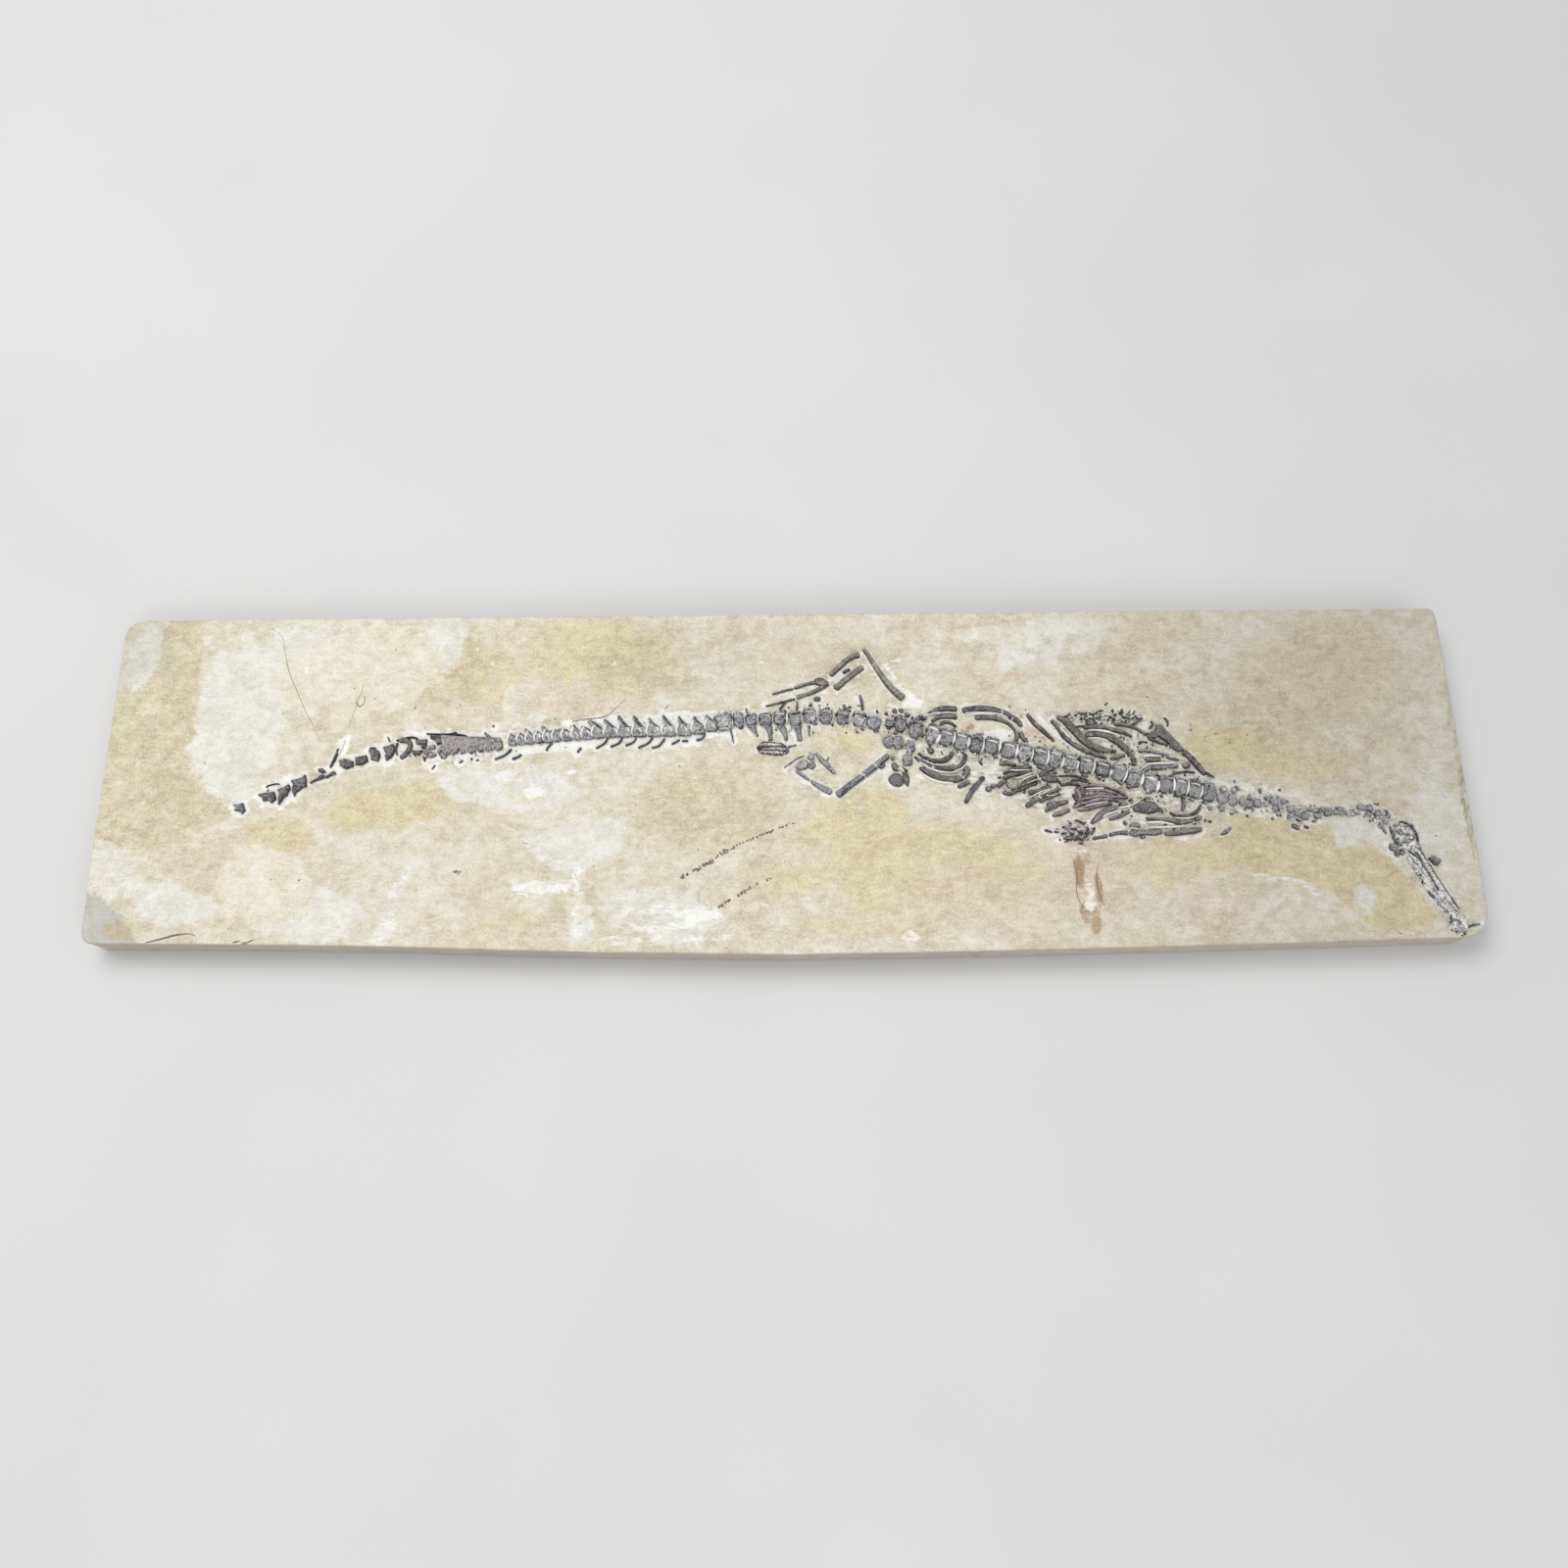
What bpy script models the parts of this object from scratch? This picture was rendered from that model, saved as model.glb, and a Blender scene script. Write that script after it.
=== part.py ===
"""Fossil skeleton of a small water reptile lying in low relief on its slab of limestone.

The slab lies flat with its worked face up. X runs from the tail to the head, Y from the front
edge to the back edge and Z up. Plan positions in the tables below are millimetres from the
middle of the slab's face; the model itself is in metres.
"""

import math

import bmesh
import bpy
from mathutils import Vector

MM = 0.001

# Slab: the corners of its face in plan, the radius of each, and the bow of its front edge.
BACK_LEFT = (-401.0, 102.2)
BACK_RIGHT = (398.8, 102.2)
FRONT_RIGHT = (401.0, -98.5)
FRONT_LEFT = (-399.2, -98.5)
CORNER_RADII = (11.0, 5.0, 16.0, 7.0)
CORNER_STEPS = 5
FRONT_BOW = [(345, -100.2), (280, -102.0), (215, -103.4), (150, -104.8), (80, -106.0), (0, -106.8),
             (-85, -105.3), (-150, -103.8), (-220, -101.3), (-300, -99.8)]
SLAB_THICKNESS = 22.0
ARRIS = 1.2
ARRIS_ANGLE = 60.0
ARRIS_SEGMENTS = 2
FLAKE_DEPTH = 1.3
FLAKE_ARC = [(-410, -69.5), (-394, -70.5), (-386, -74.5), (-379, -81), (-373, -88.5), (-367.5, -95.5),
             (-364, -112), (-410, -112)]
EDGE_CHIPS = [(-98, -106.5, 13.0), (12, -108.6, 11.0), (-190, -103.8, 8.0), (262, -104.0, 7.0)]
CHIP_DEPTH = 2.4
CHIP_SLIMNESS = 0.32
CHIP_SEGMENTS = 12
CHIP_RINGS = 6
CUTTER_RISE = 5.0

# The middle of the slab's box lies this far behind the middle of its face's side edges.
FACE_OFFSET_Y = 2.3

# Bones lie on the face with this gap under them.
GAP = 0.3
BONE_FOOT = SLAB_THICKNESS + GAP

# A long bone's cross-section, as shares of its half width and its height: flat foot, round back.
ROUND_BACK = [(-1.0, 0.0), (-0.78, 0.72), (0.0, 1.0), (0.78, 0.72), (1.0, 0.0)]
HEIGHT_SHARE = 1.1
CURVE_STEPS = 2

# A vertebra's outline is an eight-sided rounded block; this is how much of it is round.
BLOCK_SQUARENESS = 0.55
SHOULDER_RISE = 0.62
CROWN_SHARE = 0.66
OVERLAP = 1.07

HEIGHT_VERTEBRA = 3.2
HEIGHT_FIN = 1.9
HEIGHT_PLATE = 2.2
HEIGHT_SKULL = 3.4
PLATE_INSET = 0.9

SLATE = (0.115, 0.112, 0.125)
BLACK = (0.035, 0.036, 0.040)
BROWN = (0.145, 0.118, 0.112)
OLIVE = (0.125, 0.122, 0.105)
PURPLE = (0.120, 0.098, 0.112)
STONE = (0.560, 0.500, 0.375)
BONE_ROUGHNESS = 0.55
STONE_ROUGHNESS = 0.8

# Vertebra runs: each row is the middle of one vertebra and half its depth.
TAIL_END = [(-300.5, -12.0, 2.8), (-291.0, -8.5, 2.8), (-282.0, -4.8, 3.0)]
TAIL_DARK = [(-255.5, 8.2, 3.2), (-246.5, 10.0, 3.2), (-238.5, 13.3, 3.8), (-230.5, 15.0, 4.6),
             (-222.5, 16.8, 5.3), (-213.5, 18.2, 5.0)]
TAIL_BROWN_START = (-203.9, 18.4, 5.6)
TAIL_BROWN_END = (-166.7, 19.8, 4.4)
TAIL_BROWN_COUNT = 7
TAIL_MIDDLE = [(-157.0, 20.5, 3.8), (-151.5, 21.0, 3.8), (-146.3, 21.5, 3.9), (-141.0, 22.0, 4.0),
               (-135.7, 22.5, 4.0), (-130.2, 23.2, 4.0), (-124.5, 23.8, 4.0), (-119.0, 24.3, 4.0),
               (-113.0, 25.0, 4.0), (-105.5, 25.9, 4.1), (-97.0, 26.2, 4.1), (-88.5, 26.5, 4.1),
               (-80.0, 26.8, 4.1), (-71.0, 27.0, 4.1), (-62.0, 27.6, 4.2), (-53.5, 28.2, 4.2),
               (-45.5, 29.8, 4.2), (-38.0, 31.6, 4.2)]
TAIL_ROOT = [(-29.6, 32.3, 4.4), (-22.5, 33.0, 4.3), (-14.8, 34.3, 4.3), (-6.0, 33.7, 4.3),
             (2.5, 34.0, 4.4),
             (11.5, 34.0, 4.5), (20.5, 35.3, 4.4), (30.0, 35.0, 4.5), (40.0, 34.2, 4.4), (49.5, 33.2, 4.5),
             (57.8, 31.2, 4.0)]
HIP_ROW = [(67.2, 30.3, 3.0), (73.4, 30.0, 4.6), (81.4, 27.3, 5.6)]
BACK_ROW = [(92.5, 24.0, 4.8), (100.0, 21.2, 5.0), (109.0, 19.0, 5.0), (117.8, 17.0, 5.0),
            (127.0, 16.0, 4.8),
            (137.0, 12.8, 4.8), (146.0, 11.0, 5.0), (155.0, 8.7, 5.2), (163.5, 7.2, 4.8), (172.5, 5.0, 4.6),
            (181.5, 3.0, 4.8), (191.0, 0.7, 5.0), (200.0, -1.4, 5.0), (208.8, -5.0, 4.8), (218.0, -8.3, 4.8),
            (227.0, -9.2, 4.8), (235.0, -10.2, 5.2), (243.2, -12.0, 5.2), (251.2, -13.6, 5.2)]
NECK_ROW = [(259.6, -17.6, 5.2), (265.5, -19.0, 5.0), (271.3, -20.8, 4.2), (277.2, -21.3, 3.6),
            (283.2, -20.6, 3.5), (289.2, -19.9, 3.5), (294.6, -23.2, 3.4), (300.0, -25.8, 3.4),
            (305.8, -26.6, 3.4), (311.8, -27.1, 3.2), (317.6, -27.6, 2.8), (323.0, -26.2, 2.6),
            (328.5, -25.1, 2.6), (333.7, -24.1, 2.6), (338.6, -23.8, 2.6), (343.0, -24.9, 2.6),
            (346.3, -28.2, 2.6), (348.8, -31.6, 2.5)]

# Spine tips and chevrons of the middle tail; each fin is its tip and the middle of its foot.
SPINE_TIPS = [(-112.5, 34.5), (-102.5, 34.5), (-94.5, 37.0), (-85.5, 37.0), (-76.0, 35.2), (-68.0, 37.0),
              (-58.5, 36.0), (-49.0, 35.5)]
SPINE_FOOT = (4.4, -6.6)
SPINE_HALF_FOOT = 3.0
CHEVRONS = [(-167.0, 10.0, -156.0, 18.0), (-136.5, 15.0, -134.0, 21.0), (-118.0, 14.0, -114.5, 22.5),
            (-107.0, 16.5, -100.0, 24.0), (-98.5, 17.3, -91.5, 24.5), (-89.5, 18.0, -83.0, 24.0),
            (-82.0, 16.5, -73.0, 24.0), (-73.5, 16.5, -66.0, 24.0), (-62.0, 18.5, -56.0, 25.0),
            (-47.5, 21.5, -43.0, 27.0)]
END_CHEVRONS = [(-292.5, -16.5, -292.0, -9.0), (-284.0, -11.5, -283.5, -6.0), (-279.0, 1.2, -279.5, -4.0)]
CHEVRON_HALF_WIDTH = 0.9
CHEVRON_HALF_TIP = 0.45
ROOT_RIBS = [(-10.8, 23.0, -15.0, 32.0), (-3.2, 21.8, -6.0, 32.0), (6.4, 20.8, 2.5, 32.0),
             (14.4, 20.0, 12.0, 32.0)]
ROOT_RIB_HALF_WIDTH = 1.5
ROOT_RIB_HALF_TIP = 1.0

# Long bones: a path in plan, then the half width at its start, middle and end, and its height.
LONG_BONES = {
    "rib_back_1": (SLATE, [(90, 36), (95, 38.5), (100, 39.5), (107.5, 39.3)], (1.0, 1.8, 1.8), 2.8),
    "rib_back_2": (SLATE, [(111, 38.6), (120, 39.5), (130, 38.4), (139, 34.5), (143.3, 31.2),
                           (145.6, 28.3)],
                   (1.7, 1.8, 1.2), 2.8),
    "rib_back_3": (SLATE, [(92.2, 32.2), (95.5, 34), (101, 34.5), (107.5, 34)], (0.9, 1.5, 1.5), 2.4),
    "rib_back_4": (SLATE, [(118, 34), (125, 33.6), (132, 33), (137, 30.8), (140.6, 27.3), (142, 23),
                           (141, 19.6)],
                   (1.4, 1.5, 1.1), 2.4),
    "rib_back_5": (BROWN, [(149, 35.5), (153, 30), (158, 25), (163, 20)], (1.1, 1.4, 1.0), 2.4),
    "rib_back_6": (SLATE, [(163, 32), (167, 27), (170, 22), (175, 17), (181, 13), (188, 10), (194, 8)],
                   (1.2, 1.6, 1.1), 2.6),
    "rib_back_7": (SLATE, [(166.5, 34), (171.5, 31), (176.5, 25), (181, 19.6), (186, 15.4), (192, 12.6),
                           (200, 12)],
                   (1.6, 2.3, 1.0), 2.8),
    "rib_back_8": (SLATE, [(185, 22.8), (190, 22.4), (195, 21), (201, 18), (206, 13), (209, 8), (210, 3)],
                   (1.4, 1.9, 1.2), 2.8),
    "rib_back_9": (SLATE, [(181.5, 27.4), (190, 27.2), (197, 26), (204, 24), (210, 21)],
                   (0.9, 1.3, 0.9), 2.2),
    "rib_back_10": (SLATE, [(212.6, 12), (219, 12.4), (226, 10), (231, 7.7), (236, 6.4)],
                    (0.9, 1.0, 0.7), 1.8),
    "rib_back_11": (SLATE, [(214, 0), (220, 1.5), (228, 2), (235.5, 2.8)], (1.0, 1.3, 0.9), 2.0),
    "rib_front_1": (SLATE, [(84, 11.8), (88, 8.8), (93, 7.2), (98, 7.2), (102, 9), (104, 12.3)],
                    (0.8, 1.4, 1.2), 2.4),
    "rib_front_2": (SLATE, [(82.8, 9.2), (86, 6), (91, 3.1), (97, 1.9), (103, 2), (108, 4), (111, 8),
                            (111.8, 10.5)],
                    (0.8, 1.3, 1.0), 2.4),
    "rib_front_3": (SLATE, [(84.2, 3), (88, 0.3), (93, -2.2), (98, -4), (104, -4.5), (109, -3),
                            (112.6, 0.6)],
                    (1.0, 2.0, 1.6), 2.8),
    "rib_front_4": (SLATE, [(110, -19), (114, -12), (118, -7), (122, -3)], (1.2, 1.6, 1.0), 2.6),
    "rib_front_5": (SLATE, [(133, -0.8), (138, 1.5), (145, 2.6), (150, 2.7)], (0.9, 1.4, 1.1), 2.4),
    "rib_front_6": (OLIVE, [(145, -21.5), (151, -17.2), (158, -13.3), (166, -10.4)], (1.3, 1.5, 1.0), 2.6),
    "rib_front_7": (PURPLE, [(160, -27), (166, -25), (170.4, -23.2)], (1.0, 1.5, 1.1), 2.4),
    "rib_front_8": (SLATE, [(181.8, -31.6), (185, -29.3), (188.4, -26.2), (193, -23.4), (197.6, -22)],
                     (0.9, 1.9, 1.0), 2.6),
    "rib_front_9": (SLATE, [(193, -29), (199, -27.4), (205, -24.2)], (0.9, 1.3, 1.0), 2.2),
    "rib_front_10": (SLATE, [(227.5, -25.5), (231, -27.2), (236, -27.8), (240, -26.8), (244, -24.5),
                             (246.3, -21)], (0.7, 1.0, 0.7), 1.8),
    "forearm_1": (SLATE, [(214, -29.5), (221, -29.5), (227, -30), (234, -31.5), (240, -30.4)],
                  (0.9, 1.3, 0.9), 2.2),
    "forearm_2": (SLATE, [(204.2, -37.6), (212, -37.5), (221, -37)], (1.3, 1.4, 1.5), 2.6),
    "forearm_3": (SLATE, [(226, -38.3), (233, -37.5), (240, -36.5), (245.5, -35.5)], (1.5, 1.5, 1.9), 2.8),
    "wrist_1": (SLATE, [(183.2, -40.4), (187, -39.6), (190.5, -39)], (1.0, 0.8, 1.0), 1.8),
    "wrist_2": (SLATE, [(192, -38.8), (197, -37.3), (202.4, -37)], (1.0, 1.0, 1.2), 2.0),
    "thigh_back": (OLIVE, [(53, 78.5), (57, 72), (61, 65), (66, 57), (71, 51), (76, 46.5)],
                   (1.4, 1.5, 2.3), 3.0),
    "shin_back_1": (OLIVE, [(50, 75), (45, 73), (40, 69), (36, 65), (32.8, 61.8)], (2.0, 1.6, 1.4), 2.8),
    "shin_back_2": (OLIVE, [(52, 67), (47, 63), (41, 58), (35, 53)], (1.9, 1.8, 2.1), 2.8),
    "thigh_front": (SLATE, [(66, 10.5), (60, 5.5), (55, 1.5), (50, -2.5), (44, -7), (38, -12), (35.6, -14)],
                    (1.7, 1.8, 2.2), 3.0),
    "shin_front_1": (SLATE, [(12, 1.5), (18, -3), (24, -7), (30.8, -10.8)], (1.2, 1.3, 1.7), 2.6),
    "shin_front_2": (SLATE, [(34.5, 0), (31, 4), (27, 8), (24, 12)], (1.2, 1.5, 1.4), 2.6),
    "tail_spine_long": (BLACK, [(-265, 6.2), (-263.5, 10.5), (-261.5, 18)], (0.7, 0.9, 1.5), 1.8),
}

# Groups of rods that touch: their paths and half widths, and the plates among them.
PRESSED_RIBS = [([(178, -9.8), (185, -9.2), (192, -9.8), (198, -12), (202, -14.5), (204, -17)],
                 (0.9, 1.1, 0.8)),
                ([(176, -13.2), (188, -12.7), (194, -13.5), (201, -15)], (1.0, 1.2, 0.9)),
                ([(176, -17.8), (182, -16.5), (188, -15.6), (194, -16), (203, -16.6)], (1.0, 1.2, 0.9)),
                ([(174.5, -21), (178, -20), (185, -18.6), (192, -17.6), (198, -18.1)], (0.9, 1.1, 0.8)),
                ([(175.5, -23.8), (182, -22.6), (188, -21), (194, -20)], (0.9, 1.1, 0.8))]
PRESSED_MASS = [(174, -12), (177, -9), (181, -8.6), (184, -12), (184, -18), (181, -23.4),
                (176.5, -22.6), (173, -18)]
FOOT_BACK_RAYS = [([(26, 57.2), (15, 55), (8, 52.5), (2, 51), (-2, 50)], (1.4, 1.2, 0.7)),
                  ([(29, 55.6), (25, 52.4), (18, 49.5), (12, 47.3), (5, 45), (-6, 42)], (1.3, 1.2, 0.6))]
FOOT_BACK_ANKLE = [(23.5, 57), (26, 60), (29.4, 59.4), (31, 56), (28, 53.4), (25, 54.4)]
FOOT_FRONT_RAYS = [([(-8, 18.2), (-2, 18.1), (3, 17.9)], (1.0, 1.7, 1.4)),
                   ([(-12, 15.4), (-2, 15.2), (6, 15)], (1.0, 1.7, 1.5)),
                   ([(-8, 12.6), (-2, 12.3), (4, 12)], (1.0, 1.7, 1.4))]
TAIL_THIN_RODS = [([(-276.6, -3.2), (-271, -0.4), (-266, 1.2), (-261.4, 3.4)], (0.7, 1.2, 1.0)),
                  ([(-271.6, 3.8), (-268.6, 2.2), (-266.4, 0.6)], (1.0, 1.5, 1.0))]
ANKLE_FRONT = [(15.8, 4.4, 3.0), (20.8, 4.8, 3.0), (20.0, 9.6, 2.4)]
HAND_LUMPS = [(168.0, -36.5, 2.8), (172.0, -33.0, 3.0), (172.6, -38.0, 3.4), (176.6, -35.0, 3.2),
              (177.2, -39.4, 2.8)]

# Plates: an outline in plan, a height and a colour.
PLATES = {
    "skull": (SLATE, [(355, -38), (358, -33), (362.5, -33), (366, -37), (367.4, -46), (369.5, -53),
                      (373, -60), (377, -69), (382, -79), (385, -84.4), (381.8, -84.6), (377, -77),
                      (372, -67.5), (368, -59), (364.4, -53), (358.5, -50), (354.8, -45)], HEIGHT_SKULL),
    "lower_jaw": (SLATE, [(358.6, -51.6), (363.4, -54.4), (367.2, -60), (371.2, -68), (376.2, -77.8),
                          (380.8, -85.6), (388, -87), (389, -92), (386.5, -96), (382, -96.4), (379.4, -92),
                          (378, -86), (374, -80), (369, -74), (365.6, -67), (365, -62), (361, -56)],
                  HEIGHT_PLATE),
    "shoulder_blade": (BLACK, [(218.6, 20.6), (220, 23), (223.5, 25), (224.5, 28.5), (228, 28.5), (230, 25),
                               (233.5, 21), (236.5, 16.5), (240, 12.5), (237, 11.5), (233, 14), (230, 16.5),
                               (226, 20)], HEIGHT_PLATE),
    "shoulder_bone": (SLATE, [(243.5, 9.5), (241, 6.5), (243, 5), (245, 1), (248, -2), (250, -2), (249, 2),
                              (246.5, 6)], HEIGHT_PLATE),
    "upper_arm": (BLACK, [(208, -21.5), (212, -20), (219, -19), (222, -20.5), (224, -24), (221, -26.5),
                          (217, -26), (209, -25.4)], HEIGHT_PLATE),
    "belly_plate_1": (OLIVE, [(134.4, -7.6), (136, -4.8), (140, -4.6), (141.6, -7.6), (140, -10.8),
                              (136, -10.8)],
                      HEIGHT_FIN),
    "belly_plate_2": (SLATE, [(155.5, -1.6), (164, -1.6), (165, -5), (160.4, -6.8), (156, -6)], HEIGHT_FIN),
    "hip_blade": (SLATE, [(64, 22), (70, 23.5), (74.5, 22), (75, 19), (71.5, 13.8), (68, 15), (63, 16)],
                  HEIGHT_PLATE),
    "hip_shaft": (SLATE, [(76.5, 19), (80, 19.2), (83, 16), (80.5, 11), (80.5, 7), (78, 4.5), (74, 5),
                          (74, 9),
                          (77, 14)], HEIGHT_PLATE),
    "tail_tip": (SLATE, [(-320, -17), (-314, -16), (-311.5, -18.5), (-312, -21.5), (-316, -22),
                         (-319.5, -20.6),
                         (-317.4, -19)], HEIGHT_FIN),
}
HIP_BALL = (70.5, -4.6, 4.2)
HIP_BAR = [(73.6, 1), (77.6, -0.6), (78.2, -5), (77.5, -9.5), (74, -6.5)]


def clear_scene():
    """Removes every object that the scene starts with."""
    for old in list(bpy.data.objects):
        bpy.data.objects.remove(old, do_unlink=True)


def finish(name, colour, roughness):
    """Makes one plain finish, or returns it if it exists."""
    found = bpy.data.materials.get(name)
    if found:
        return found
    made = bpy.data.materials.new(name)
    made.use_nodes = True
    shader = made.node_tree.nodes["Principled BSDF"]
    shader.inputs["Base Color"].default_value = (*colour, 1.0)
    shader.inputs["Roughness"].default_value = roughness
    shader.inputs["Metallic"].default_value = 0.0
    return made


def bone_finish(colour):
    """Returns the finish of a bone of the given colour."""
    names = {SLATE: "bone_slate", BLACK: "bone_black", BROWN: "bone_brown", OLIVE: "bone_olive",
             PURPLE: "bone_purple"}
    return finish(names[colour], colour, BONE_ROUGHNESS)


def place(name, data, material, frame):
    """Puts mesh or curve data in the scene as a named object under the slab's frame."""
    piece = bpy.data.objects.new(name, data)
    bpy.context.scene.collection.objects.link(piece)
    piece.parent = frame
    if material:
        data.materials.append(material)
    return piece


def as_guide(piece):
    """Marks a piece as a cutter or guide that isn't part of the object."""
    piece.hide_render = True
    piece.display_type = "WIRE"
    return piece


def add_boolean(piece, operation, other):
    """Adds an exact Boolean modifier with an object or a collection as its operand."""
    cut = piece.modifiers.new(operation.lower(), "BOOLEAN")
    cut.operation = operation
    cut.solver = "EXACT"
    if isinstance(other, bpy.types.Collection):
        cut.operand_type = "COLLECTION"
        cut.collection = other
    else:
        cut.object = other


def prism(name, outline, low, high, inset=0.0):
    """Extrudes a plan outline from low to high, with its top edge drawn in by inset."""
    work = bmesh.new()
    corners = [work.verts.new((x * MM, y * MM, low * MM)) for x, y in outline]
    foot = work.faces.new(corners)
    foot.normal_update()
    if foot.normal.z > 0:
        foot.normal_flip()
    grown = bmesh.ops.extrude_face_region(work, geom=[foot])
    top_corners = [item for item in grown["geom"] if isinstance(item, bmesh.types.BMVert)]
    top = next(item for item in grown["geom"] if isinstance(item, bmesh.types.BMFace))
    shoulder = (high - low) * (SHOULDER_RISE if inset else 1.0)
    bmesh.ops.translate(work, verts=top_corners, vec=Vector((0.0, 0.0, shoulder * MM)))
    if inset:
        bmesh.ops.inset_individual(work, faces=[top], thickness=inset * MM, depth=0.0)
        lift = Vector((0.0, 0.0, (high - low - shoulder) * MM))
        bmesh.ops.translate(work, verts=list(top.verts), vec=lift)
    bmesh.ops.recalc_face_normals(work, faces=list(work.faces))
    mesh = bpy.data.meshes.new(name)
    work.to_mesh(mesh)
    work.free()
    return mesh


def arc_corner(before, corner, after, radius):
    """Returns the points of a rounded corner between two straight edges."""
    tip = Vector(corner)
    into = (Vector(before) - tip).normalized()
    out = (Vector(after) - tip).normalized()
    half = into.angle(out) / 2
    centre = tip + (into + out).normalized() * radius / math.sin(half)
    start = tip + into * radius / math.tan(half) - centre
    end = tip + out * radius / math.tan(half) - centre
    sweep = start.angle_signed(end)
    points = []
    for step in range(CORNER_STEPS + 1):
        turn = -sweep * step / CORNER_STEPS
        x = start.x * math.cos(turn) - start.y * math.sin(turn)
        y = start.x * math.sin(turn) + start.y * math.cos(turn)
        points.append((centre.x + x, centre.y + y))
    return points


def slab_outline():
    """Gives the slab's plan outline: four rounded corners and a bowed front edge."""
    corners = [BACK_LEFT, BACK_RIGHT, FRONT_RIGHT, FRONT_LEFT]
    outline = []
    for index, corner in enumerate(corners):
        before = corners[index - 1]
        after = corners[(index + 1) % len(corners)]
        outline += arc_corner(before, corner, after, CORNER_RADII[index])
        if corner is FRONT_RIGHT:
            outline += FRONT_BOW
    return outline


def make_slab(frame):
    """Makes the stone: a thick plate with soft edges, a flake gone at one corner and chips in front."""
    mesh = prism("stone_slab", slab_outline(), 0.0, SLAB_THICKNESS)
    slab = place("stone_slab", mesh, finish("limestone", STONE, STONE_ROUGHNESS), frame)
    arris = slab.modifiers.new("arris", "BEVEL")
    arris.width = ARRIS * MM
    arris.segments = ARRIS_SEGMENTS
    arris.limit_method = "ANGLE"
    arris.angle_limit = math.radians(ARRIS_ANGLE)
    flake_low = SLAB_THICKNESS - FLAKE_DEPTH
    flake = prism("flake_cutter", FLAKE_ARC, flake_low, SLAB_THICKNESS + CUTTER_RISE)
    add_boolean(slab, "DIFFERENCE", as_guide(place("flake_cutter", flake, None, frame)))
    for number, (x, y, radius) in enumerate(EDGE_CHIPS, 1):
        chip = bpy.data.meshes.new(f"chip_cutter_{number}")
        work = bmesh.new()
        bmesh.ops.create_uvsphere(work, u_segments=CHIP_SEGMENTS, v_segments=CHIP_RINGS, radius=radius * MM)
        bmesh.ops.scale(work, vec=(1.0, CHIP_SLIMNESS, CHIP_DEPTH / radius), verts=list(work.verts))
        work.to_mesh(chip)
        work.free()
        cutter = place(f"chip_cutter_{number}", chip, None, frame)
        cutter.location = (x * MM, y * MM, SLAB_THICKNESS * MM)
        add_boolean(slab, "DIFFERENCE", as_guide(cutter))


def profile_curve(name, frame):
    """Makes the closed cross-section that long bones are swept with, one millimetre half width."""
    data = bpy.data.curves.new(name, "CURVE")
    data.dimensions = "2D"
    line = data.splines.new("POLY")
    line.points.add(len(ROUND_BACK) - 1)
    for point, (across, up) in zip(line.points, ROUND_BACK):
        point.co = (across * MM, up * HEIGHT_SHARE * MM, 0.0, 1.0)
    line.use_cyclic_u = True
    return as_guide(place(name, data, None, frame))


def rod_curve(name, path, half_widths, profile, foot=BONE_FOOT):
    """Sweeps the bone section along a smooth path in plan, with its half width set along it."""
    data = bpy.data.curves.new(name, "CURVE")
    data.dimensions = "3D"
    data.twist_mode = "Z_UP"
    data.bevel_mode = "OBJECT"
    data.bevel_object = profile
    data.use_fill_caps = True
    data.resolution_u = CURVE_STEPS
    data.render_resolution_u = 0
    line = data.splines.new("BEZIER")
    line.bezier_points.add(len(path) - 1)
    start, middle, end = half_widths
    for index, (point, (x, y)) in enumerate(zip(line.bezier_points, path)):
        share = index / (len(path) - 1)
        point.co = (x * MM, y * MM, foot * MM)
        point.handle_left_type = "AUTO"
        point.handle_right_type = "AUTO"
        if share < 0.5:
            point.radius = start + (middle - start) * share * 2
        else:
            point.radius = middle + (end - middle) * (share * 2 - 1)
    return data


def make_long_bones(frame, profile):
    """Makes every rib and limb bone that lies apart from the others."""
    for name, (colour, path, half_widths, height) in LONG_BONES.items():
        data = rod_curve(name, path, half_widths, profile)
        bone = place(name, data, bone_finish(colour), frame)
        tallest = max(half_widths) * HEIGHT_SHARE
        stretch = height / tallest
        bone.scale.z = stretch
        bone.location.z = BONE_FOOT * MM * (1 - stretch)


def make_plates(frame):
    """Makes the flat bones: skull, jaw, blades and plates."""
    for name, (colour, outline, height) in PLATES.items():
        mesh = prism(name, outline, BONE_FOOT, BONE_FOOT + height, PLATE_INSET)
        place(name, mesh, bone_finish(colour), frame)


def block_mesh(name, middle, half_length, half_depth, turn, height):
    """Makes one vertebra or lump: an eight-sided rounded block whose crown is drawn in."""
    x, y = middle
    corner = half_length * BLOCK_SQUARENESS, half_depth * BLOCK_SQUARENESS
    flat = [(half_length, -corner[1]), (half_length, corner[1]), (corner[0], half_depth),
            (-corner[0], half_depth),
            (-half_length, corner[1]), (-half_length, -corner[1]), (-corner[0], -half_depth),
            (corner[0], -half_depth)]
    outline = []
    for across, up in flat:
        outline.append((x + across * math.cos(turn) - up * math.sin(turn),
                        y + across * math.sin(turn) + up * math.cos(turn)))
    inset = min(half_length, half_depth) * (1 - CROWN_SHARE)
    return prism(name, outline, BONE_FOOT, BONE_FOOT + height, inset)


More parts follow.
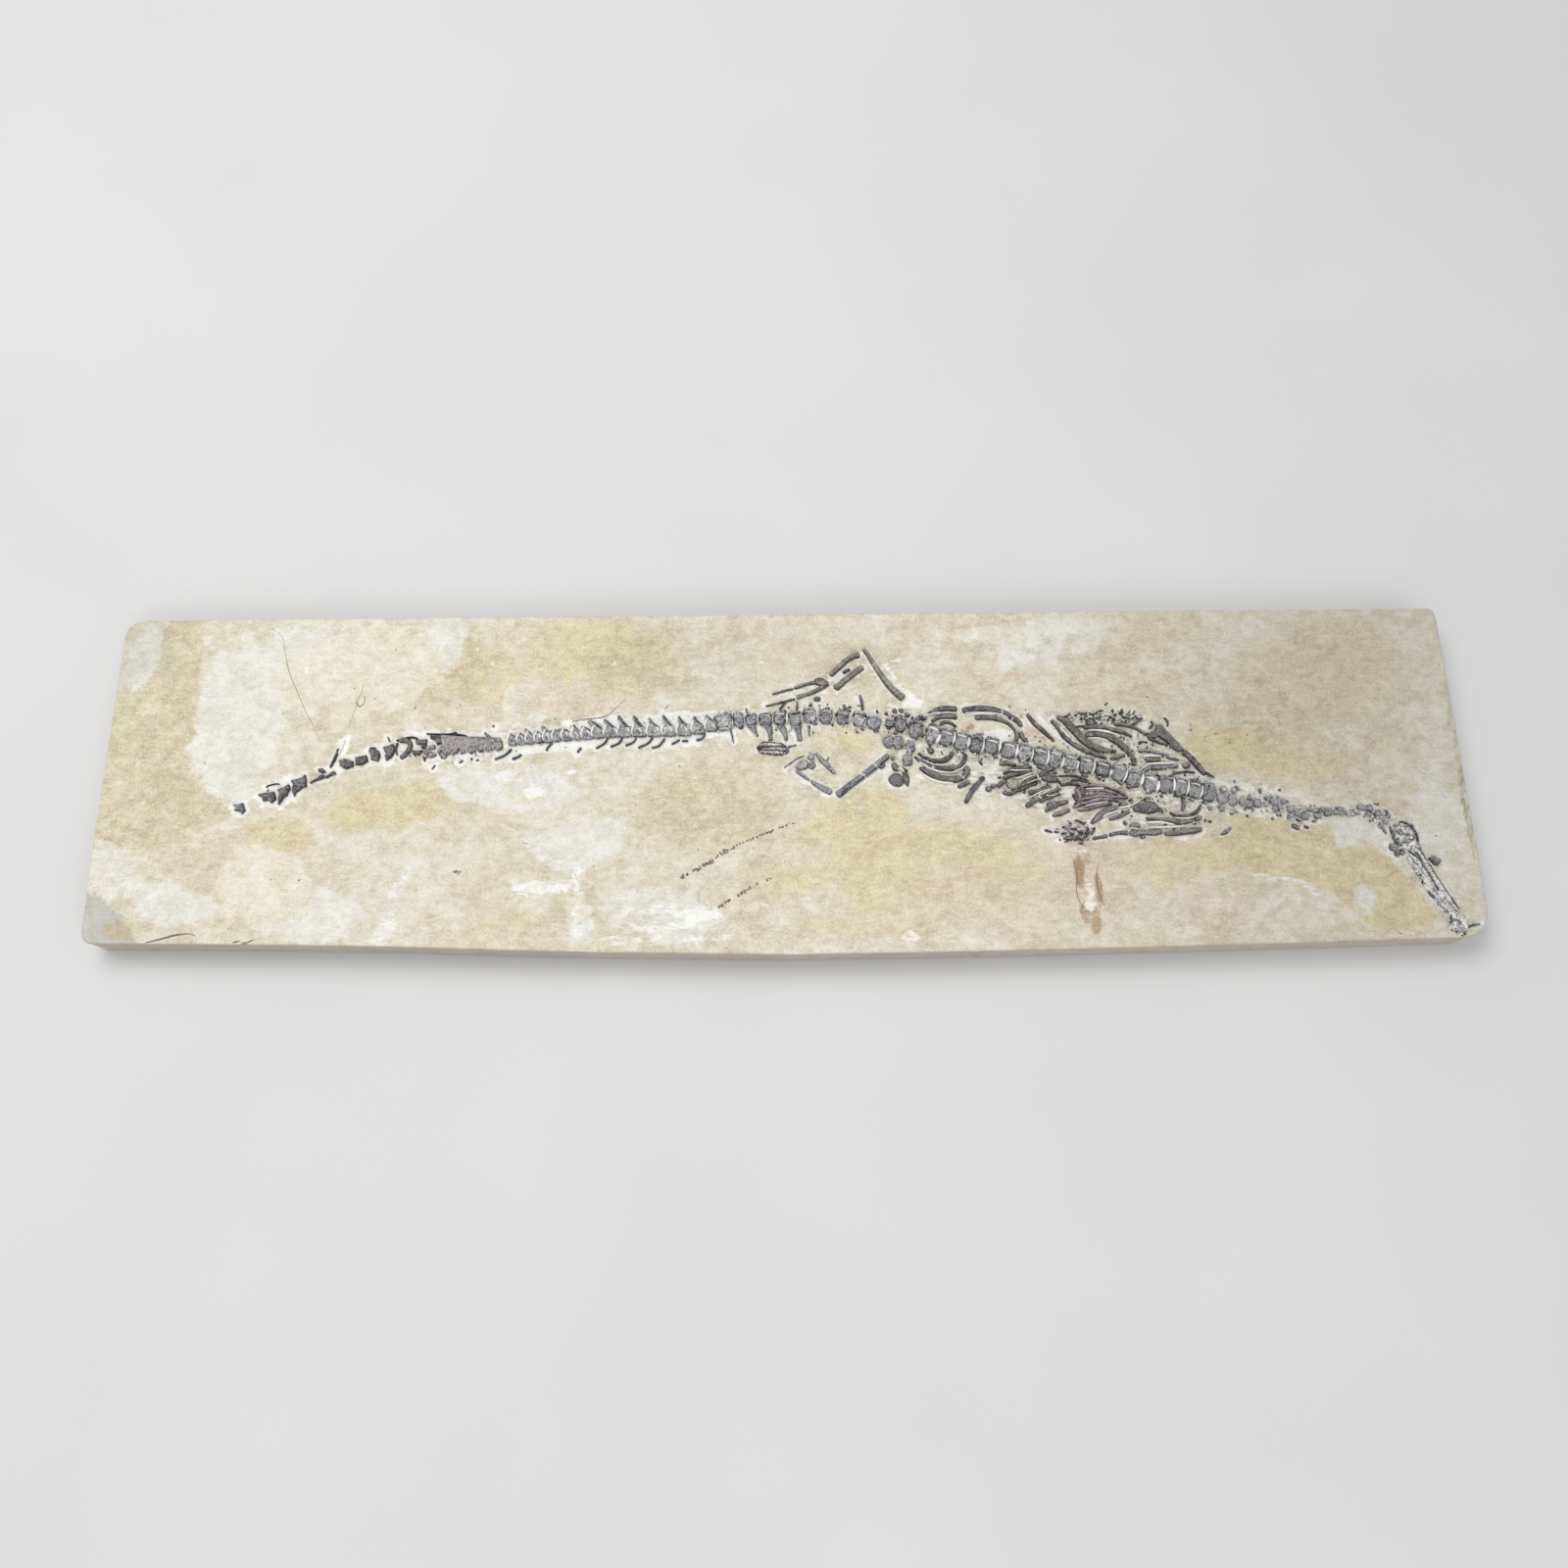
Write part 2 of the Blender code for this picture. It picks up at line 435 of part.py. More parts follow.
def fin_mesh(name, tip, foot, half_tip, half_foot, height):
    """Makes a flat tapering fin from its foot to its tip."""
    along = (Vector(tip) - Vector(foot)).normalized()
    side = Vector((-along.y, along.x))
    outline = [Vector(foot) - side * half_foot, Vector(tip) - side * half_tip, Vector(tip) + side * half_tip,
               Vector(foot) + side * half_foot]
    return prism(name, [tuple(corner) for corner in outline], BONE_FOOT, BONE_FOOT + height)


def fuse(name, meshes, colour, frame):
    """Joins overlapping closed meshes in one solid; all but the first are kept as hidden guides."""
    base = place(name, meshes[0], bone_finish(colour), frame)
    guides = bpy.data.collections.new(name + "_guides")
    for mesh in meshes[1:]:
        guide = bpy.data.objects.new(mesh.name, mesh)
        guide.parent = frame
        guides.objects.link(as_guide(guide))
    bpy.context.scene.collection.children.link(guides)
    add_boolean(base, "UNION", guides)


def row_blocks(name, row):
    """Gives the blocks of a run of vertebrae, each turned along the run and touching the next."""
    meshes = []
    last = len(row) - 1
    for index, (x, y, half_depth) in enumerate(row):
        before = Vector(row[max(index - 1, 0)][:2])
        after = Vector(row[min(index + 1, last)][:2])
        turn = math.atan2(after.y - before.y, after.x - before.x)
        pitch = (after - before).length / (1 if index in (0, last) else 2)
        half_length = pitch * OVERLAP / 2
        label = f"{name}_block_{index + 1}"
        meshes.append(block_mesh(label, (x, y), half_length, half_depth, turn, HEIGHT_VERTEBRA))
    return meshes


def row_fins(name, rows, half_tip, half_foot):
    """Gives fins from rows of tip and foot positions."""
    return [fin_mesh(f"{name}_{index + 1}", row[:2], row[2:], half_tip, half_foot, HEIGHT_FIN)
            for index, row in enumerate(rows)]


def brown_row():
    """Works out the evenly spaced vertebrae of the brown tail run."""
    rows = []
    for index in range(TAIL_BROWN_COUNT):
        share = index / (TAIL_BROWN_COUNT - 1)
        rows.append(tuple(a + (b - a) * share for a, b in zip(TAIL_BROWN_START, TAIL_BROWN_END)))
    return rows


def make_column(frame):
    """Makes the vertebral column in the runs that touch, with its spines, chevrons and tail ribs."""
    spines = [(x, y, x + SPINE_FOOT[0], y + SPINE_FOOT[1]) for x, y in SPINE_TIPS]
    middle = row_blocks("tail_middle", TAIL_MIDDLE)
    middle += row_fins("spine", spines, CHEVRON_HALF_TIP, SPINE_HALF_FOOT)
    middle += row_fins("chevron", CHEVRONS, CHEVRON_HALF_TIP, CHEVRON_HALF_WIDTH)
    end = row_blocks("tail_end", TAIL_END)
    end += row_fins("end_chevron", END_CHEVRONS, CHEVRON_HALF_TIP, CHEVRON_HALF_WIDTH)
    root = row_blocks("tail_root", TAIL_ROOT)
    root += row_fins("root_rib", ROOT_RIBS, ROOT_RIB_HALF_TIP, ROOT_RIB_HALF_WIDTH)
    fuse("tail_end_vertebrae", end, BLACK, frame)
    fuse("tail_dark_vertebrae", row_blocks("tail_dark", TAIL_DARK), BLACK, frame)
    fuse("tail_brown_vertebrae", row_blocks("tail_brown", brown_row()), BROWN, frame)
    fuse("tail_middle_vertebrae", middle, SLATE, frame)
    fuse("tail_root_vertebrae", root, SLATE, frame)
    fuse("hip_vertebrae", row_blocks("hip", HIP_ROW), SLATE, frame)
    fuse("back_vertebrae", row_blocks("back", BACK_ROW), SLATE, frame)
    fuse("neck_vertebrae", row_blocks("neck", NECK_ROW), SLATE, frame)


def rod_mesh(name, path, half_widths, profile):
    """Turns a swept rod into a mesh so that it can be joined to others."""
    holder = bpy.data.objects.new(name, rod_curve(name, path, half_widths, profile))
    bpy.context.scene.collection.objects.link(holder)
    view = bpy.context.evaluated_depsgraph_get()
    mesh = bpy.data.meshes.new_from_object(holder.evaluated_get(view))
    bpy.data.objects.remove(holder, do_unlink=True)
    mesh.name = name
    return mesh


def round_lump(name, lump):
    """Makes a low round lump of a given plan radius."""
    x, y, radius = lump
    return block_mesh(name, (x, y), radius, radius, 0.0, HEIGHT_PLATE)


def make_groups(frame, profile):
    """Makes the groups of bones that are pressed together or grown together."""
    def rods(name, rows):
        return [rod_mesh(f"{name}_{index + 1}", path, widths, profile)
                for index, (path, widths) in enumerate(rows)]

    def lumps(name, rows):
        return [round_lump(f"{name}_{index + 1}", row) for index, row in enumerate(rows)]

    mass = prism("pressed_mass", PRESSED_MASS, BONE_FOOT, BONE_FOOT + HEIGHT_FIN, PLATE_INSET)
    ankle = prism("ankle_back", FOOT_BACK_ANKLE, BONE_FOOT, BONE_FOOT + HEIGHT_PLATE, PLATE_INSET)
    fuse("ribs_pressed", [mass] + rods("pressed", PRESSED_RIBS), PURPLE, frame)
    fuse("foot_back", [ankle] + rods("toe_back", FOOT_BACK_RAYS), OLIVE, frame)
    fuse("foot_front", rods("toe_front", FOOT_FRONT_RAYS), PURPLE, frame)
    fuse("tail_thin_vertebrae", rods("tail_thin", TAIL_THIN_RODS), BLACK, frame)
    fuse("ankle_front", lumps("ankle_front", ANKLE_FRONT), SLATE, frame)
    fuse("hand_front", lumps("hand", HAND_LUMPS), BROWN, frame)
    bar = prism("hip_bar", HIP_BAR, BONE_FOOT, BONE_FOOT + HEIGHT_FIN)
    fuse("hip_ball", [round_lump("hip_lump", HIP_BALL), bar], BLACK, frame)


def main():
    """Builds the slab and the bones under one frame at the middle of the slab's box."""
    clear_scene()
    frame = bpy.data.objects.new("slab_frame", None)
    bpy.context.scene.collection.objects.link(frame)
    frame.location = (0.0, FACE_OFFSET_Y * MM, 0.0)
    profile = profile_curve("bone_section", frame)
    make_slab(frame)
    make_long_bones(frame, profile)
    make_plates(frame)
    make_column(frame)
    make_groups(frame, profile)


main()
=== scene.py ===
"""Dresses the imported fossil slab: worked limestone, mineralised bones in low relief, stains and light.

Plan positions in the tables are millimetres from the middle of the slab's face: x to the right
(towards the head), y to the back. Heights are millimetres above the underside.
"""

import logging
import math
from dataclasses import dataclass, field
from enum import Enum

import bpy
import numpy as np
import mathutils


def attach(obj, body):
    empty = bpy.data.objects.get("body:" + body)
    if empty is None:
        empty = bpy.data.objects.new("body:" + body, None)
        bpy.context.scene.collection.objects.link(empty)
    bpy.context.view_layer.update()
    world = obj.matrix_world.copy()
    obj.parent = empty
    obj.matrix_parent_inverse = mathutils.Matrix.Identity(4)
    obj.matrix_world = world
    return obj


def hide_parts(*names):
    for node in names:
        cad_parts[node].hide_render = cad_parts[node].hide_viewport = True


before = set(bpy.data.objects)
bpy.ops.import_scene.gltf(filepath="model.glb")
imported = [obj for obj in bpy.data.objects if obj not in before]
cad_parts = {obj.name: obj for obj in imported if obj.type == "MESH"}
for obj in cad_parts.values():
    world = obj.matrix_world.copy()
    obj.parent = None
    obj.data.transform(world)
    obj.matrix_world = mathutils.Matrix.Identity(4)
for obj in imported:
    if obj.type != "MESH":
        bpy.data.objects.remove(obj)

LOG = logging.getLogger("fossil_slab")

Array = np.ndarray
Points = tuple[tuple[float, float], ...]
Colour = tuple[float, float, float]

# One millimetre in scene units; the other sizes here are in millimetres.
MM = 0.001
# Height of the rubbed face.
FACE = 22.0
# Height at which a bone's sides end, down in the stone.
FOOT = 21.1
# How far the last ring of a lump or plate goes below the foot.
SUNK = 0.3
# Room for relief above the crest of a band or lump.
HEADROOM = 0.35
# Room for relief above the crest of a plate.
FLAT_HEADROOM = 0.3
# Spacing of the samples along a line or outline.
SAMPLE = 0.7
# Width of the darkening along an outline: the bone's own dark edge and painted shade.
RIM_WIDTH = 0.42
# Shift of the grain's pattern from one seed to the next.
FLOW_SHIFT = 3.7
# Distance from the middle of the CAD box to the middle of the face, in y.
FACE_OFFSET_Y = 2.3


def lattice(column: Array, row: Array, seed: int) -> Array:
    """Gives a repeatable value from -1 to 1 for each whole-numbered lattice point.

    Args:
        column: whole numbers across.
        row: whole numbers up.
        seed: picks one of many patterns.

    Returns:
        The value at each point.
    """
    mixed = (column * 73856093) ^ (row * 19349663) ^ (seed * 83492791)
    mixed = ((mixed ^ (mixed >> 13)) * 1274126177) & 0x7FFFFFFF
    return ((mixed ^ (mixed >> 16)) & 0xFFFF) / 32767.5 - 1.0


def hills(x: Array, y: Array, size: float, seed: int, octaves: int = 3) -> Array:
    """Smooth value noise: lattice values eased between the points, halved in size at each octave.

    Args:
        x: positions across, in millimetres.
        y: positions up, in millimetres.
        size: width of the largest hills, in millimetres.
        seed: picks the pattern.
        octaves: how many sizes are summed.

    Returns:
        Values of about -1 to 1.
    """
    total = np.zeros(np.broadcast(x, y).shape)
    weight = 1.0
    reach = 0.0
    for octave in range(octaves):
        u = x / size * 2.0 ** octave
        v = y / size * 2.0 ** octave
        column = np.floor(u).astype(np.int64)
        row = np.floor(v).astype(np.int64)
        across = u - column
        up = v - row
        across = across * across * (3 - 2 * across)
        up = up * up * (3 - 2 * up)
        pattern = seed * 7 + octave
        low = lattice(column, row, pattern) * (1 - across) + lattice(column + 1, row, pattern) * across
        high = (lattice(column, row + 1, pattern) * (1 - across)
                + lattice(column + 1, row + 1, pattern) * across)
        total = total + weight * (low * (1 - up) + high * up)
        reach += weight
        weight *= 0.5
    return total / reach


def ease(value: Array, low: float, high: float) -> Array:
    """Smooth step from 0 at low to 1 at high, which may be below low."""
    share = np.clip((value - low) / (high - low), 0.0, 1.0)
    return share * share * (3 - 2 * share)


def smooth_line(points: Points, step: float) -> Array:
    """Passes a curve through the points, by the cubic whose slope at each point is half the chord
    between its neighbours, and spaces its samples evenly.

    Args:
        points: plan points, at least two.
        step: spacing of the samples, in millimetres.

    Returns:
        Samples as rows of x, y.
    """
    knots = np.array(points, float)
    padded = np.vstack([2 * knots[0] - knots[1], knots, 2 * knots[-1] - knots[-2]])
    share = np.linspace(0.0, 1.0, 13)[:-1, None]
    before, start, end, after = (padded[i:len(padded) - 3 + i, None, :] for i in range(4))
    dense = 0.5 * (2 * start + (end - before) * share
                   + (2 * before - 5 * start + 4 * end - after) * share ** 2
                   + (3 * start - before - 3 * end + after) * share ** 3)
    dense = np.vstack([dense.reshape(-1, 2), knots[-1:]])
    return evened(dense, max(int(math.ceil(run_of(dense)[-1] / step)) + 1, 5))


def sideways(line: Array) -> Array:
    """Gives the unit direction to the left of a line at each of its samples.

    Args:
        line: samples as rows of x, y.

    Returns:
        Unit directions as rows of x, y.
    """
    along = np.gradient(line, axis=0)
    along /= np.maximum(np.hypot(along[:, 0], along[:, 1]), 1e-9)[:, None]
    return np.column_stack([-along[:, 1], along[:, 0]])


def run_of(line: Array) -> Array:
    """Gives the distance along a line at each of its samples."""
    return np.concatenate([[0.0], np.cumsum(np.hypot(*np.diff(line, axis=0).T))])


def evened(line: Array, count: int) -> Array:
    """Spaces a line's samples evenly, as many as asked for.

    Args:
        line: samples as rows of x, y.
        count: how many new samples.

    Returns:
        The new samples.
    """
    run = run_of(line)
    even = np.linspace(0.0, run[-1], count)
    return np.column_stack([np.interp(even, run, line[:, k]) for k in range(2)])


def turned(x: float, y: float, turn: float, along: float, across: float) -> tuple[float, float]:
    """Gives the place along and across from x, y, for a length at an angle of turn from x."""
    cos, sin = math.cos(turn), math.sin(turn)
    return x + along * cos - across * sin, y + along * sin + across * cos


@dataclass
class Patch:
    """One closed shell: its points, faces and the values that its finish reads at each point."""

    points: Array
    quads: Array
    caps: list[list[int]]
    flow: Array
    tone: Array
    outline_dark_and_shade: Array
    wear: Array


def shell(grid: Array, flow: Array, tone: Array, outline_dark_and_shade: Array, wear: Array) -> Patch:
    """Closes a grid that runs round in its second direction with a cap at each end, facing out.

    Args:
        grid: points as rows, columns, xyz, in millimetres.
        flow: position along and across the piece at each point.
        tone: lightness of the finish at each point, 0 as the finish stands.
        outline_dark_and_shade: 1 at an outline, 0 in the middle.
        wear: how far pale mineral shows through, 0 to 1.

    Returns:
        The closed shell.
    """
    rows, columns = grid.shape[:2]
    index = np.arange(rows * columns).reshape(rows, columns)
    turned = np.roll(index, -1, axis=1)
    quads = np.stack([index[:-1], turned[:-1], turned[1:], index[1:]], axis=-1).reshape(-1, 4)
    points = grid.reshape(-1, 3)
    first, last = index[0][::-1].tolist(), index[-1].tolist()
    corners = points[quads]
    volume = np.einsum("ij,ij->", corners[:, 0], np.cross(corners[:, 1], corners[:, 2]))
    volume += np.einsum("ij,ij->", corners[:, 0], np.cross(corners[:, 2], corners[:, 3]))
    for cap in (first, last):
        fan = points[cap]
        volume += np.einsum("ij,ij->", np.broadcast_to(fan[0], fan[1:-1].shape),
                            np.cross(fan[1:-1], fan[2:]))
    if volume < 0:
        quads = quads[:, ::-1]
        first, last = first[::-1], last[::-1]
    return Patch(points, quads, [first, last], flow.reshape(-1, 2), tone.reshape(-1), outline_dark_and_shade.reshape(-1),
                 wear.reshape(-1))


@dataclass(frozen=True)
class Look:
    """How a bone's surface is worked: the roughness of its form and the values its finish reads."""

    tone: float = 0.0
    core: float = 0.25
    wear: float = 0.12
    rough: float = 0.16
    wobble: float = 0.14
    square: float = 3.4
    hollow: float = 0.0
    ends: tuple[float, float] = (0.9, 0.9)
    cracks: tuple[float, ...] = ()


def ribbon(left: Array, right: Array, height: float, look: Look, seed: int) -> Patch:
    """Lays a domed band between two plan lines, with rounded ends and its foot in the stone.

    Across the band, with t from -1 to 1, the height is that of the arch (1 - |t|^k)^0.5, worked
    with hills, shallow grooves along it and narrow breaks across it.

    Args:
        left: samples of the left edge, rows of x, y.
        right: samples of the right edge, as many as of the left.
        height: crest above the face, in millimetres.
        look: how the surface is worked.
        seed: picks the noise.

    Returns:
        The closed band.
    """
    columns = 13
    t = -np.cos(np.linspace(0.0, math.pi, columns))[None, :]
    middle = (left + right) / 2
    half = (left - right) / 2
    run = run_of(middle)[:, None]
    wide = np.hypot(half[:, 0], half[:, 1])[:, None]
    total = run[-1, 0]
    near_start = np.clip(run / max(look.ends[0], 0.05), 0.0, 1.0)
    near_end = np.clip((total - run) / max(look.ends[1], 0.05), 0.0, 1.0)
    rounding = np.sqrt(np.clip(1 - (1 - near_start) ** 2, 0, 1) * np.clip(1 - (1 - near_end) ** 2, 0, 1))
    edge = hills(run, np.sign(t) * 9.0, 3.5, seed) * look.wobble * np.abs(t)
    spread = t * (0.3 + 0.7 * rounding) * (1 + edge)
    plan = middle[:, None, :] + half[:, None, :] * spread[..., None]
    arch = np.sqrt(np.clip(1 - np.abs(t) ** look.square, 0, 1)) * np.ones_like(run)
    along = 1 + 0.12 * hills(run, 0 * run, 9.0, seed + 3)
    crest = (height + FACE - FOOT) * arch * (0.45 + 0.55 * rounding) * along
    relief = hills(run, t * wide, 2.2, seed + 5) + 0.8 * hills(run / 7.0, t * 3.0, 1.0, seed + 8, 2)
    crest = crest + look.rough * arch * relief - look.hollow * (1 - t * t) * rounding
    wear = np.full(crest.shape, look.wear)
    for share in look.cracks:
        gap = np.exp(-((run - share * total + 0.5 * t) / 0.45) ** 2)
        crest = crest - 1.1 * gap * arch
        wear = np.maximum(wear, 1.3 * gap)
    z = np.minimum(FOOT + np.maximum(crest, 0.0), FACE + height + HEADROOM)
    grid = np.dstack([plan, z])
    tone = look.tone + look.core * (1 - np.abs(t) ** 3) * np.ones_like(run)
    inward = np.minimum((1 - np.abs(t)) * wide, np.minimum(run, total - run) + 0.15)
    outline_dark_and_shade = np.exp(-(inward / RIM_WIDTH) ** 2)
    flow = np.dstack([run * np.ones_like(t) + seed * FLOW_SHIFT, t * wide])
    return shell(grid, flow, tone, outline_dark_and_shade, wear)


def rod(path: Points, widths: tuple[float, ...], height: float, look: Look, seed: int) -> Patch:
    """Carries the domed band along a smooth line, its half width taken from the list along it.

    Args:
        path: points that the line passes through.
        widths: half widths, evenly along it.
        height: crest above the face.
        look: how the surface is worked.
        seed: picks the noise.

    Returns:
        The closed band.
    """
    line = smooth_line(path, SAMPLE)
    run = run_of(line)
    wide = np.interp(run / run[-1], np.linspace(0, 1, len(widths)), widths)[:, None]
    side = sideways(line)
    return ribbon(line + side * wide, line - side * wide, height, look, seed)


def blade(one: Points, other: Points, height: float, look: Look, seed: int) -> Patch:
    """Lays a band between two edges given by a few points each, both from the same end.

    Args:
        one: points of the left edge.
        other: points of the right edge.
        height: crest above the face.
        look: how the surface is worked.
        seed: picks the noise.

    Returns:
        The closed band.
    """
    first, second = smooth_line(one, SAMPLE), smooth_line(other, SAMPLE)
    count = max(len(first), len(second))
    return ribbon(evened(first, count), evened(second, count), height, look, seed)


def lump(middle: tuple[float, float], half: tuple[float, float], height: float, look: Look, seed: int,
         turn: float = 0.0, tilt: float = 0.0, sides: float = 2.6, rings: int = 9,
         spokes: int = 32) -> Patch:
    """Makes a rounded block: rings of a squarish outline, |cos|^n + |sin|^n = 1, under a flat dome.

    Args:
        middle: plan position of its middle.
        half: half its length and half its depth.
        height: crest above the face.
        look: how the surface is worked; its hollow dents the crown.
        seed: picks the noise.
        turn: angle of its length from x, in radians.
        tilt: rise from the middle to the right end.
        sides: squareness of the outline, 2 for an ellipse.
        rings: rings from the crown to the outline.
        spokes: points in a ring.

    Returns:
        The closed block.
    """
    angle = np.linspace(0.0, 2 * math.pi, spokes, endpoint=False)[None, :]
    outline = (np.abs(np.cos(angle)) ** sides + np.abs(np.sin(angle)) ** sides) ** (-1 / sides)
    outline = outline * (1 + look.wobble * hills(np.cos(angle) * 2.1, np.sin(angle) * 2.1, 1.3, seed))
    share = np.concatenate([np.linspace(0.04, 1.0, rings), [1.02]])[:, None]
    across = half[0] * share * outline * np.cos(angle)
    up = half[1] * share * outline * np.sin(angle)
    x = middle[0] + across * math.cos(turn) - up * math.sin(turn)
    y = middle[1] + across * math.sin(turn) + up * math.cos(turn)
    arch = np.sqrt(np.clip(1 - np.minimum(share, 1.0) ** (look.square + 1.4), 0, 1))
    crest = (height + FACE - FOOT) * arch + tilt * across / half[0] * arch
    crest = crest - look.hollow * np.exp(-(share / 0.42) ** 2) * np.ones_like(angle)
    relief = hills(x, y, 2.4, seed + 2) + 0.5 * hills(x, y, 0.9, seed + 4, 2)
    crest = crest + 1.5 * look.rough * arch * relief
    z = FOOT + np.clip(crest, 0.0, FACE - FOOT + height + HEADROOM)
    z[-1] = FOOT - SUNK
    ones = np.ones_like(z)
    tone = look.tone + look.core * (1 - share ** 3) * ones + 0.25 * hills(x, y, 4.0, seed + 6)
    inward = np.clip(1 - share, 0, 1) * outline * min(half)
    return shell(np.dstack([x, y, z]), np.dstack([across + seed * FLOW_SHIFT, up]), tone,
                 np.exp(-(inward / RIM_WIDTH) ** 2), np.full(z.shape, look.wear))


def plate(corners: Points, height: float, look: Look, seed: int,
          middle: tuple[float, float] | None = None) -> Patch:
    """Makes a flat-topped fragment: its outline drawn in towards a middle, ring by ring.

    Args:
        corners: the outline's corners in order.
        height: crest above the face.
        look: how the surface is worked.
        seed: picks the noise.
        middle: the point that the rings close on, or none for the corners' mean.

    Returns:
        The closed fragment.
    """
    corner = np.array(corners, float)
    centre = corner.mean(axis=0) if middle is None else np.array(middle, float)
    ends = np.roll(corner, -1, axis=0)
    counts = np.maximum(np.ceil(np.hypot(*(ends - corner).T) / SAMPLE).astype(int), 1)
    outline = np.vstack([a + (b - a) * np.linspace(0, 1, n + 1)[:-1, None]
                         for a, b, n in zip(corner, ends, counts)])
    outline = outline + look.wobble * np.column_stack([hills(outline[:, 0], outline[:, 1], 1.6, seed, 2),
        hills(outline[:, 0], outline[:, 1], 1.6, seed + 1, 2)])
    share = np.array([0.04, 0.2, 0.4, 0.6, 0.75, 0.86, 0.93, 0.98, 1.0, 1.01])[:, None, None]
    plan = centre + (outline - centre)[None] * share
    x, y = plan[..., 0], plan[..., 1]
    inward = (1 - np.minimum(share[..., 0], 1)) * np.hypot(*(outline - centre).T)[None]
    arch = np.sqrt(np.clip(1 - (1 - np.minimum(inward / 0.75, 1)) ** 2, 0, 1))
    relief = hills(x, y, 3.0, seed + 2) + 0.6 * hills(x, y, 1.1, seed + 4, 2)
    crest = (height + FACE - FOOT) * arch + 1.6 * look.rough * arch * relief
    crest = crest - look.hollow * (1 - share[..., 0]) * arch
    z = FOOT + np.clip(crest, 0.0, FACE - FOOT + height + FLAT_HEADROOM)
    z[-1] = FOOT - SUNK
    tone = look.tone + 0.35 * hills(x, y, 5.0, seed + 6) + look.core * (1 - share[..., 0])
    return shell(np.dstack([x, y, z]), np.dstack([x + seed * FLOW_SHIFT, y]), tone,
                 np.exp(-(inward / RIM_WIDTH) ** 2), np.full(z.shape, look.wear))


class Graph:
    """A material's node graph, with short ways to the nodes that the finishes share."""

    def __init__(self, name: str) -> None:
        """Starts a material of one principled shader.

        Args:
            name: the material's name.
        """
        self.material = bpy.data.materials.new(name)
        self.material.use_nodes = True
        self.nodes = self.material.node_tree.nodes
        self.links = self.material.node_tree.links
        self.shader = self.nodes["Principled BSDF"]
        place = self.nodes.new("ShaderNodeTexCoord")
        scale = self.nodes.new("ShaderNodeVectorMath")
        scale.operation = "SCALE"
        scale.inputs["Scale"].default_value = 1 / MM
        self.links.new(place.outputs["Object"], scale.inputs[0])
        self.place = scale.outputs[0]

    def feed(self, socket: bpy.types.NodeSocket, value: object) -> None:
        """Links a socket to another, or sets it to a number or colour.

        Args:
            socket: the input to feed.
            value: another socket, a number or a colour.
        """
        if isinstance(value, bpy.types.NodeSocket):
            self.links.new(value, socket)
        elif isinstance(value, tuple) and len(value) == 3 and socket.type == "RGBA":
            socket.default_value = (*value, 1.0)
        else:
            socket.default_value = value

    def sum(self, kind: str, *values: object) -> bpy.types.NodeSocket:
        """Adds one math node.

        Args:
            kind: the node's operation.
            values: sockets or numbers for its inputs.

        Returns:
            The node's result.
        """
        node = self.nodes.new("ShaderNodeMath")
        node.operation = kind
        for socket, value in zip(node.inputs, values):
            self.feed(socket, value)
        return node.outputs[0]

    def value(self, name: str) -> bpy.types.NodeSocket:
        """Reads a number that the mesh carries at each point.

        Args:
            name: the attribute's name.

        Returns:
            The number.
        """
        node = self.nodes.new("ShaderNodeAttribute")
        node.attribute_name = name
        return node.outputs["Fac"]

    def flow(self, along: float, across: float) -> bpy.types.NodeSocket:
        """Gives the position along and across a bone, stretched by the two factors.

        Args:
            along: factor along the bone.
            across: factor across it.

        Returns:
            The stretched position.
        """
        node = self.nodes.new("ShaderNodeAttribute")
        node.attribute_name = "flow"
        return self.stretch(node.outputs["Vector"], along, across)

    def stretch(self, place: bpy.types.NodeSocket, along: float, across: float) -> bpy.types.NodeSocket:
        """Multiplies the first two parts of a position.

        Args:
            place: the position.
            along: factor of its first part.
            across: factor of its second part.

        Returns:
            The stretched position.
        """
        node = self.nodes.new("ShaderNodeVectorMath")
        node.operation = "MULTIPLY"
        node.inputs[1].default_value = (along, across, 1.0)
        self.links.new(place, node.inputs[0])
        return node.outputs[0]

    def noise(self, size: float, detail: float = 4.0, rough: float = 0.55, warp: float = 0.0,
              where: bpy.types.NodeSocket | None = None) -> bpy.types.NodeSocket:
        """Gives cloudy noise with features of a given size in millimetres.

        Args:
            size: width of the largest features.
            detail: how many finer sizes are added.
            rough: how strong the finer ones are.
            warp: how far the pattern is bent.
            where: the position it reads, or none for the object's own.

        Returns:
            Values of about 0 to 1.
        """
        node = self.nodes.new("ShaderNodeTexNoise")
        node.inputs["Scale"].default_value = 1 / size
        node.inputs["Detail"].default_value = detail
        node.inputs["Roughness"].default_value = rough
        node.inputs["Distortion"].default_value = warp
        self.links.new(where or self.place, node.inputs["Vector"])
        return node.outputs["Fac"]

    def step(self, value: object, low: float, high: float) -> bpy.types.NodeSocket:
        """Eases a value from 0 at low to 1 at high.

        Args:
            value: a socket or number.
            low: where the result is 0.
            high: where the result is 1.

        Returns:
            The eased value.
        """
        node = self.nodes.new("ShaderNodeMapRange")
        node.interpolation_type = "SMOOTHSTEP"
        self.feed(node.inputs["Value"], value)
        node.inputs["From Min"].default_value = low
        node.inputs["From Max"].default_value = high
        return node.outputs["Result"]

    def mix(self, share: object, base: object, over: object, how: str = "MIX") -> bpy.types.NodeSocket:
        """Mixes two colours.

        Args:
            share: how much of the second shows.
            base: the first colour.
            over: the second colour.
            how: the way of mixing.

        Returns:
            The mixed colour.
        """
        node = self.nodes.new("ShaderNodeMix")
        node.data_type = "RGBA"
        node.blend_type = how
        self.feed(node.inputs["Factor"], share)
        self.feed(node.inputs[6], base)
        self.feed(node.inputs[7], over)
        return node.outputs[2]

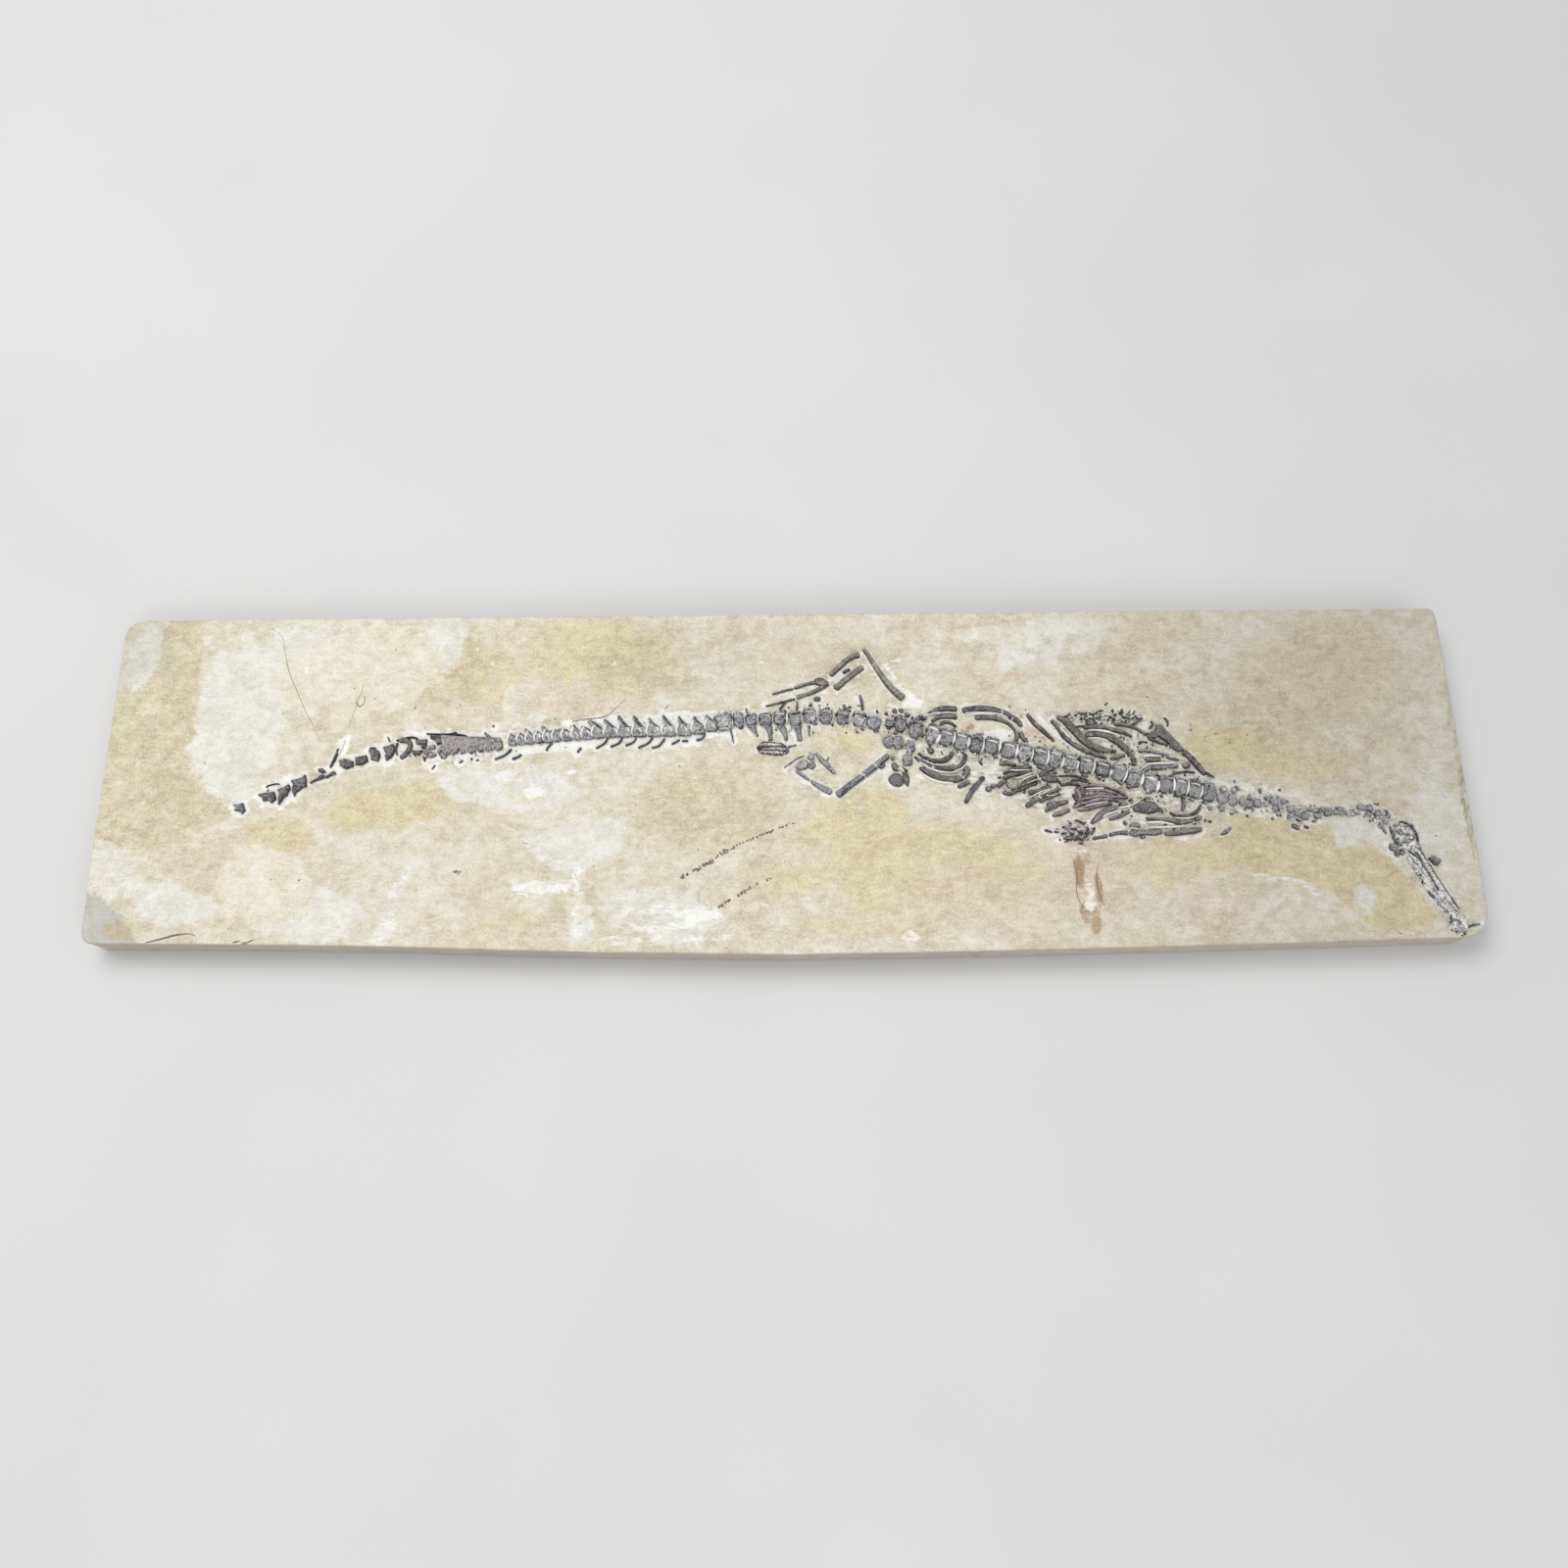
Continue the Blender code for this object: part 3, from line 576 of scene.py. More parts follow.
    def swing(self, value: object, most: float) -> bpy.types.NodeSocket:
        """Centres a value on zero and scales it: (value - 0.5) x most."""
        return self.sum("MULTIPLY", self.sum("SUBTRACT", value, 0.5), most)

    def tint(self, base: object, colour: object, value: object, low: float, high: float,
             most: float) -> bpy.types.NodeSocket:
        """Lays a colour over the base, up to a share of most, where a value eases from low to high."""
        return self.mix(self.sum("MULTIPLY", self.step(value, low, high), most), base, colour)

    def overlay(self, base: object, value: object, low: float, high: float,
                share: float) -> bpy.types.NodeSocket:
        """Lightens and darkens the base, by that share, where a value eases from low to high."""
        return self.mix(share, base, self.grey(self.step(value, low, high)), "OVERLAY")

    def grey(self, value: bpy.types.NodeSocket) -> bpy.types.NodeSocket:
        """Turns a number into a grey colour.

        Args:
            value: the number.

        Returns:
            The colour.
        """
        node = self.nodes.new("ShaderNodeCombineColor")
        for socket in node.inputs:
            self.links.new(value, socket)
        return node.outputs[0]

    def bump(self, height: bpy.types.NodeSocket, depth: float) -> None:
        """Adds fine surface texture.

        Args:
            height: the texture, 0 to 1.
            depth: its depth in millimetres.
        """
        node = self.nodes.new("ShaderNodeBump")
        node.inputs["Distance"].default_value = depth * MM
        self.links.new(height, node.inputs["Height"])
        self.links.new(node.outputs["Normal"], self.shader.inputs["Normal"])

    def finish(self, colour: object, roughness: object) -> bpy.types.Material:
        """Sets the shader's colour and roughness.

        Args:
            colour: a colour or socket.
            roughness: a number or socket.

        Returns:
            The finished material.
        """
        self.feed(self.shader.inputs["Base Color"], colour)
        self.feed(self.shader.inputs["Roughness"], roughness)
        return self.material


@dataclass(frozen=True)
class BoneFinish:
    """Mineralised bone: mottled, darker along its outline, partly as painted shade, streaked, worn to pale
    mineral.
    """

    name: str
    dark: Colour
    light: Colour
    pale: Colour = (0.70, 0.69, 0.65)

    def material(self) -> bpy.types.Material:
        """Builds the finish's node graph.

        Returns:
            The material.
        """
        g = Graph(self.name)
        cloud = g.noise(3.2, 5.0, 0.62, 0.8)
        streak = g.noise(1.0, 3.0, 0.6, 0.3, g.flow(0.12, 1.1))
        light = g.sum("ADD", g.swing(cloud, 5.6), g.swing(streak, 3.6))
        light = g.sum("ADD", light, g.sum("MULTIPLY", g.value("tone"), 0.95))
        # Painted shade: darker along the outline, where the bone dips into the stone, over the bone's own
        # darker edge.
        light = g.sum("SUBTRACT", light, g.sum("MULTIPLY", g.value("outline_dark_and_shade"), 0.95))
        base = g.mix(g.step(light, -1.0, 1.0), self.dark, self.light)
        base = g.overlay(base, g.noise(0.7, 3.0, 0.6), 0.2, 0.8, 0.4)
        worn = g.step(g.value("wear"), 0.0, 0.7)
        thread = g.sum("ABSOLUTE", g.sum("SUBTRACT", g.noise(4.2, 3.0, 0.55, 1.3), 0.5))
        base = g.mix(g.sum("MULTIPLY", g.step(thread, 0.045, 0.015), worn), base, self.pale)
        shows = g.sum("ADD", g.noise(2.1, 4.0, 0.66, 1.2), g.sum("MULTIPLY", g.value("wear"), 0.30))
        base = g.mix(g.step(shows, 0.69, 0.79), base, self.pale)
        g.bump(g.sum("ADD", g.noise(0.8, 4.0, 0.6), g.sum("MULTIPLY", streak, 0.6)), 0.25)
        g.shader.inputs["Specular IOR Level"].default_value = 0.35
        return g.finish(base, g.step(cloud, -1.3, 1.6))


@dataclass(frozen=True)
class GrainFinish:
    """Loose mineral grains, from dark bone crumbs to white calcite by their own tone."""

    name: str
    dark: Colour
    light: Colour

    def material(self) -> bpy.types.Material:
        """Builds the finish's node graph.

        Returns:
            The material.
        """
        g = Graph(self.name)
        cloud = g.swing(g.noise(1.6, 4.0, 0.6), 1.0)
        base = g.mix(g.step(g.sum("ADD", g.value("tone"), cloud), -0.5, 0.9), self.dark, self.light)
        g.bump(g.noise(0.5, 3.0, 0.6), 0.25)
        return g.finish(base, g.step(cloud, -1.6, 0.7))


@dataclass(frozen=True)
class StoneFinish:
    """Rubbed limestone: cream ground with ochre, grey, pink, rusty and white patches and painted shade by
    field.
    """

    name: str = "limestone_rubbed"
    ground: Colour = (0.598, 0.552, 0.425)
    tan: Colour = (0.560, 0.505, 0.362)
    ochre: Colour = (0.600, 0.510, 0.318)
    cream: Colour = (0.690, 0.652, 0.535)
    grey: Colour = (0.690, 0.680, 0.615)
    pink: Colour = (0.620, 0.520, 0.415)
    rust: Colour = (0.34, 0.205, 0.115)
    white: Colour = (0.82, 0.82, 0.785)
    dark: Colour = (0.22, 0.19, 0.15)
    dirt: Colour = (0.215, 0.190, 0.155)
    clay: Colour = (0.520, 0.490, 0.415)
    wall: Colour = (0.44, 0.39, 0.325)
    gloom: Colour = (0.11, 0.10, 0.085)

    def material(self) -> bpy.types.Material:
        """Builds the finish's node graph.

        Returns:
            The material.
        """
        g = Graph(self.name)
        wide = g.noise(46.0, 6.0, 0.6, 0.8)
        middling = g.noise(9.0, 6.0, 0.62, 0.5)
        fine = g.noise(1.3, 5.0, 0.65)
        fibre = g.noise(2.6, 4.0, 0.6, 0.4, g.stretch(g.place, 0.45, 1.2))
        base = g.mix(g.step(wide, 0.40, 0.60), self.ground, tuple(0.94 * c for c in self.cream))
        ragged = g.sum("ADD", g.swing(middling, 0.7), g.swing(g.noise(24.0, 4.0, 0.6, 1.0), 0.7))
        for field_name, colour, low, high, most in (
                ("tan", self.tan, 0.30, 0.70, 0.95), ("grey", self.grey, 0.25, 0.65, 0.95),
                ("ochre", self.ochre, 0.22, 0.72, 0.9), ("yolk", self.ochre, 0.35, 0.60, 0.85),
                ("cream", self.cream, 0.35, 0.62, 0.95), ("pink", self.pink, 0.30, 0.80, 0.9),
                ("rust", self.rust, 0.40, 0.95, 0.85), ("dark", self.dark, 0.40, 0.75, 0.9)):
            base = g.tint(base, colour, g.sum("ADD", g.value(field_name), ragged), low, high, most)
        crumb = g.noise(2.3, 4.0, 0.62, 1.0)
        bed = g.mix(g.step(crumb, 0.36, 0.46), self.dirt, self.clay)
        bed = g.mix(g.step(crumb, 0.47, 0.56), bed, tuple(0.93 * c for c in self.ground))
        bed = g.mix(g.step(crumb, 0.60, 0.68), bed, self.white)
        bedded = g.sum("ADD", g.value("matrix"), g.swing(fibre, 0.9))
        base = g.tint(base, bed, bedded, 0.35, 0.60, 0.9)
        chalk = g.sum("ADD", g.value("white"), g.swing(fibre, 1.3))
        chalk = g.sum("ADD", chalk, g.swing(middling, 0.8))
        base = g.tint(base, self.white, chalk, 0.28, 0.80, 0.90)
        mottle = g.sum("ADD", g.sum("MULTIPLY", fine, 0.6), g.sum("MULTIPLY", fibre, 0.4))
        base = g.overlay(base, mottle, 0.25, 0.75, 0.34)
        base = g.overlay(base, middling, 0.25, 0.75, 0.20)
        small = g.noise(4.2, 4.0, 0.6, 0.6)
        base = g.tint(base, tuple(0.96 * c for c in self.tan), small, 0.50, 0.66, 0.26)
        base = g.tint(base, self.cream, small, 0.50, 0.34, 0.22)
        base = g.tint(base, self.dark, g.noise(1.7, 2.0, 0.5), 0.74, 0.80, 0.45)
        # Painted shade: darkens the stone towards gloom, for the lights' falloff to the right and back, and
        # for darker patches of the stone itself.
        base = g.mix(g.sum("MULTIPLY", g.value("painted_shade_and_dark_patches"), 0.30), base, self.gloom)
        base = g.mix(g.value("wall"), base, g.mix(g.step(middling, 0.3, 0.7), self.wall,
            tuple(1.2 * c for c in self.wall)))
        g.bump(g.sum("ADD", g.sum("MULTIPLY", middling, 0.6), g.sum("ADD", fine, fibre)), 0.13)
        g.shader.inputs["Specular IOR Level"].default_value = 0.35
        return g.finish(base, g.step(fibre, -2.2, 1.3))


class Bone(Enum):
    """The finishes that a bone may have, by the record's material slot."""

    SLATE = BoneFinish("bone_slate_worn", (0.050, 0.046, 0.048), (0.262, 0.260, 0.274))
    BLACK = BoneFinish("bone_black_worn", (0.034, 0.030, 0.030), (0.175, 0.164, 0.160))
    BROWN = BoneFinish("bone_brown_worn", (0.066, 0.055, 0.051), (0.300, 0.270, 0.260))
    OLIVE = BoneFinish("bone_olive_worn", (0.052, 0.048, 0.034), (0.285, 0.272, 0.210))
    PURPLE = BoneFinish("bone_purple_worn", (0.048, 0.030, 0.036), (0.275, 0.218, 0.230))
    RIB = BoneFinish("bone_slate_ribs", (0.040, 0.034, 0.032), (0.218, 0.198, 0.188))

    @property
    def slot(self) -> str:
        """Names the record's material slot; the ribs' warmer finish shares the slate one."""
        return "bone_slate" if self is Bone.RIB else "bone_" + self.name.lower()


CHALK = GrainFinish("calcite_fill", (0.42, 0.40, 0.36), (0.82, 0.81, 0.765))
INK = GrainFinish("mineral_film", (0.15, 0.125, 0.10), (0.46, 0.39, 0.29))


@dataclass
class Workshop:
    """Makes the finished pieces, keeps their finishes and the plan of what lies on the face."""

    finishes: dict[str, bpy.types.Material] = field(default_factory=dict)
    reach: list[Array] = field(default_factory=list)

    def finish(self, kind: BoneFinish | GrainFinish | StoneFinish) -> bpy.types.Material:
        """Gives the material of a finish, made once.

        Args:
            kind: the finish.

        Returns:
            Its material.
        """
        if kind.name not in self.finishes:
            self.finishes[kind.name] = kind.material()
        return self.finishes[kind.name]

    def piece(self, name: str, patches: list[Patch], kind: BoneFinish | GrainFinish,
              nodes: tuple[str, ...] = (), spread: bool = True) -> bpy.types.Object:
        """Joins shells in one finished piece that rides on the slab.

        Args:
            name: the piece's name.
            patches: its closed shells, in millimetres of the plan.
            kind: its finish.
            nodes: the CAD nodes that it stands for.
            spread: whether the stone is worked round it.

        Returns:
            The new object.
        """
        starts = np.cumsum([0] + [len(p.points) for p in patches])
        points = np.vstack([p.points for p in patches])
        faces = [f for p, s in zip(patches, starts) for f in (p.quads + s).tolist()]
        faces += [[i + int(s) for i in cap] for p, s in zip(patches, starts) for cap in p.caps]
        if spread:
            self.reach.append(points[points[:, 2] < FACE + 0.4][::2, :2])
        mesh = bpy.data.meshes.new(name)
        mesh.from_pydata(((points + (0.0, FACE_OFFSET_Y, 0.0)) * MM).tolist(), [], faces)
        mesh.polygons.foreach_set("use_smooth", np.ones(len(faces), bool))
        flow = np.vstack([np.column_stack([p.flow, np.zeros(len(p.flow))]) for p in patches])
        mesh.attributes.new("flow", "FLOAT_VECTOR", "POINT").data.foreach_set("vector", flow.ravel())
        for label in ("tone", "outline_dark_and_shade", "wear"):
            values = np.concatenate([getattr(p, label) for p in patches]).astype(np.float32)
            mesh.attributes.new(label, "FLOAT", "POINT").data.foreach_set("value", values)
        mesh.materials.append(self.finish(kind))
        made = bpy.data.objects.new(name, mesh)
        bpy.context.scene.collection.objects.link(made)
        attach(made, "root")
        if nodes:
            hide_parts(*nodes)
        LOG.info("%s: %d shells, %d faces", name, len(patches), len(faces))
        return made

    def bone(self, node: str, patches: list[Patch], kind: Bone) -> bpy.types.Object:
        """Makes the piece that stands for one CAD bone."""
        return self.piece(node + "_fossil", patches, kind.value, (node,))

    def loose(self, name: str, patches: list[Patch], kind: Bone) -> bpy.types.Object:
        """Makes a piece of small bones that stands for no CAD bone."""
        return self.piece(name, patches, kind.value)


@dataclass
class Column:
    """The vertebral column, run by run, with its spines, chevrons and side ribs.

    The thin tail's runs hold each block's outline. The middle tail's rows are middle x, lower edge,
    length and spine tip. The other runs' rows are middle x, y, half length and half depth.
    """

    tail_tip: tuple = (((-320.2, -16.8), (-316.3, -16.5), (-313.4, -16.0), (-313.2, -17.9),
        (-311.5, -20.2), (-313.6, -22.4), (-315.0, -21.3), (-318.4, -20.5), (-316.7, -18.5)),)
    tail_end: tuple = (((-306.0, -10.8), (-303.3, -10.0), (-296.2, -8.9), (-294.3, -13.4),
        (-296.8, -16.3), (-298.6, -14.7), (-302.3, -14.7), (-302.8, -12.4)),
        ((-294.3, -7.8), (-287.8, -4.7), (-286.7, -7.3), (-288.0, -11.5), (-290.1, -13.1),
        (-292.4, -17.4), (-293.5, -12.6), (-292.9, -10.3)), ((-286.9, -2.5), (-279.5, -0.6),
        (-278.5, 1.2), (-276.9, -6.2), (-279.5, -6.8), (-282.7, -9.4), (-284.0, -12.3), (-285.7, -8.4),
        (-285.3, -4.7)))
    tail_thin: tuple = (((-275.6, -4.1), (-272.6, -1.5), (-270.5, 0.1), (-267.9, 1.4), (-265.6, 0.3),
        (-268.9, -1.5), (-272.1, -2.7)), ((-271.6, 4.9), (-268.9, 5.4), (-266.6, 3.1), (-268.9, 2.0),
        (-271.1, 3.1)), ((-267.4, -0.4), (-264.7, 1.7), (-261.5, 3.3), (-260.5, 1.9), (-263.7, 0.1),
        (-265.8, -1.2)))
    tail_dark: tuple = (((-259.4, 10.1), (-256.2, 11.2), (-251.0, 9.6), (-250.4, 6.4), (-254.7, 4.5),
        (-258.9, 6.8)), ((-250.3, 11.9), (-243.6, 13.3), (-242.0, 9.6), (-245.1, 7.3), (-249.6, 6.9)),
        ((-241.4, 13.3), (-242.4, 16.2), (-239.1, 16.6), (-236.7, 16.5), (-235.1, 13.3), (-236.2, 9.1),
        (-240.4, 10.1)), ((-234.0, 18.1), (-227.7, 20.2), (-226.4, 17.0), (-227.7, 12.3), (-231.4, 9.6),
        (-232.4, 12.3), (-230.6, 14.4), (-233.0, 15.4)), ((-215.0, 22.8), (-207.8, 22.8), (-208.1, 17.6),
        (-210.8, 16.9), (-211.5, 19.1), (-214.5, 20.2)), ((-216.4, 16.1), (-210.2, 15.9), (-211.3, 13.3),
        (-214.5, 12.3), (-216.0, 13.8)), ((-206.5, 25.0), (-198.1, 25.5), (-198.6, 20.2), (-201.8, 19.3),
        (-203.4, 22.3), (-206.0, 23.2)))
    dark_slivers: tuple = ((((-225, 22.0), (-220, 22.2), (-217.8, 19), (-219.4, 14.6), (-223.4, 11.2)),
        (1.0, 1.7, 1.7, 1.6, 1.2), 2.0, "black", 50), (((-225.4, 21), (-226.2, 17), (-225.2, 13)),
        (0.6, 0.5, 0.6), 1.8, "black", 51), (((-226.6, 22.2), (-218, 24.2), (-213.4, 23.4)),
        (0.4, 0.5, 0.5), 1.5, "thin", 55), (((-209, 26.4), (-203, 26.1), (-195, 26), (-190.5, 27.2)),
        (0.4, 0.5, 0.5, 0.3), 1.5, "thin", 57), (((-209, 12), (-208.4, 9)), (0.7, 0.5), 1.3, "fin", 58),
        (((-199, 11), (-197.2, 14.6)), (0.5, 0.7), 1.3, "fin", 59),
        (((-232, 24.8), (-230.2, 21.6)), (0.4, 0.5), 1.2, "thin", 60),
        (((-242.4, 17.6), (-238, 17.8)), (0.4, 0.4), 1.2, "thin", 61))
    tail_middle: tuple = ((-156.6, 18.4, 5.4, -158.7, 25.5), (-151.2, 18.9, 5.2, -154.6, 26.2),
        (-146.0, 19.3, 5.2, -150.2, 29.0), (-140.8, 19.8, 5.2, -144.2, 27.0),
        (-135.6, 20.2, 5.4, -140.3, 30.8), (-130.2, 20.7, 5.6, -134.4, 27.8),
        (-124.4, 21.2, 5.8, -130.0, 28.6), (-118.4, 21.6, 6.2, -121.2, 31.4),
        (-112.0, 22.0, 6.8, -116.4, 30.2), (-105.6, 22.6, 7.4, -112.5, 34.4),
        (-97.8, 23.0, 8.4, -103.0, 34.8), (-89.7, 23.1, 8.8, -94.5, 37.0),
        (-81.0, 23.3, 8.8, -85.6, 37.0), (-72.2, 23.4, 8.8, -76.4, 35.2), (-63.3, 23.5, 8.9, -68.0, 37.0),
        (-54.4, 23.8, 8.8, -58.6, 36.2), (-46.0, 24.8, 8.0, -49.4, 36.0), (-38.4, 26.4, 7.2, -42.4, 36.8))
    tail_root: tuple = ((-31.0, 31.8, 4.9, 5.2), (-22.4, 33.4, 3.4, 4.5), (-14.6, 33.6, 3.5, 4.1),
        (-6.2, 33.4, 3.9, 4.1), (2.4, 34.0, 3.9, 4.6), (11.4, 34.0, 3.7, 4.9), (20.2, 35.6, 4.0, 4.4),
        (29.8, 35.2, 3.9, 4.8), (39.8, 34.3, 3.9, 4.5), (49.4, 33.4, 3.9, 4.9), (57.9, 31.0, 4.1, 4.2))
    hip: tuple = ((67.2, 30.3, 2.9, 2.8), (73.8, 30.0, 3.4, 5.2), (82.6, 26.8, 4.1, 6.0))
    back: tuple = ((92.5, 23.6, 4.2, 5.6), (100.6, 20.8, 4.3, 5.4), (109.2, 18.8, 4.2, 5.6),
        (117.8, 17.0, 4.2, 5.5), (127.0, 15.6, 4.5, 5.1), (137.0, 12.8, 4.4, 5.4),
        (146.0, 11.0, 4.4, 5.3), (155.0, 8.9, 4.4, 5.8), (163.8, 7.4, 4.3, 5.6), (172.5, 5.2, 4.2, 5.2),
        (181.5, 3.2, 4.3, 5.3), (191.0, 0.7, 4.5, 5.0), (200.0, -1.4, 4.3, 5.2), (208.8, -5.0, 4.2, 5.4),
        (218.0, -8.0, 4.3, 4.9), (227.0, -9.0, 4.2, 5.4), (235.2, -10.2, 4.0, 5.4),
        (243.2, -12.0, 3.8, 5.6), (251.0, -13.6, 3.7, 5.8))
    neck: tuple = ((258.4, -17.2, 2.9, 3.4), (260.5, -11.8, 1.7, 1.6), (264.4, -18.2, 2.6, 3.8),
        (265.9, -12.4, 1.5, 1.5), (264.6, -24.4, 1.4, 1.2), (258.0, -23.2, 1.6, 1.4),
        (269.8, -19.2, 1.7, 2.4), (273.9, -21.6, 2.0, 2.0), (274.4, -17.4, 1.8, 1.3),
        (278.6, -20.4, 2.5, 2.8), (283.4, -20.8, 1.7, 1.8), (284.2, -17.0, 1.5, 1.2),
        (288.4, -19.0, 2.6, 2.7), (288.2, -24.0, 1.7, 1.3), (291.6, -23.2, 2.0, 1.7),
        (293.6, -19.4, 1.9, 1.9), (297.4, -23.8, 2.3, 2.2), (296.4, -28.2, 1.5, 1.1),
        (300.8, -26.6, 1.8, 1.9), (301.4, -30.4, 1.6, 1.0), (304.6, -24.6, 2.1, 1.4),
        (305.2, -28.6, 2.2, 1.8), (310.4, -24.8, 2.8, 1.2), (312.4, -28.4, 2.6, 1.4),
        (315.0, -24.2, 1.3, 1.1), (317.4, -27.2, 1.5, 1.3), (338.2, -23.2, 2.8, 1.8),
        (335.0, -26.4, 1.7, 1.2), (342.6, -23.8, 2.2, 1.9), (341.2, -27.6, 1.9, 1.1),
        (346.4, -27.4, 1.9, 1.8), (350.4, -31.8, 1.7, 2.5), (347.6, -34.0, 1.2, 1.9),
        (352.6, -28.4, 1.3, 1.4))
    chevrons: tuple = (((-167, 10), (-161, 12.5), (-157, 16.5)),
        ((-156.5, 10), (-153.5, 11.2), (-151, 13.2)), ((-136.6, 15), (-135.4, 17.4), (-133, 20.2)),
        ((-118, 14), (-115.5, 17)), ((-107, 16.5), (-102, 19.5), (-100, 23)),
        ((-98.5, 17.3), (-93.5, 19.5), (-91, 24)), ((-89.5, 18), (-85, 20), (-83, 23)),
        ((-82, 16.5), (-76, 19.5), (-73, 23.5)), ((-74, 16.5), (-69.5, 17.7), (-66, 22.5)),
        ((-62, 18.5), (-57, 21.5)), ((-56, 20.5), (-52, 20.7)), ((-47.5, 21), (-44, 22), (-42, 25.4)))
    root_ribs: tuple = ((((-18.4, 30.4), (-15.4, 26.6), (-11.6, 23)),
        ((-11.8, 30.2), (-11.6, 27), (-10.2, 23.4))), (((-9.4, 30), (-6, 26), (-4.6, 20.4)),
        ((-2.2, 30), (-1.8, 26), (-2.2, 20.6))), (((-0.8, 29.8), (2.4, 25.6), (5.2, 20)),
        ((5.6, 29.8), (6.6, 26), (7.2, 20.6))), (((8.8, 29.6), (11.4, 25), (12.6, 19.8)),
        ((15, 29.6), (15.2, 25), (15.8, 20))))
    body_outline: tuple = ((-0.92, -0.62), (-0.55, -0.95), (0.30, -1.0), (0.80, -0.76), (1.02, -0.30),
        (1.05, 0.20), (0.92, 0.50), (0.1, 0.62), (-0.86, 0.52), (-0.94, -0.1))
    arch_outline: tuple = ((-0.98, 0.40), (-0.2, 0.56), (0.92, 0.40), (1.02, 0.74), (0.62, 0.98),
        (-0.45, 1.04), (-0.95, 0.84))
    back_knobs: tuple = ((218, -10.6, 3.0), (208, -8.2, 2.4), (233.5, -14, 2.2), (251.6, -17.6, 2.0))
    brown_seams: tuple = ((-197.6, 23.4, 17.6, 0.6), (-192.8, 18.8, 14.2, 0.35),
        (-188.4, 24.6, 16.4, 0.3), (-183.2, 23.6, 14.6, 0.42), (-177.6, 24.0, 15.2, 0.3),
        (-172.6, 22.4, 14.8, 0.45), (-167.4, 22.8, 16.0, 0.35))
    neck_crumbs: tuple = ((260, -11.5, 2.6, 1.6), (268, -11, 1.2, 1.6), (251, -23, 1.3, 1.5),
        (257.5, -24, 1.4, 1.2), (263.5, -26, 1.5, 1.1), (286.5, -29.5, 1.0, 0.8), (281, -12, 1.1, 0.8),
        (289, -17, 2, 1.2), (292.5, -12.3, 0.9, 0.7), (299, -34.6, 2.9, 1.5), (305.2, -34.8, 1.6, 0.9),
        (254, -13, 2, 2), (290, -27.3, 1.5, 0.7), (295.6, -29.2, 1.2, 0.7), (310.2, -31.2, 1.6, 0.6),
        (352.4, -27, 0.5, 2.4), (267, -6.8, 0.7, 0.8), (349.2, -37.2, 0.9, 2.0))
    end_slivers: tuple = (((-301.4, -6.6), (-300.2, -5.2), (-296, -4.2), (-293.2, -4.3)),
        ((-300.6, -8.6), (-299.6, -7.6)), ((-287, -2.3), (-283, -1.5), (-279.4, -0.2)))
    brown_bounds: tuple = (-198.4, -192.8, -188.4, -183.2, -177.6, -172.6, -167.4, -162.6)
    loose_bits: tuple = (((-203.9, 4), (-201.9, 7)), ((-188, 8), (-185.5, 9.5)),
        ((-178, 9.3), (-176, 10)), ((-169.6, 30.4), (-168.4, 31.6)))

    def tail_block(self, row: tuple, seed: int) -> list[Patch]:
        """Makes one block of the middle tail with its spine, which leans left over the block before.

        Args:
            row: its middle in x, its lower edge, its length and its spine's tip.
            seed: picks the noise.

        Returns:
            The block and the smaller pieces on it.
        """
        x, low, long, tip_x, tip_y = row
        top = low + 6.6 + 0.1 * (long - 5)
        rise = tip_y - top
        outline = ((tip_x, tip_y), (tip_x + 1.3, tip_y - 0.2), (x - 0.20 * long, top + 0.62 * rise),
            (x - 0.02 * long, top + 0.34 * rise), (x + 0.36 * long, top - 1.0),
            (x + 0.50 * long, top - 2.6), (x + 0.46 * long, low + 0.3), (x + 0.1 * long, low - 0.2),
            (x - 0.42 * long, low), (x - 0.52 * long, low + 2.4), (x - 0.46 * long, top - 2.0),
            (x - 0.34 * long, top - 0.4), (x - 0.42 * long, top + 0.36 * rise),
            (tip_x - 0.2, tip_y - 0.3 * rise))
        rng = np.random.default_rng(seed)
        look = Look(tone=rng.uniform(0.25, 0.6), core=0.3, wear=0.36, rough=0.2, wobble=0.25)
        made = [plate(outline, 2.1, look, seed, (x, (low + top) / 2))]
        fin = ((tip_x + 0.1, tip_y - 0.1), (tip_x + 1.2, tip_y - 0.3),
            (x - 0.20 * long, top + 0.58 * rise), (x + 0.0 * long, top + 0.26 * rise),
            (x + 0.30 * long, top - 1.4), (x + 0.1 * long, top - 1.5), (x - 0.18 * long, top - 0.2),
            (x - 0.34 * long, top + 0.30 * rise))
        dark = Look(tone=rng.uniform(-1.3, -0.8), core=0.1, wear=0.12, wobble=0.2)
        made.append(plate(fin, 2.3, dark, seed + 2))
        made.append(lump((x + rng.uniform(-1.2, 1.2), low + 2.4), (0.27 * long, 1.7), 2.35,
            Look(tone=rng.uniform(-0.3, 0.3), wear=0.3, wobble=0.3), seed + 3, 0.1, 0, 2.4, 6, 20))
        return made

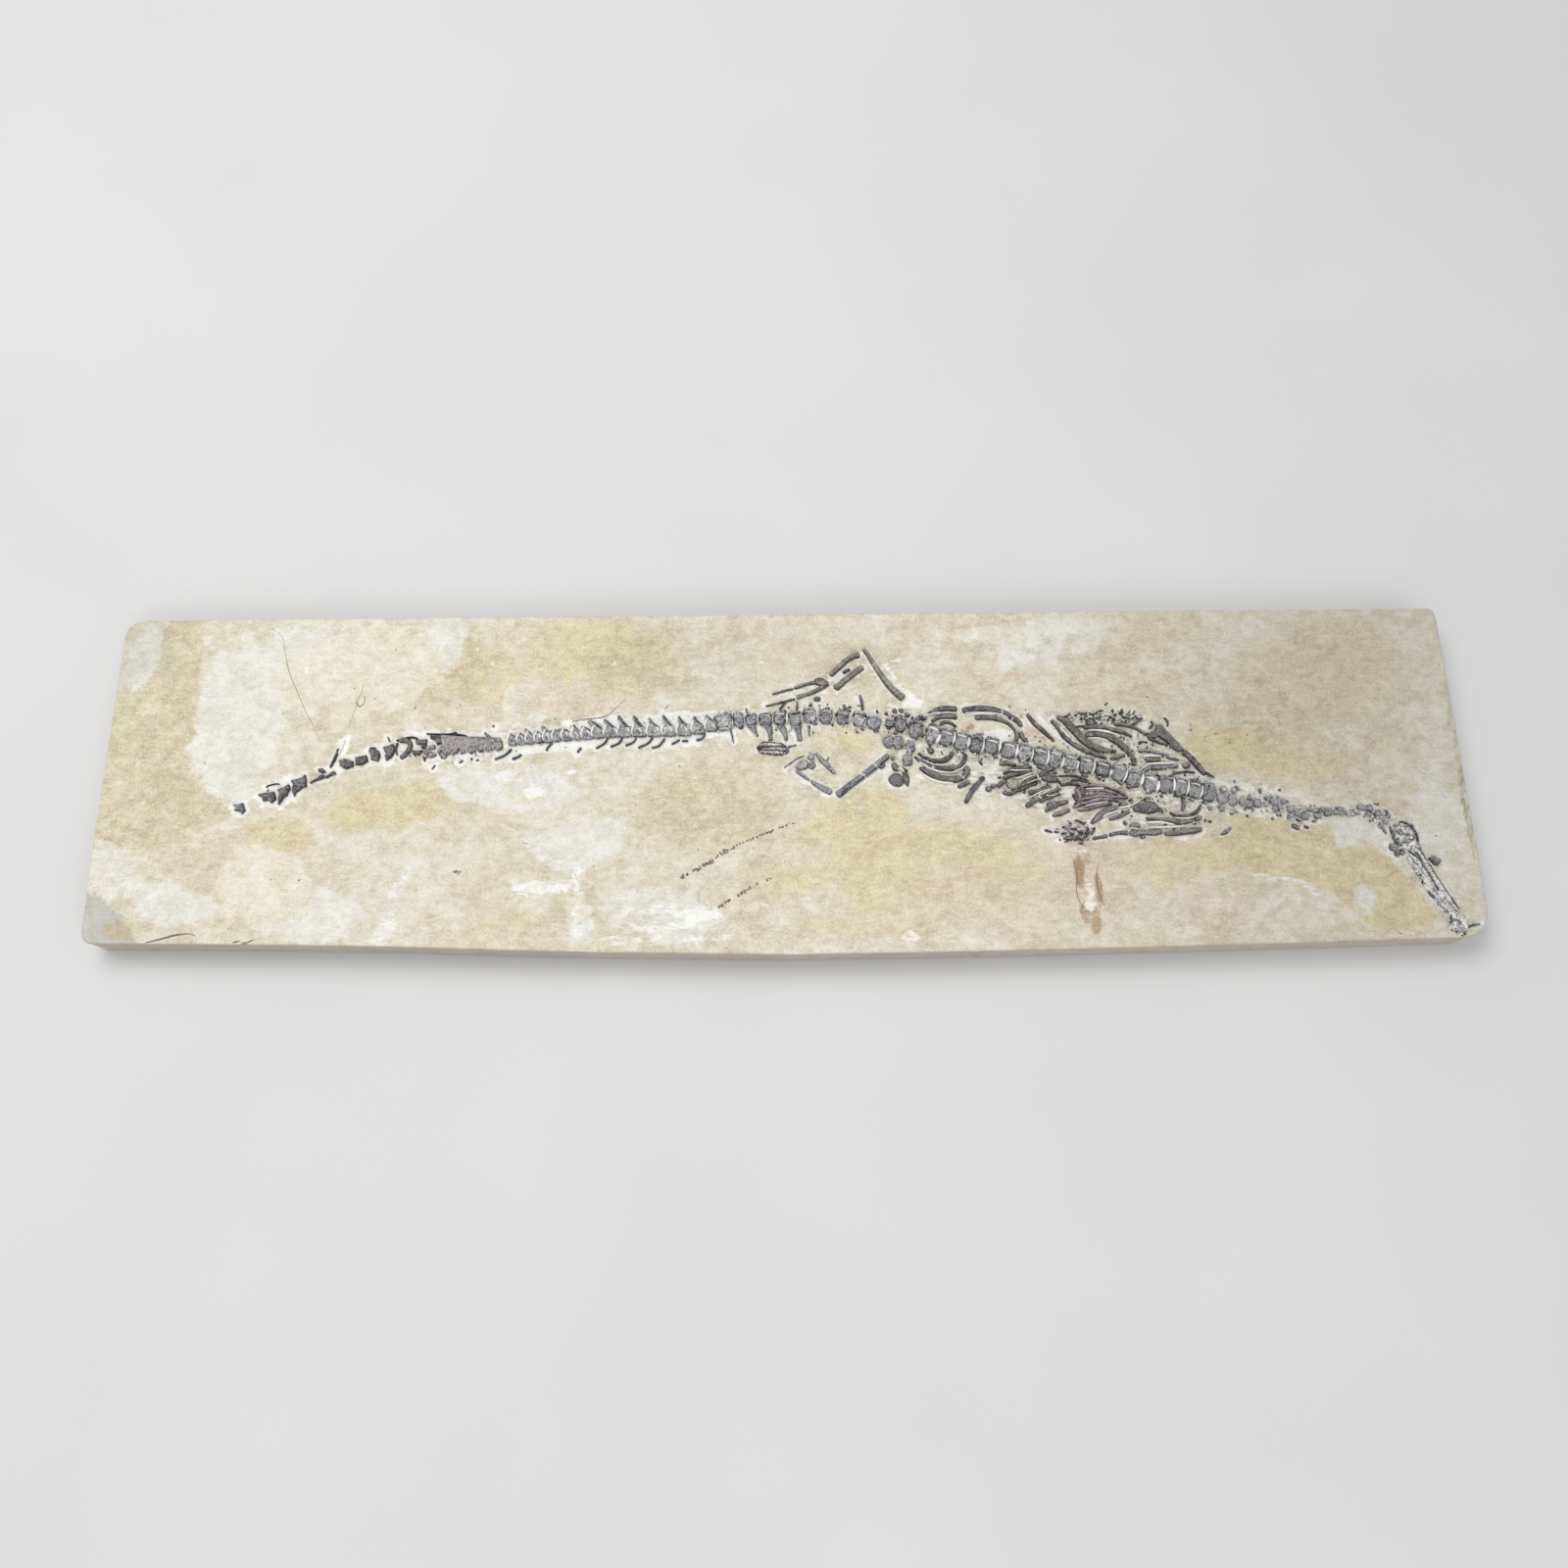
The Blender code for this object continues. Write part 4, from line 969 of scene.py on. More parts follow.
    def sutures(self, seed: int) -> list[Patch]:
        """Lays oblique pale lines between and across the middle tail's blocks.

        Args:
            seed: picks the noise and the scatter.

        Returns:
            The lines.
        """
        made = []
        rng = np.random.default_rng(seed)
        for index, (x, low, long, _, tip_y) in enumerate(self.tail_middle):
            left = x - 0.52 * long
            look = Look(tone=rng.uniform(0.5, 1.0), wobble=0.5)
            made.append(rod(((left + 1.6, low + 8.2), (left + 0.5, low + 5.6), (left - 0.2, low + 3.2),
                             (left + 0.6, low + 0.6)), (0.3, 0.9, 0.8, 0.4), 3.0, look, seed + 2 * index))
            if rng.uniform() < 0.7:
                start = (x + rng.uniform(-0.3, 0.1) * long, low + rng.uniform(4.6, 6.0))
                bend, end = (start[0] + 0.2 * long, start[1] - 1.4), (start[0] + 0.3 * long, start[1] - 3.4)
                made.append(rod((start, bend, end), (0.3, 0.75, 0.3), 3.0, look, seed + 2 * index + 1))
        return made

    def block(self, row: tuple, turn: float, seed: int, height: float = 2.5,
            wear: float = 0.27) -> list[Patch]:
        """Makes one vertebra of four parts: body, arch over it, and two joint processes.

        Args:
            row: its middle, half length and half depth.
            turn: angle of its length from x.
            seed: picks the noise.
            height: crest above the face.
            wear: how far pale mineral shows.

        Returns:
            The parts.
        """
        x, y, half, deep = row
        rng = np.random.default_rng(seed)

        def at(u: float, v: float) -> tuple[float, float]:
            """Gives the place at a share u of the vertebra's half length and v of its half depth."""
            return turned(x, y, turn, u * half, v * deep)

        slant = rng.uniform(-0.1, 0.05)
        body = tuple(at(u + rng.uniform(-0.11, 0.11), v + rng.uniform(-0.1, 0.1))
            for u, v in self.body_outline)
        arch = tuple(at(u + slant + rng.uniform(-0.12, 0.12), v + rng.uniform(-0.08, 0.12))
            for u, v in self.arch_outline)
        tone = rng.uniform(-0.3, 0.35)
        body_look = Look(tone, 0.2, wear + rng.uniform(-0.2, 0.1), 0.26, 0.3)
        arch_look = Look(tone - rng.uniform(0.1, 0.4), 0.2, wear, 0.3, 0.35)
        made = [plate(body, height, body_look, seed), plate(arch, height + 0.15, arch_look, seed + 1)]
        oval = Look(tone=rng.uniform(0.25, 0.7), core=0.3, wear=wear, wobble=0.3, hollow=0.6)
        made.append(lump(at(rng.uniform(-0.2, 0.15), rng.uniform(-0.35, -0.15)), (0.58 * half, 0.46 * deep),
                         height + 0.25, oval, seed + 2, turn + rng.uniform(-0.3, 0.3), 0, 2.3, 7, 24))
        made.append(lump(at(rng.uniform(-1.0, -0.6), rng.uniform(0.1, 0.7)), (0.3 * half, 0.26 * deep),
            height + 0.1, Look(tone=-0.5, wear=0.1, wobble=0.35), seed + 3, turn + 0.5, 0, 2.3, 6, 18))
        made.append(lump(at(rng.uniform(-0.6, 0.7), rng.choice((-1.1, 1.08))), (0.42 * half, 0.17 * deep),
                         0.75 * height, Look(tone=rng.uniform(-0.5, 0.2), wear=0.3, wobble=0.4), seed + 4,
                         turn + rng.uniform(-0.6, 0.6), 0, 2.3, 6, 18))
        return made

    def turns(self, row: tuple) -> list[float]:
        """Gives the angle of each block of a run, from the blocks on both sides."""
        last = len(row) - 1
        return [math.atan2(row[min(i + 1, last)][1] - row[max(i - 1, 0)][1],
                           row[min(i + 1, last)][0] - row[max(i - 1, 0)][0]) for i in range(len(row))]

    def crescents(self, row: tuple, seed: int, width: float, height: float) -> list[Patch]:
        """Lays a pale bow of calcite along the right end of each block of a run.

        Args:
            row: the run's blocks.
            seed: picks the noise and the scatter.
            width: the bows' half width.
            height: their crest above the face.

        Returns:
            The bows and the grains beside them.
        """
        made = []
        rng = np.random.default_rng(seed)
        for index, ((x, y, *size), turn) in enumerate(zip(row[:-1], self.turns(row))):
            half, deep = (size[0], size[1]) if len(size) == 2 else (3.0, size[0])
            low, high = rng.uniform(-1.4, -0.5), rng.uniform(0.2, 1.2)
            path = [turned(x, y, turn, half * (0.62 + 0.46 * math.cos(angle)),
                deep * 0.98 * math.sin(angle)) for angle in np.linspace(low, high, 5)]
            wide = width * rng.uniform(0.4, 1.5)
            look = Look(tone=rng.uniform(0.0, 0.7), wobble=0.8, rough=0.2)
            made.append(rod(tuple(path), (0.2, wide, wide * 0.8, 0.2), height, look, seed + index * 3))
            for part in range(3):
                place = (x + rng.uniform(-1.1, 1.1) * half, y + rng.choice((-1.0,
                    1.0)) * deep * rng.uniform(0.85, 1.3))
                grain = rng.uniform(0.35, 0.95)
                made.append(lump(place, (grain, 0.7 * grain), 0.7 * height, look,
                    seed + 90 + index * 5 + part, rng.uniform(0, 3), 0, 2.2, 4, 12))
            if len(size) == 2 and rng.uniform() < 0.75:
                line = tuple(turned(x, y, turn, u * half, v * deep)
                             for u, v in ((-0.85, 0.47), (-0.1, 0.54), (0.8, 0.42)))
                made.append(rod(line, (0.2, 0.7 * wide, 0.3), height, look, seed + index * 3 + 1))
        return made

    def build(self, shop: Workshop) -> None:
        """Makes every run of the column.

        Args:
            shop: makes the finished pieces.
        """
        fin = Look(tone=-0.25, core=0.2, wear=0.1, ends=(0.5, 0.2), wobble=0.3)
        self.build_tail(shop, fin)
        middle = [p for i, row in enumerate(self.tail_middle) for p in self.tail_block(row, 100 + 7 * i)]
        middle += [rod(path, (0.75, 0.5, 0.6, 0.5), 1.4, fin, 200 + i)
            for i, path in enumerate(self.chevrons)]
        shop.bone("tail_middle_vertebrae", middle, Bone.SLATE)
        root = [p for i, (row, turn) in enumerate(zip(self.tail_root, self.turns(self.tail_root)))
                for p in self.block(row, turn, 260 + 5 * i, 2.3, 0.4)]
        rib = Look(tone=-0.1, core=0.5, wear=0.15, ends=(0.3, 0.8), wobble=0.15)
        root += [blade(one, other, 1.7, rib, 330 + i) for i, (one, other) in enumerate(self.root_ribs)]
        root += [rod(((19.5, 30), (19.6, 23)), (0.7, 0.4), 1.2, fin, 335),
                 rod(((-27, 27.5), (-26, 23), (-25.2, 19)), (0.6, 0.3), 1.0, fin, 336)]
        shop.bone("tail_root_vertebrae", root, Bone.SLATE)
        shop.bone("hip_vertebrae", [p for i, row in enumerate(self.hip)
            for p in self.block(row, -0.2, 340 + 5 * i)], Bone.SLATE)
        back = [p for i, (row, turn) in enumerate(zip(self.back, self.turns(self.back)))
                for p in self.block(row, turn, 360 + 5 * i, 2.6)]
        for x, y, size in self.back_knobs:
            back.append(lump((x, y), (size, size), 2.8, Look(core=0.5, hollow=0.7), 470 + int(x)))
        shop.bone("back_vertebrae", back, Bone.SLATE)
        shop.bone("neck_vertebrae", self.neck_run(), Bone.SLATE)
        pale = self.sutures(500) + self.crescents(self.tail_root, 560, 0.55, 2.9)
        pale += self.crescents(self.back, 600, 1.15, 3.2)
        seam = Look(tone=0.2, wobble=0.5)
        pale += [rod(((x - 1.4, top), (x + 0.3, 19.2), (x - 0.7, low)), (0.15, wide, 0.2), 2.6, seam,
            680 + i) for i, (x, top, low, wide) in enumerate(self.brown_seams)]
        edge = Look(tone=0.5, wobble=0.4)
        pale += [rod(one, (0.2, 0.4, 0.3), 1.3, edge, 700 + i) for i, (one, _) in enumerate(self.root_ribs)]
        pale += [rod(((-260.5, 13.8), (-259, 18.4), (-257.3, 23.4)), (0.7, 0.9, 0.5), 0.9, edge, 710)]
        shop.piece("calcite_between_vertebrae", pale, CHALK)

    def neck_run(self) -> list[Patch]:
        """Lays the neck's vertebrae, crushed to rounded lumps with pale mineral between them.

        Returns:
            The lumps.
        """
        made = []
        rng = np.random.default_rng(78)
        for index, (x, y, a, b) in enumerate(self.neck):
            own = Look(tone=rng.uniform(0.3, 1.1), core=0.6, wear=rng.uniform(0.05, 0.35), wobble=0.3)
            turn = rng.uniform(-0.4, 0.2)
            made.append(lump((x, y), (a, b), 2.1, own, 720 + index * 7, turn, 0.0, 2.4, 7, 24))
            for part in range(2):
                place = (x + rng.uniform(-1.5, 1.5) * a, y + rng.uniform(-1.2, 1.2) * b)
                size = rng.uniform(0.5, 1.0)
                crumb = Look(tone=rng.uniform(0.5, 1.4), wear=rng.uniform(0.2, 0.8), wobble=0.3)
                made.append(lump(place, (size, 0.8 * size), 1.8, crumb, 721 + index * 7 + part,
                                 rng.uniform(0, 3), 0.0, 2.2, 4, 12))
        for index in range(46):
            place = (rng.uniform(317, 336), -25.4 + rng.uniform(-2.6, 2.2))
            crumb = Look(tone=rng.uniform(0.2, 1.4), wear=rng.uniform(0.1, 0.7), wobble=0.3)
            made.append(lump(place, (rng.uniform(0.5, 1.3), rng.uniform(0.4, 0.9)), 1.5, crumb, 990 + index,
                             rng.uniform(-0.5, 0.5), 0.0, 2.2, 4, 12))
        for index, (x, y, a, b) in enumerate(self.neck_crumbs):
            turn = -0.6 if x in (299, 305.2) else 0.3
            made.append(lump((x, y), (a, b), 1.4, Look(tone=-0.4 if turn < 0
                else 0.6, wear=0.15, wobble=0.3), 860 + index, turn, 0.0, 2.2, 6, 18))
        return made

    def build_tail(self, shop: Workshop, fin: Look) -> None:
        """Makes the thin end of the tail: its lone tip and the black and brown runs.

        Args:
            shop: makes the finished pieces.
            fin: how its thin spines are worked.
        """
        black = Look(tone=-0.1, core=0.3, wear=0.16, rough=0.24, wobble=0.35)
        runs = {name: [plate(corners, 1.9, black, seed + i)
                       for i, corners in enumerate(getattr(self, name))]
                for name, seed in (("tail_tip", 1), ("tail_end", 10), ("tail_thin", 20), ("tail_dark", 30))}
        shop.bone("tail_tip", runs["tail_tip"], Bone.SLATE)
        thin = Look(tone=-0.3, core=0.0, wear=0.05, wobble=0.3)
        runs["tail_end"] += [rod(path, (0.35, 0.3), 1.0, thin, 80 + i)
            for i, path in enumerate(self.end_slivers)]
        shop.bone("tail_end_vertebrae", runs["tail_end"], Bone.BLACK)
        shop.bone("tail_thin_vertebrae", runs["tail_thin"], Bone.BLACK)
        long = [blade(((-265.2, 5.4), (-262.8, 12.3), (-261.4, 18.2)),
            ((-263.8, 5.8), (-261.4, 11.2), (-259.7, 17)), 1.5, fin, 33)]
        shop.bone("tail_spine_long", long, Bone.BLACK)
        looks = {"black": black, "thin": thin, "fin": fin}
        dark = runs["tail_dark"] + [rod(path, wide, high, looks[kind], seed)
            for path, wide, high, kind, seed in self.dark_slivers]
        shop.bone("tail_dark_vertebrae", dark, Bone.BLACK)
        brown = []
        rng = np.random.default_rng(5)
        for index, (left, right) in enumerate(zip(self.brown_bounds, self.brown_bounds[1:])):
            low, top = 12.6 + 0.4 * index, 25.4 - 0.28 * index
            look = Look(tone=rng.uniform(0.1, 0.5), core=0.2, wear=0.22, rough=0.2, wobble=0.3)
            brown.append(plate(((left - 1.4, top), (right - 1.6, top - 0.2), (right - 0.2, top - 2.6),
                                (right + 0.5, top - 6.4), (right - 0.8, low + 1), (left + 1.2, low),
                                (left - 0.2, low + 3)), 2.1 - 0.05 * (index % 2), look, 62 + index))
        for index in range(16):
            place = (rng.uniform(-209, -196), rng.uniform(11.6, 19.5))
            own = Look(tone=rng.uniform(-0.1, 0.6), wear=0.3, wobble=0.35)
            brown.append(lump(place, (rng.uniform(1.2, 2.6), rng.uniform(0.9, 1.8)), 1.7, own, 75 + index,
                              rng.uniform(-0.3, 1.2), 0, 2.3, 6, 18))
        brown += [rod(((-174.2, 27), (-171.4, 24.4), (-169.2, 21)), (0.4, 1.0, 0.8), 1.8, fin, 95),
                  rod(((-193, 25.4), (-189, 25.6), (-184, 24.6)), (0.4, 0.4), 2.2, thin, 96)]
        shop.bone("tail_brown_vertebrae", brown, Bone.BROWN)
        bits = [rod(p, (0.5, 0.4), 0.9, fin, 110 + i) for i, p in enumerate(self.loose_bits)]
        shop.loose("tail_loose_bits", bits, Bone.BROWN)


@dataclass
class LongBones:
    """Ribs and limb bones: each a path in plan, half widths along it, a crest height and a look."""

    table: dict = field(default_factory=lambda: {"rib_back_1": (Bone.RIB,
        ((90, 36), (95, 38.5), (100, 39.5), (107.8, 39.2)), (0.9, 1.7, 2.0, 1.7), 2.7,
        Look(tone=-0.35, core=0.15, ends=(1.0, 0.4))), "rib_back_2": (Bone.RIB,
        ((110.6, 38.4), (120, 39.5), (130, 38.4), (139, 34.5), (143.3, 31.2), (145.4, 28)),
        (1.8, 2.0, 1.9, 1.3), 2.7, Look(tone=-0.35, core=0.15, cracks=(0.62, 0.8), ends=(0.4, 1.2))),
        "rib_back_3": (Bone.RIB, ((92.2, 31.5), (95.5, 34), (101, 34.7), (107.8, 34.1)), (0.9, 1.5, 1.5),
        2.3, Look(tone=-0.1)), "rib_back_4": (Bone.RIB, ((118, 33.6), (125, 33.8), (132, 33), (137, 30.8),
        (140.9, 27.3), (142.3, 23), (141.4, 18.6)), (1.2, 1.6, 1.4, 1.1), 2.3,
        Look(tone=-0.1, hollow=0.2)), "rib_back_5": (Bone.BROWN,
        ((149, 36), (153, 30), (158, 25), (164, 18.6)), (1.0, 1.4, 1.3, 0.9), 2.3,
        Look(tone=-0.5, core=0.1, wear=0.05)), "rib_back_6": (Bone.RIB,
        ((163, 32), (167, 27), (170, 22), (175, 17), (181, 13), (188, 10), (194, 8)),
        (1.0, 1.7, 1.4, 1.1), 2.5, Look(tone=0.0, hollow=0.2)),
        "rib_back_7": (Bone.RIB, ((166.5, 34), (171.5, 31), (176.5, 25), (181, 19.6), (186, 15.4),
        (192, 12.6), (200, 12)), (1.2, 2.5, 2.5, 1.8, 0.8), 2.7, Look(tone=-0.15, core=0.2)),
        "rib_back_8": (Bone.RIB, ((182.4, 22.4), (190, 22.6), (195, 21.2), (201, 18), (206, 13), (209, 8),
        (210, 3)), (1.7, 2.1, 2.0, 1.2), 2.7, Look(tone=-0.25, core=0.2)),
        "rib_back_9": (Bone.RIB, ((181.5, 27.4), (190, 27.2), (197, 26), (204, 24), (210, 21)),
        (1.4, 1.4, 0.9), 2.1, Look(tone=-0.1)), "rib_back_10": (Bone.SLATE,
        ((212.6, 12), (219, 12.4), (226, 10), (231, 7.7), (236, 6.4)), (0.9, 1.2, 0.7), 1.8,
        Look(tone=0.05, wear=0.2)), "rib_back_11": (Bone.SLATE,
        ((214, 0), (220, 1.5), (228, 2), (235.5, 2.8)), (1.2, 1.5, 1.0), 1.9, Look(tone=0.0)),
        "rib_front_1": (Bone.RIB, ((83.6, 11.8), (88, 8.8), (93, 7.2), (98, 7.2), (102, 9.2),
        (104, 12.6)), (0.7, 1.2, 1.6, 1.3), 2.3, Look(tone=-0.35, core=0.1)),
        "rib_front_2": (Bone.RIB, ((81.4, 9.9), (86, 6), (91, 3.1), (97, 1.9), (103, 2), (108, 4),
        (111, 8), (111.8, 11)), (0.7, 1.4, 1.3, 1.0), 2.3, Look(tone=-0.3, core=0.2, cracks=(0.34,))),
        "rib_front_3": (Bone.RIB, ((84.2, 3), (88, 0.3), (93, -2.2), (98, -4), (104, -4.5), (109, -3),
        (113, 0.8)), (0.9, 2.0, 2.1, 1.7), 2.7, Look(tone=-0.1, core=0.3, cracks=(0.82,))),
        "rib_front_4": (Bone.RIB, ((110, -19), (114, -12), (118, -7), (122, -3)), (1.2, 1.7, 1.0), 2.5,
        Look(tone=-0.2)), "rib_front_5": (Bone.RIB, ((133, -1.4), (138, 1.3), (145, 2.5), (150, 2.7)),
        (1.0, 1.6, 1.1), 2.3, Look(tone=-0.2)), "rib_front_6": (Bone.OLIVE,
        ((145, -21.5), (151, -17.2), (158, -13.3), (166, -10.4)), (1.5, 1.6, 1.0), 2.5,
        Look(tone=-0.15, cracks=(0.42,))), "rib_front_7": (Bone.PURPLE,
        ((160, -27), (166, -25), (170.4, -23.2)), (0.9, 1.6, 1.1), 2.3, Look(tone=0.0)),
        "rib_front_8": (Bone.RIB, ((181.8, -31.8), (185, -29.3), (188.4, -26.2), (193, -23.4),
        (198.4, -21.8)), (0.8, 2.1, 1.9, 1.0), 2.5, Look(tone=-0.05, core=0.5, wear=0.22)),
        "rib_front_9": (Bone.RIB, ((192.4, -29.4), (199, -27.4), (205, -24.2)), (0.9, 1.4, 1.0), 2.1,
        Look(tone=0.1, core=0.4)), "rib_front_10": (Bone.RIB, ((227.5, -25.5), (231, -27.2), (236, -27.8),
        (240, -26.8), (244, -24.5), (246.4, -20.6)), (0.6, 1.0, 1.1, 0.8), 1.8, Look(tone=-0.35)),
        "forearm_1": (Bone.RIB, ((214, -29.3), (221, -29.3), (227, -30), (234, -31.5), (240.6, -30.4)),
        (0.8, 1.1, 1.5, 0.9), 2.1, Look(tone=0.15, core=0.5)), "forearm_2": (Bone.RIB,
        ((203.6, -37.6), (206.4, -37.8), (212, -37.5), (216, -37.6), (221, -37), (222.6, -37)),
        (1.6, 2.1, 1.3, 1.5, 1.9, 1.1), 2.3, Look(tone=-0.25, core=0.45, hollow=0.4, ends=(0.2, 0.4),
        wear=0.2)), "forearm_3": (Bone.RIB, ((223.4, -38.3), (229, -38), (235, -37.2), (240, -36.5),
        (245.6, -35.5)), (1.0, 1.5, 1.5, 2.0, 1.2), 2.5, Look(tone=-0.1, core=0.4)),
        "wrist_1": (Bone.RIB, ((182.0, -40.8), (187, -39.8), (191.2, -39)), (1.1, 0.9, 1.2), 1.8,
        Look(tone=-0.35, core=0.4, hollow=0.3, ends=(0.1, 0.1))),
        "wrist_2": (Bone.RIB, ((191.8, -38.9), (197, -37.5), (203.0, -37.4)), (1.2, 1.0, 1.5), 2.0,
        Look(tone=-0.35, core=0.4, hollow=0.3, ends=(0.1, 0.1))),
        "thigh_back": (Bone.OLIVE, ((53, 78.5), (57, 72), (61, 65), (66, 57), (71, 51), (76.2, 46.3)),
        (1.2, 1.5, 1.9, 2.5), 2.9, Look(tone=-0.1, core=0.45, hollow=0.4, cracks=(0.3,))),
        "shin_back_1": (Bone.OLIVE, ((50.4, 75.2), (45, 73), (40, 69), (36, 65), (32.4, 61.4)),
        (2.0, 1.6, 1.7, 1.4), 2.7, Look(tone=-0.25, core=0.5, hollow=0.5)),
        "shin_back_2": (Bone.OLIVE, ((52.4, 67.2), (47, 63), (41, 58), (35, 53)), (1.9, 1.8, 2.1), 2.7,
        Look(tone=-0.2, core=0.5, hollow=0.5)), "thigh_front": (Bone.SLATE,
        ((66.4, 10.8), (60, 5.5), (55, 1.5), (50, -2.5), (44, -7), (38, -12), (35.6, -14)),
        (1.6, 2.0, 1.9, 1.9, 2.3), 2.9, Look(tone=-0.15, core=0.35, cracks=(0.26, 0.5), hollow=0.2)),
        "shin_front_1": (Bone.SLATE, ((11.4, 1.8), (16, -1.6), (20, -4.4), (22.4, -6.2), (27, -9),
        (32.6, -12)), (0.8, 1.0, 0.7, 1.5, 1.9, 1.7), 2.5, Look(tone=0.1, core=0.8, hollow=0.6, wear=0.25,
        cracks=(0.42,))), "shin_front_2": (Bone.SLATE, ((34.6, -0.4), (31, 4), (27, 8), (23.4, 12.8)),
        (1.0, 1.7, 1.5, 1.0), 2.5, Look(tone=0.0, core=0.7, wear=0.3)),})

    def build(self, shop: Workshop) -> None:
        """Makes each bone of the table."""
        for index, (node, (kind, path, wide, height, look)) in enumerate(self.table.items()):
            shop.bone(node, [rod(path, wide, 0.8 * height, look, 900 + index * 9)], kind)


@dataclass
class Groups:
    """Bones pressed together or grown together, and the flat bones."""

    pressed_paths: tuple = (((177, -9.6), (185, -9), (192, -9.6), (198, -12), (202, -14.5), (204.4, -17)),
        ((178, -12.6), (188, -12.2), (194, -13), (199, -14.4)),
        ((176, -17.8), (182, -16.5), (188, -15.4), (194, -16), (203.6, -16.6)),
        ((172, -22), (178, -20), (185, -18.5), (192, -17.4), (200, -18.5)),
        ((175, -24), (182, -22.8), (188, -21), (195, -20)), ((181, -15), (188, -14), (196, -15)),
        ((174, -11), (176.5, -15), (175, -20)))
    pressed_lumps: tuple = ((177.4, -12, 3.4, 3.2), (178.5, -16.6, 4.2, 2.6), (176, -19.6, 3, 2),
        (181, -14, 3.0, 1.6), (174.6, -16, 1.8, 2.6))
    back_toes: tuple = ((((24.4, 57.4), (19, 56.2), (15, 55), (10.6, 53.6)), (1.4, 1.0, 1.0, 1.2)),
        (((10.4, 53.2), (6, 52.2), (2.2, 51.2)), (0.9, 0.7, 0.9)),
        (((2.2, 51), (-2.6, 49.8)), (0.9, 0.6)), (((30.6, 55.6), (25, 52.4), (19, 49.7), (12, 47.4)),
        (1.5, 1.3, 1.0, 1.3)), (((11.4, 46.6), (5.4, 45), (-0.6, 43.5), (-6.4, 42)),
        (0.5, 0.6, 0.4, 0.4)))
    front_toes: tuple = (((-10.4, 17.6), (-5, 18.0), (4, 17.4)), ((-10.6, 14), (-5, 13.2), (4.6, 12.6)),
        ((-4, 15.6), (6.4, 14.6)))
    front_edges: tuple = (((-11, 16.6), (-8, 19.2), (-3, 19.2), (4, 18.4)),
        ((-11.4, 15.6), (-6, 16.6), (0, 16.4), (5.6, 16.2)), ((-11, 15.4), (-7, 14.6), (0, 14.2),
        (6, 13.6)), ((-8.4, 12.4), (-3, 11.8), (4.6, 11.2)), ((-11.8, 17), (-10, 13.6), (-8, 12.2)),
        ((5.4, 15.8), (9, 16.8), (12.4, 17.4)), ((4, 18.2), (7.4, 14.6), (5, 11.4)))
    hand_lumps: tuple = ((172.0, -33.4, 2.6), (175.4, -35.0, 2.4), (172.6, -38.0, 2.2),
        (177.6, -36.0, 1.8), (168.0, -38.0, 1.9), (167.6, -34.0, 1.7), (169.8, -36.6, 1.4))
    hand_slivers: tuple = ((((172.6, -29.6), (176, -31), (178, -32.6)), 0.6),
        (((169.4, -31.2), (171, -33.6)), 0.7), (((165, -33.4), (167.4, -35)), 0.6),
        (((164.6, -37.4), (168, -37.8), (172, -38.6)), 0.8), (((171, -36.4), (175, -37), (180, -36.2)),
        0.7), (((165.4, -40.6), (170, -41), (176, -41)), 0.8), (((176, -42.6), (177.8, -39)), 0.6),
        (((178.6, -40.2), (181, -36.4)), 0.7), (((174, -43.4), (177, -44)), 0.5),
        (((178.4, -34), (180.6, -35.2)), 0.6), (((163, -41), (164, -41.8)), 0.6),
        (((170, -35), (176, -34.4)), 0.8))
    fingers: tuple = ((((155, -35.4), (159.6, -36.8)), (0.8, 0.5)),
        (((160.5, -36.7), (164, -37)), (0.6, 0.5)), (((181.8, -38), (183.2, -36), (184.2, -33.8)),
        (0.9, 0.7, 0.9)))

    def build(self, shop: Workshop) -> None:
        """Makes every group and flat bone.

        Args:
            shop: makes the finished pieces.
        """
        self.build_pressed(shop)
        self.build_feet(shop)
        self.build_girdles(shop)
        self.build_hand(shop)

    def build_pressed(self, shop: Workshop) -> None:
        """Makes the pack of purple ribs, which fan out to the right from a crushed mass.

        Args:
            shop: makes the finished pieces.
        """
        look = Look(tone=0.0, core=0.6, wear=0.22, rough=0.2, square=2.6)
        patches = [rod(path, (0.8, 1.1, 1.0, 0.7), 2.3, look, 1300 + i)
            for i, path in enumerate(self.pressed_paths)]
        mass = Look(tone=-0.45, core=0.1, wear=0.1, rough=0.4, wobble=0.3)
        for i, (x, y, a, b) in enumerate(self.pressed_lumps):
            patches.append(lump((x, y), (a, b), 2.0, mass, 1320 + i, 0.5))
        shop.bone("ribs_pressed", patches, Bone.PURPLE)

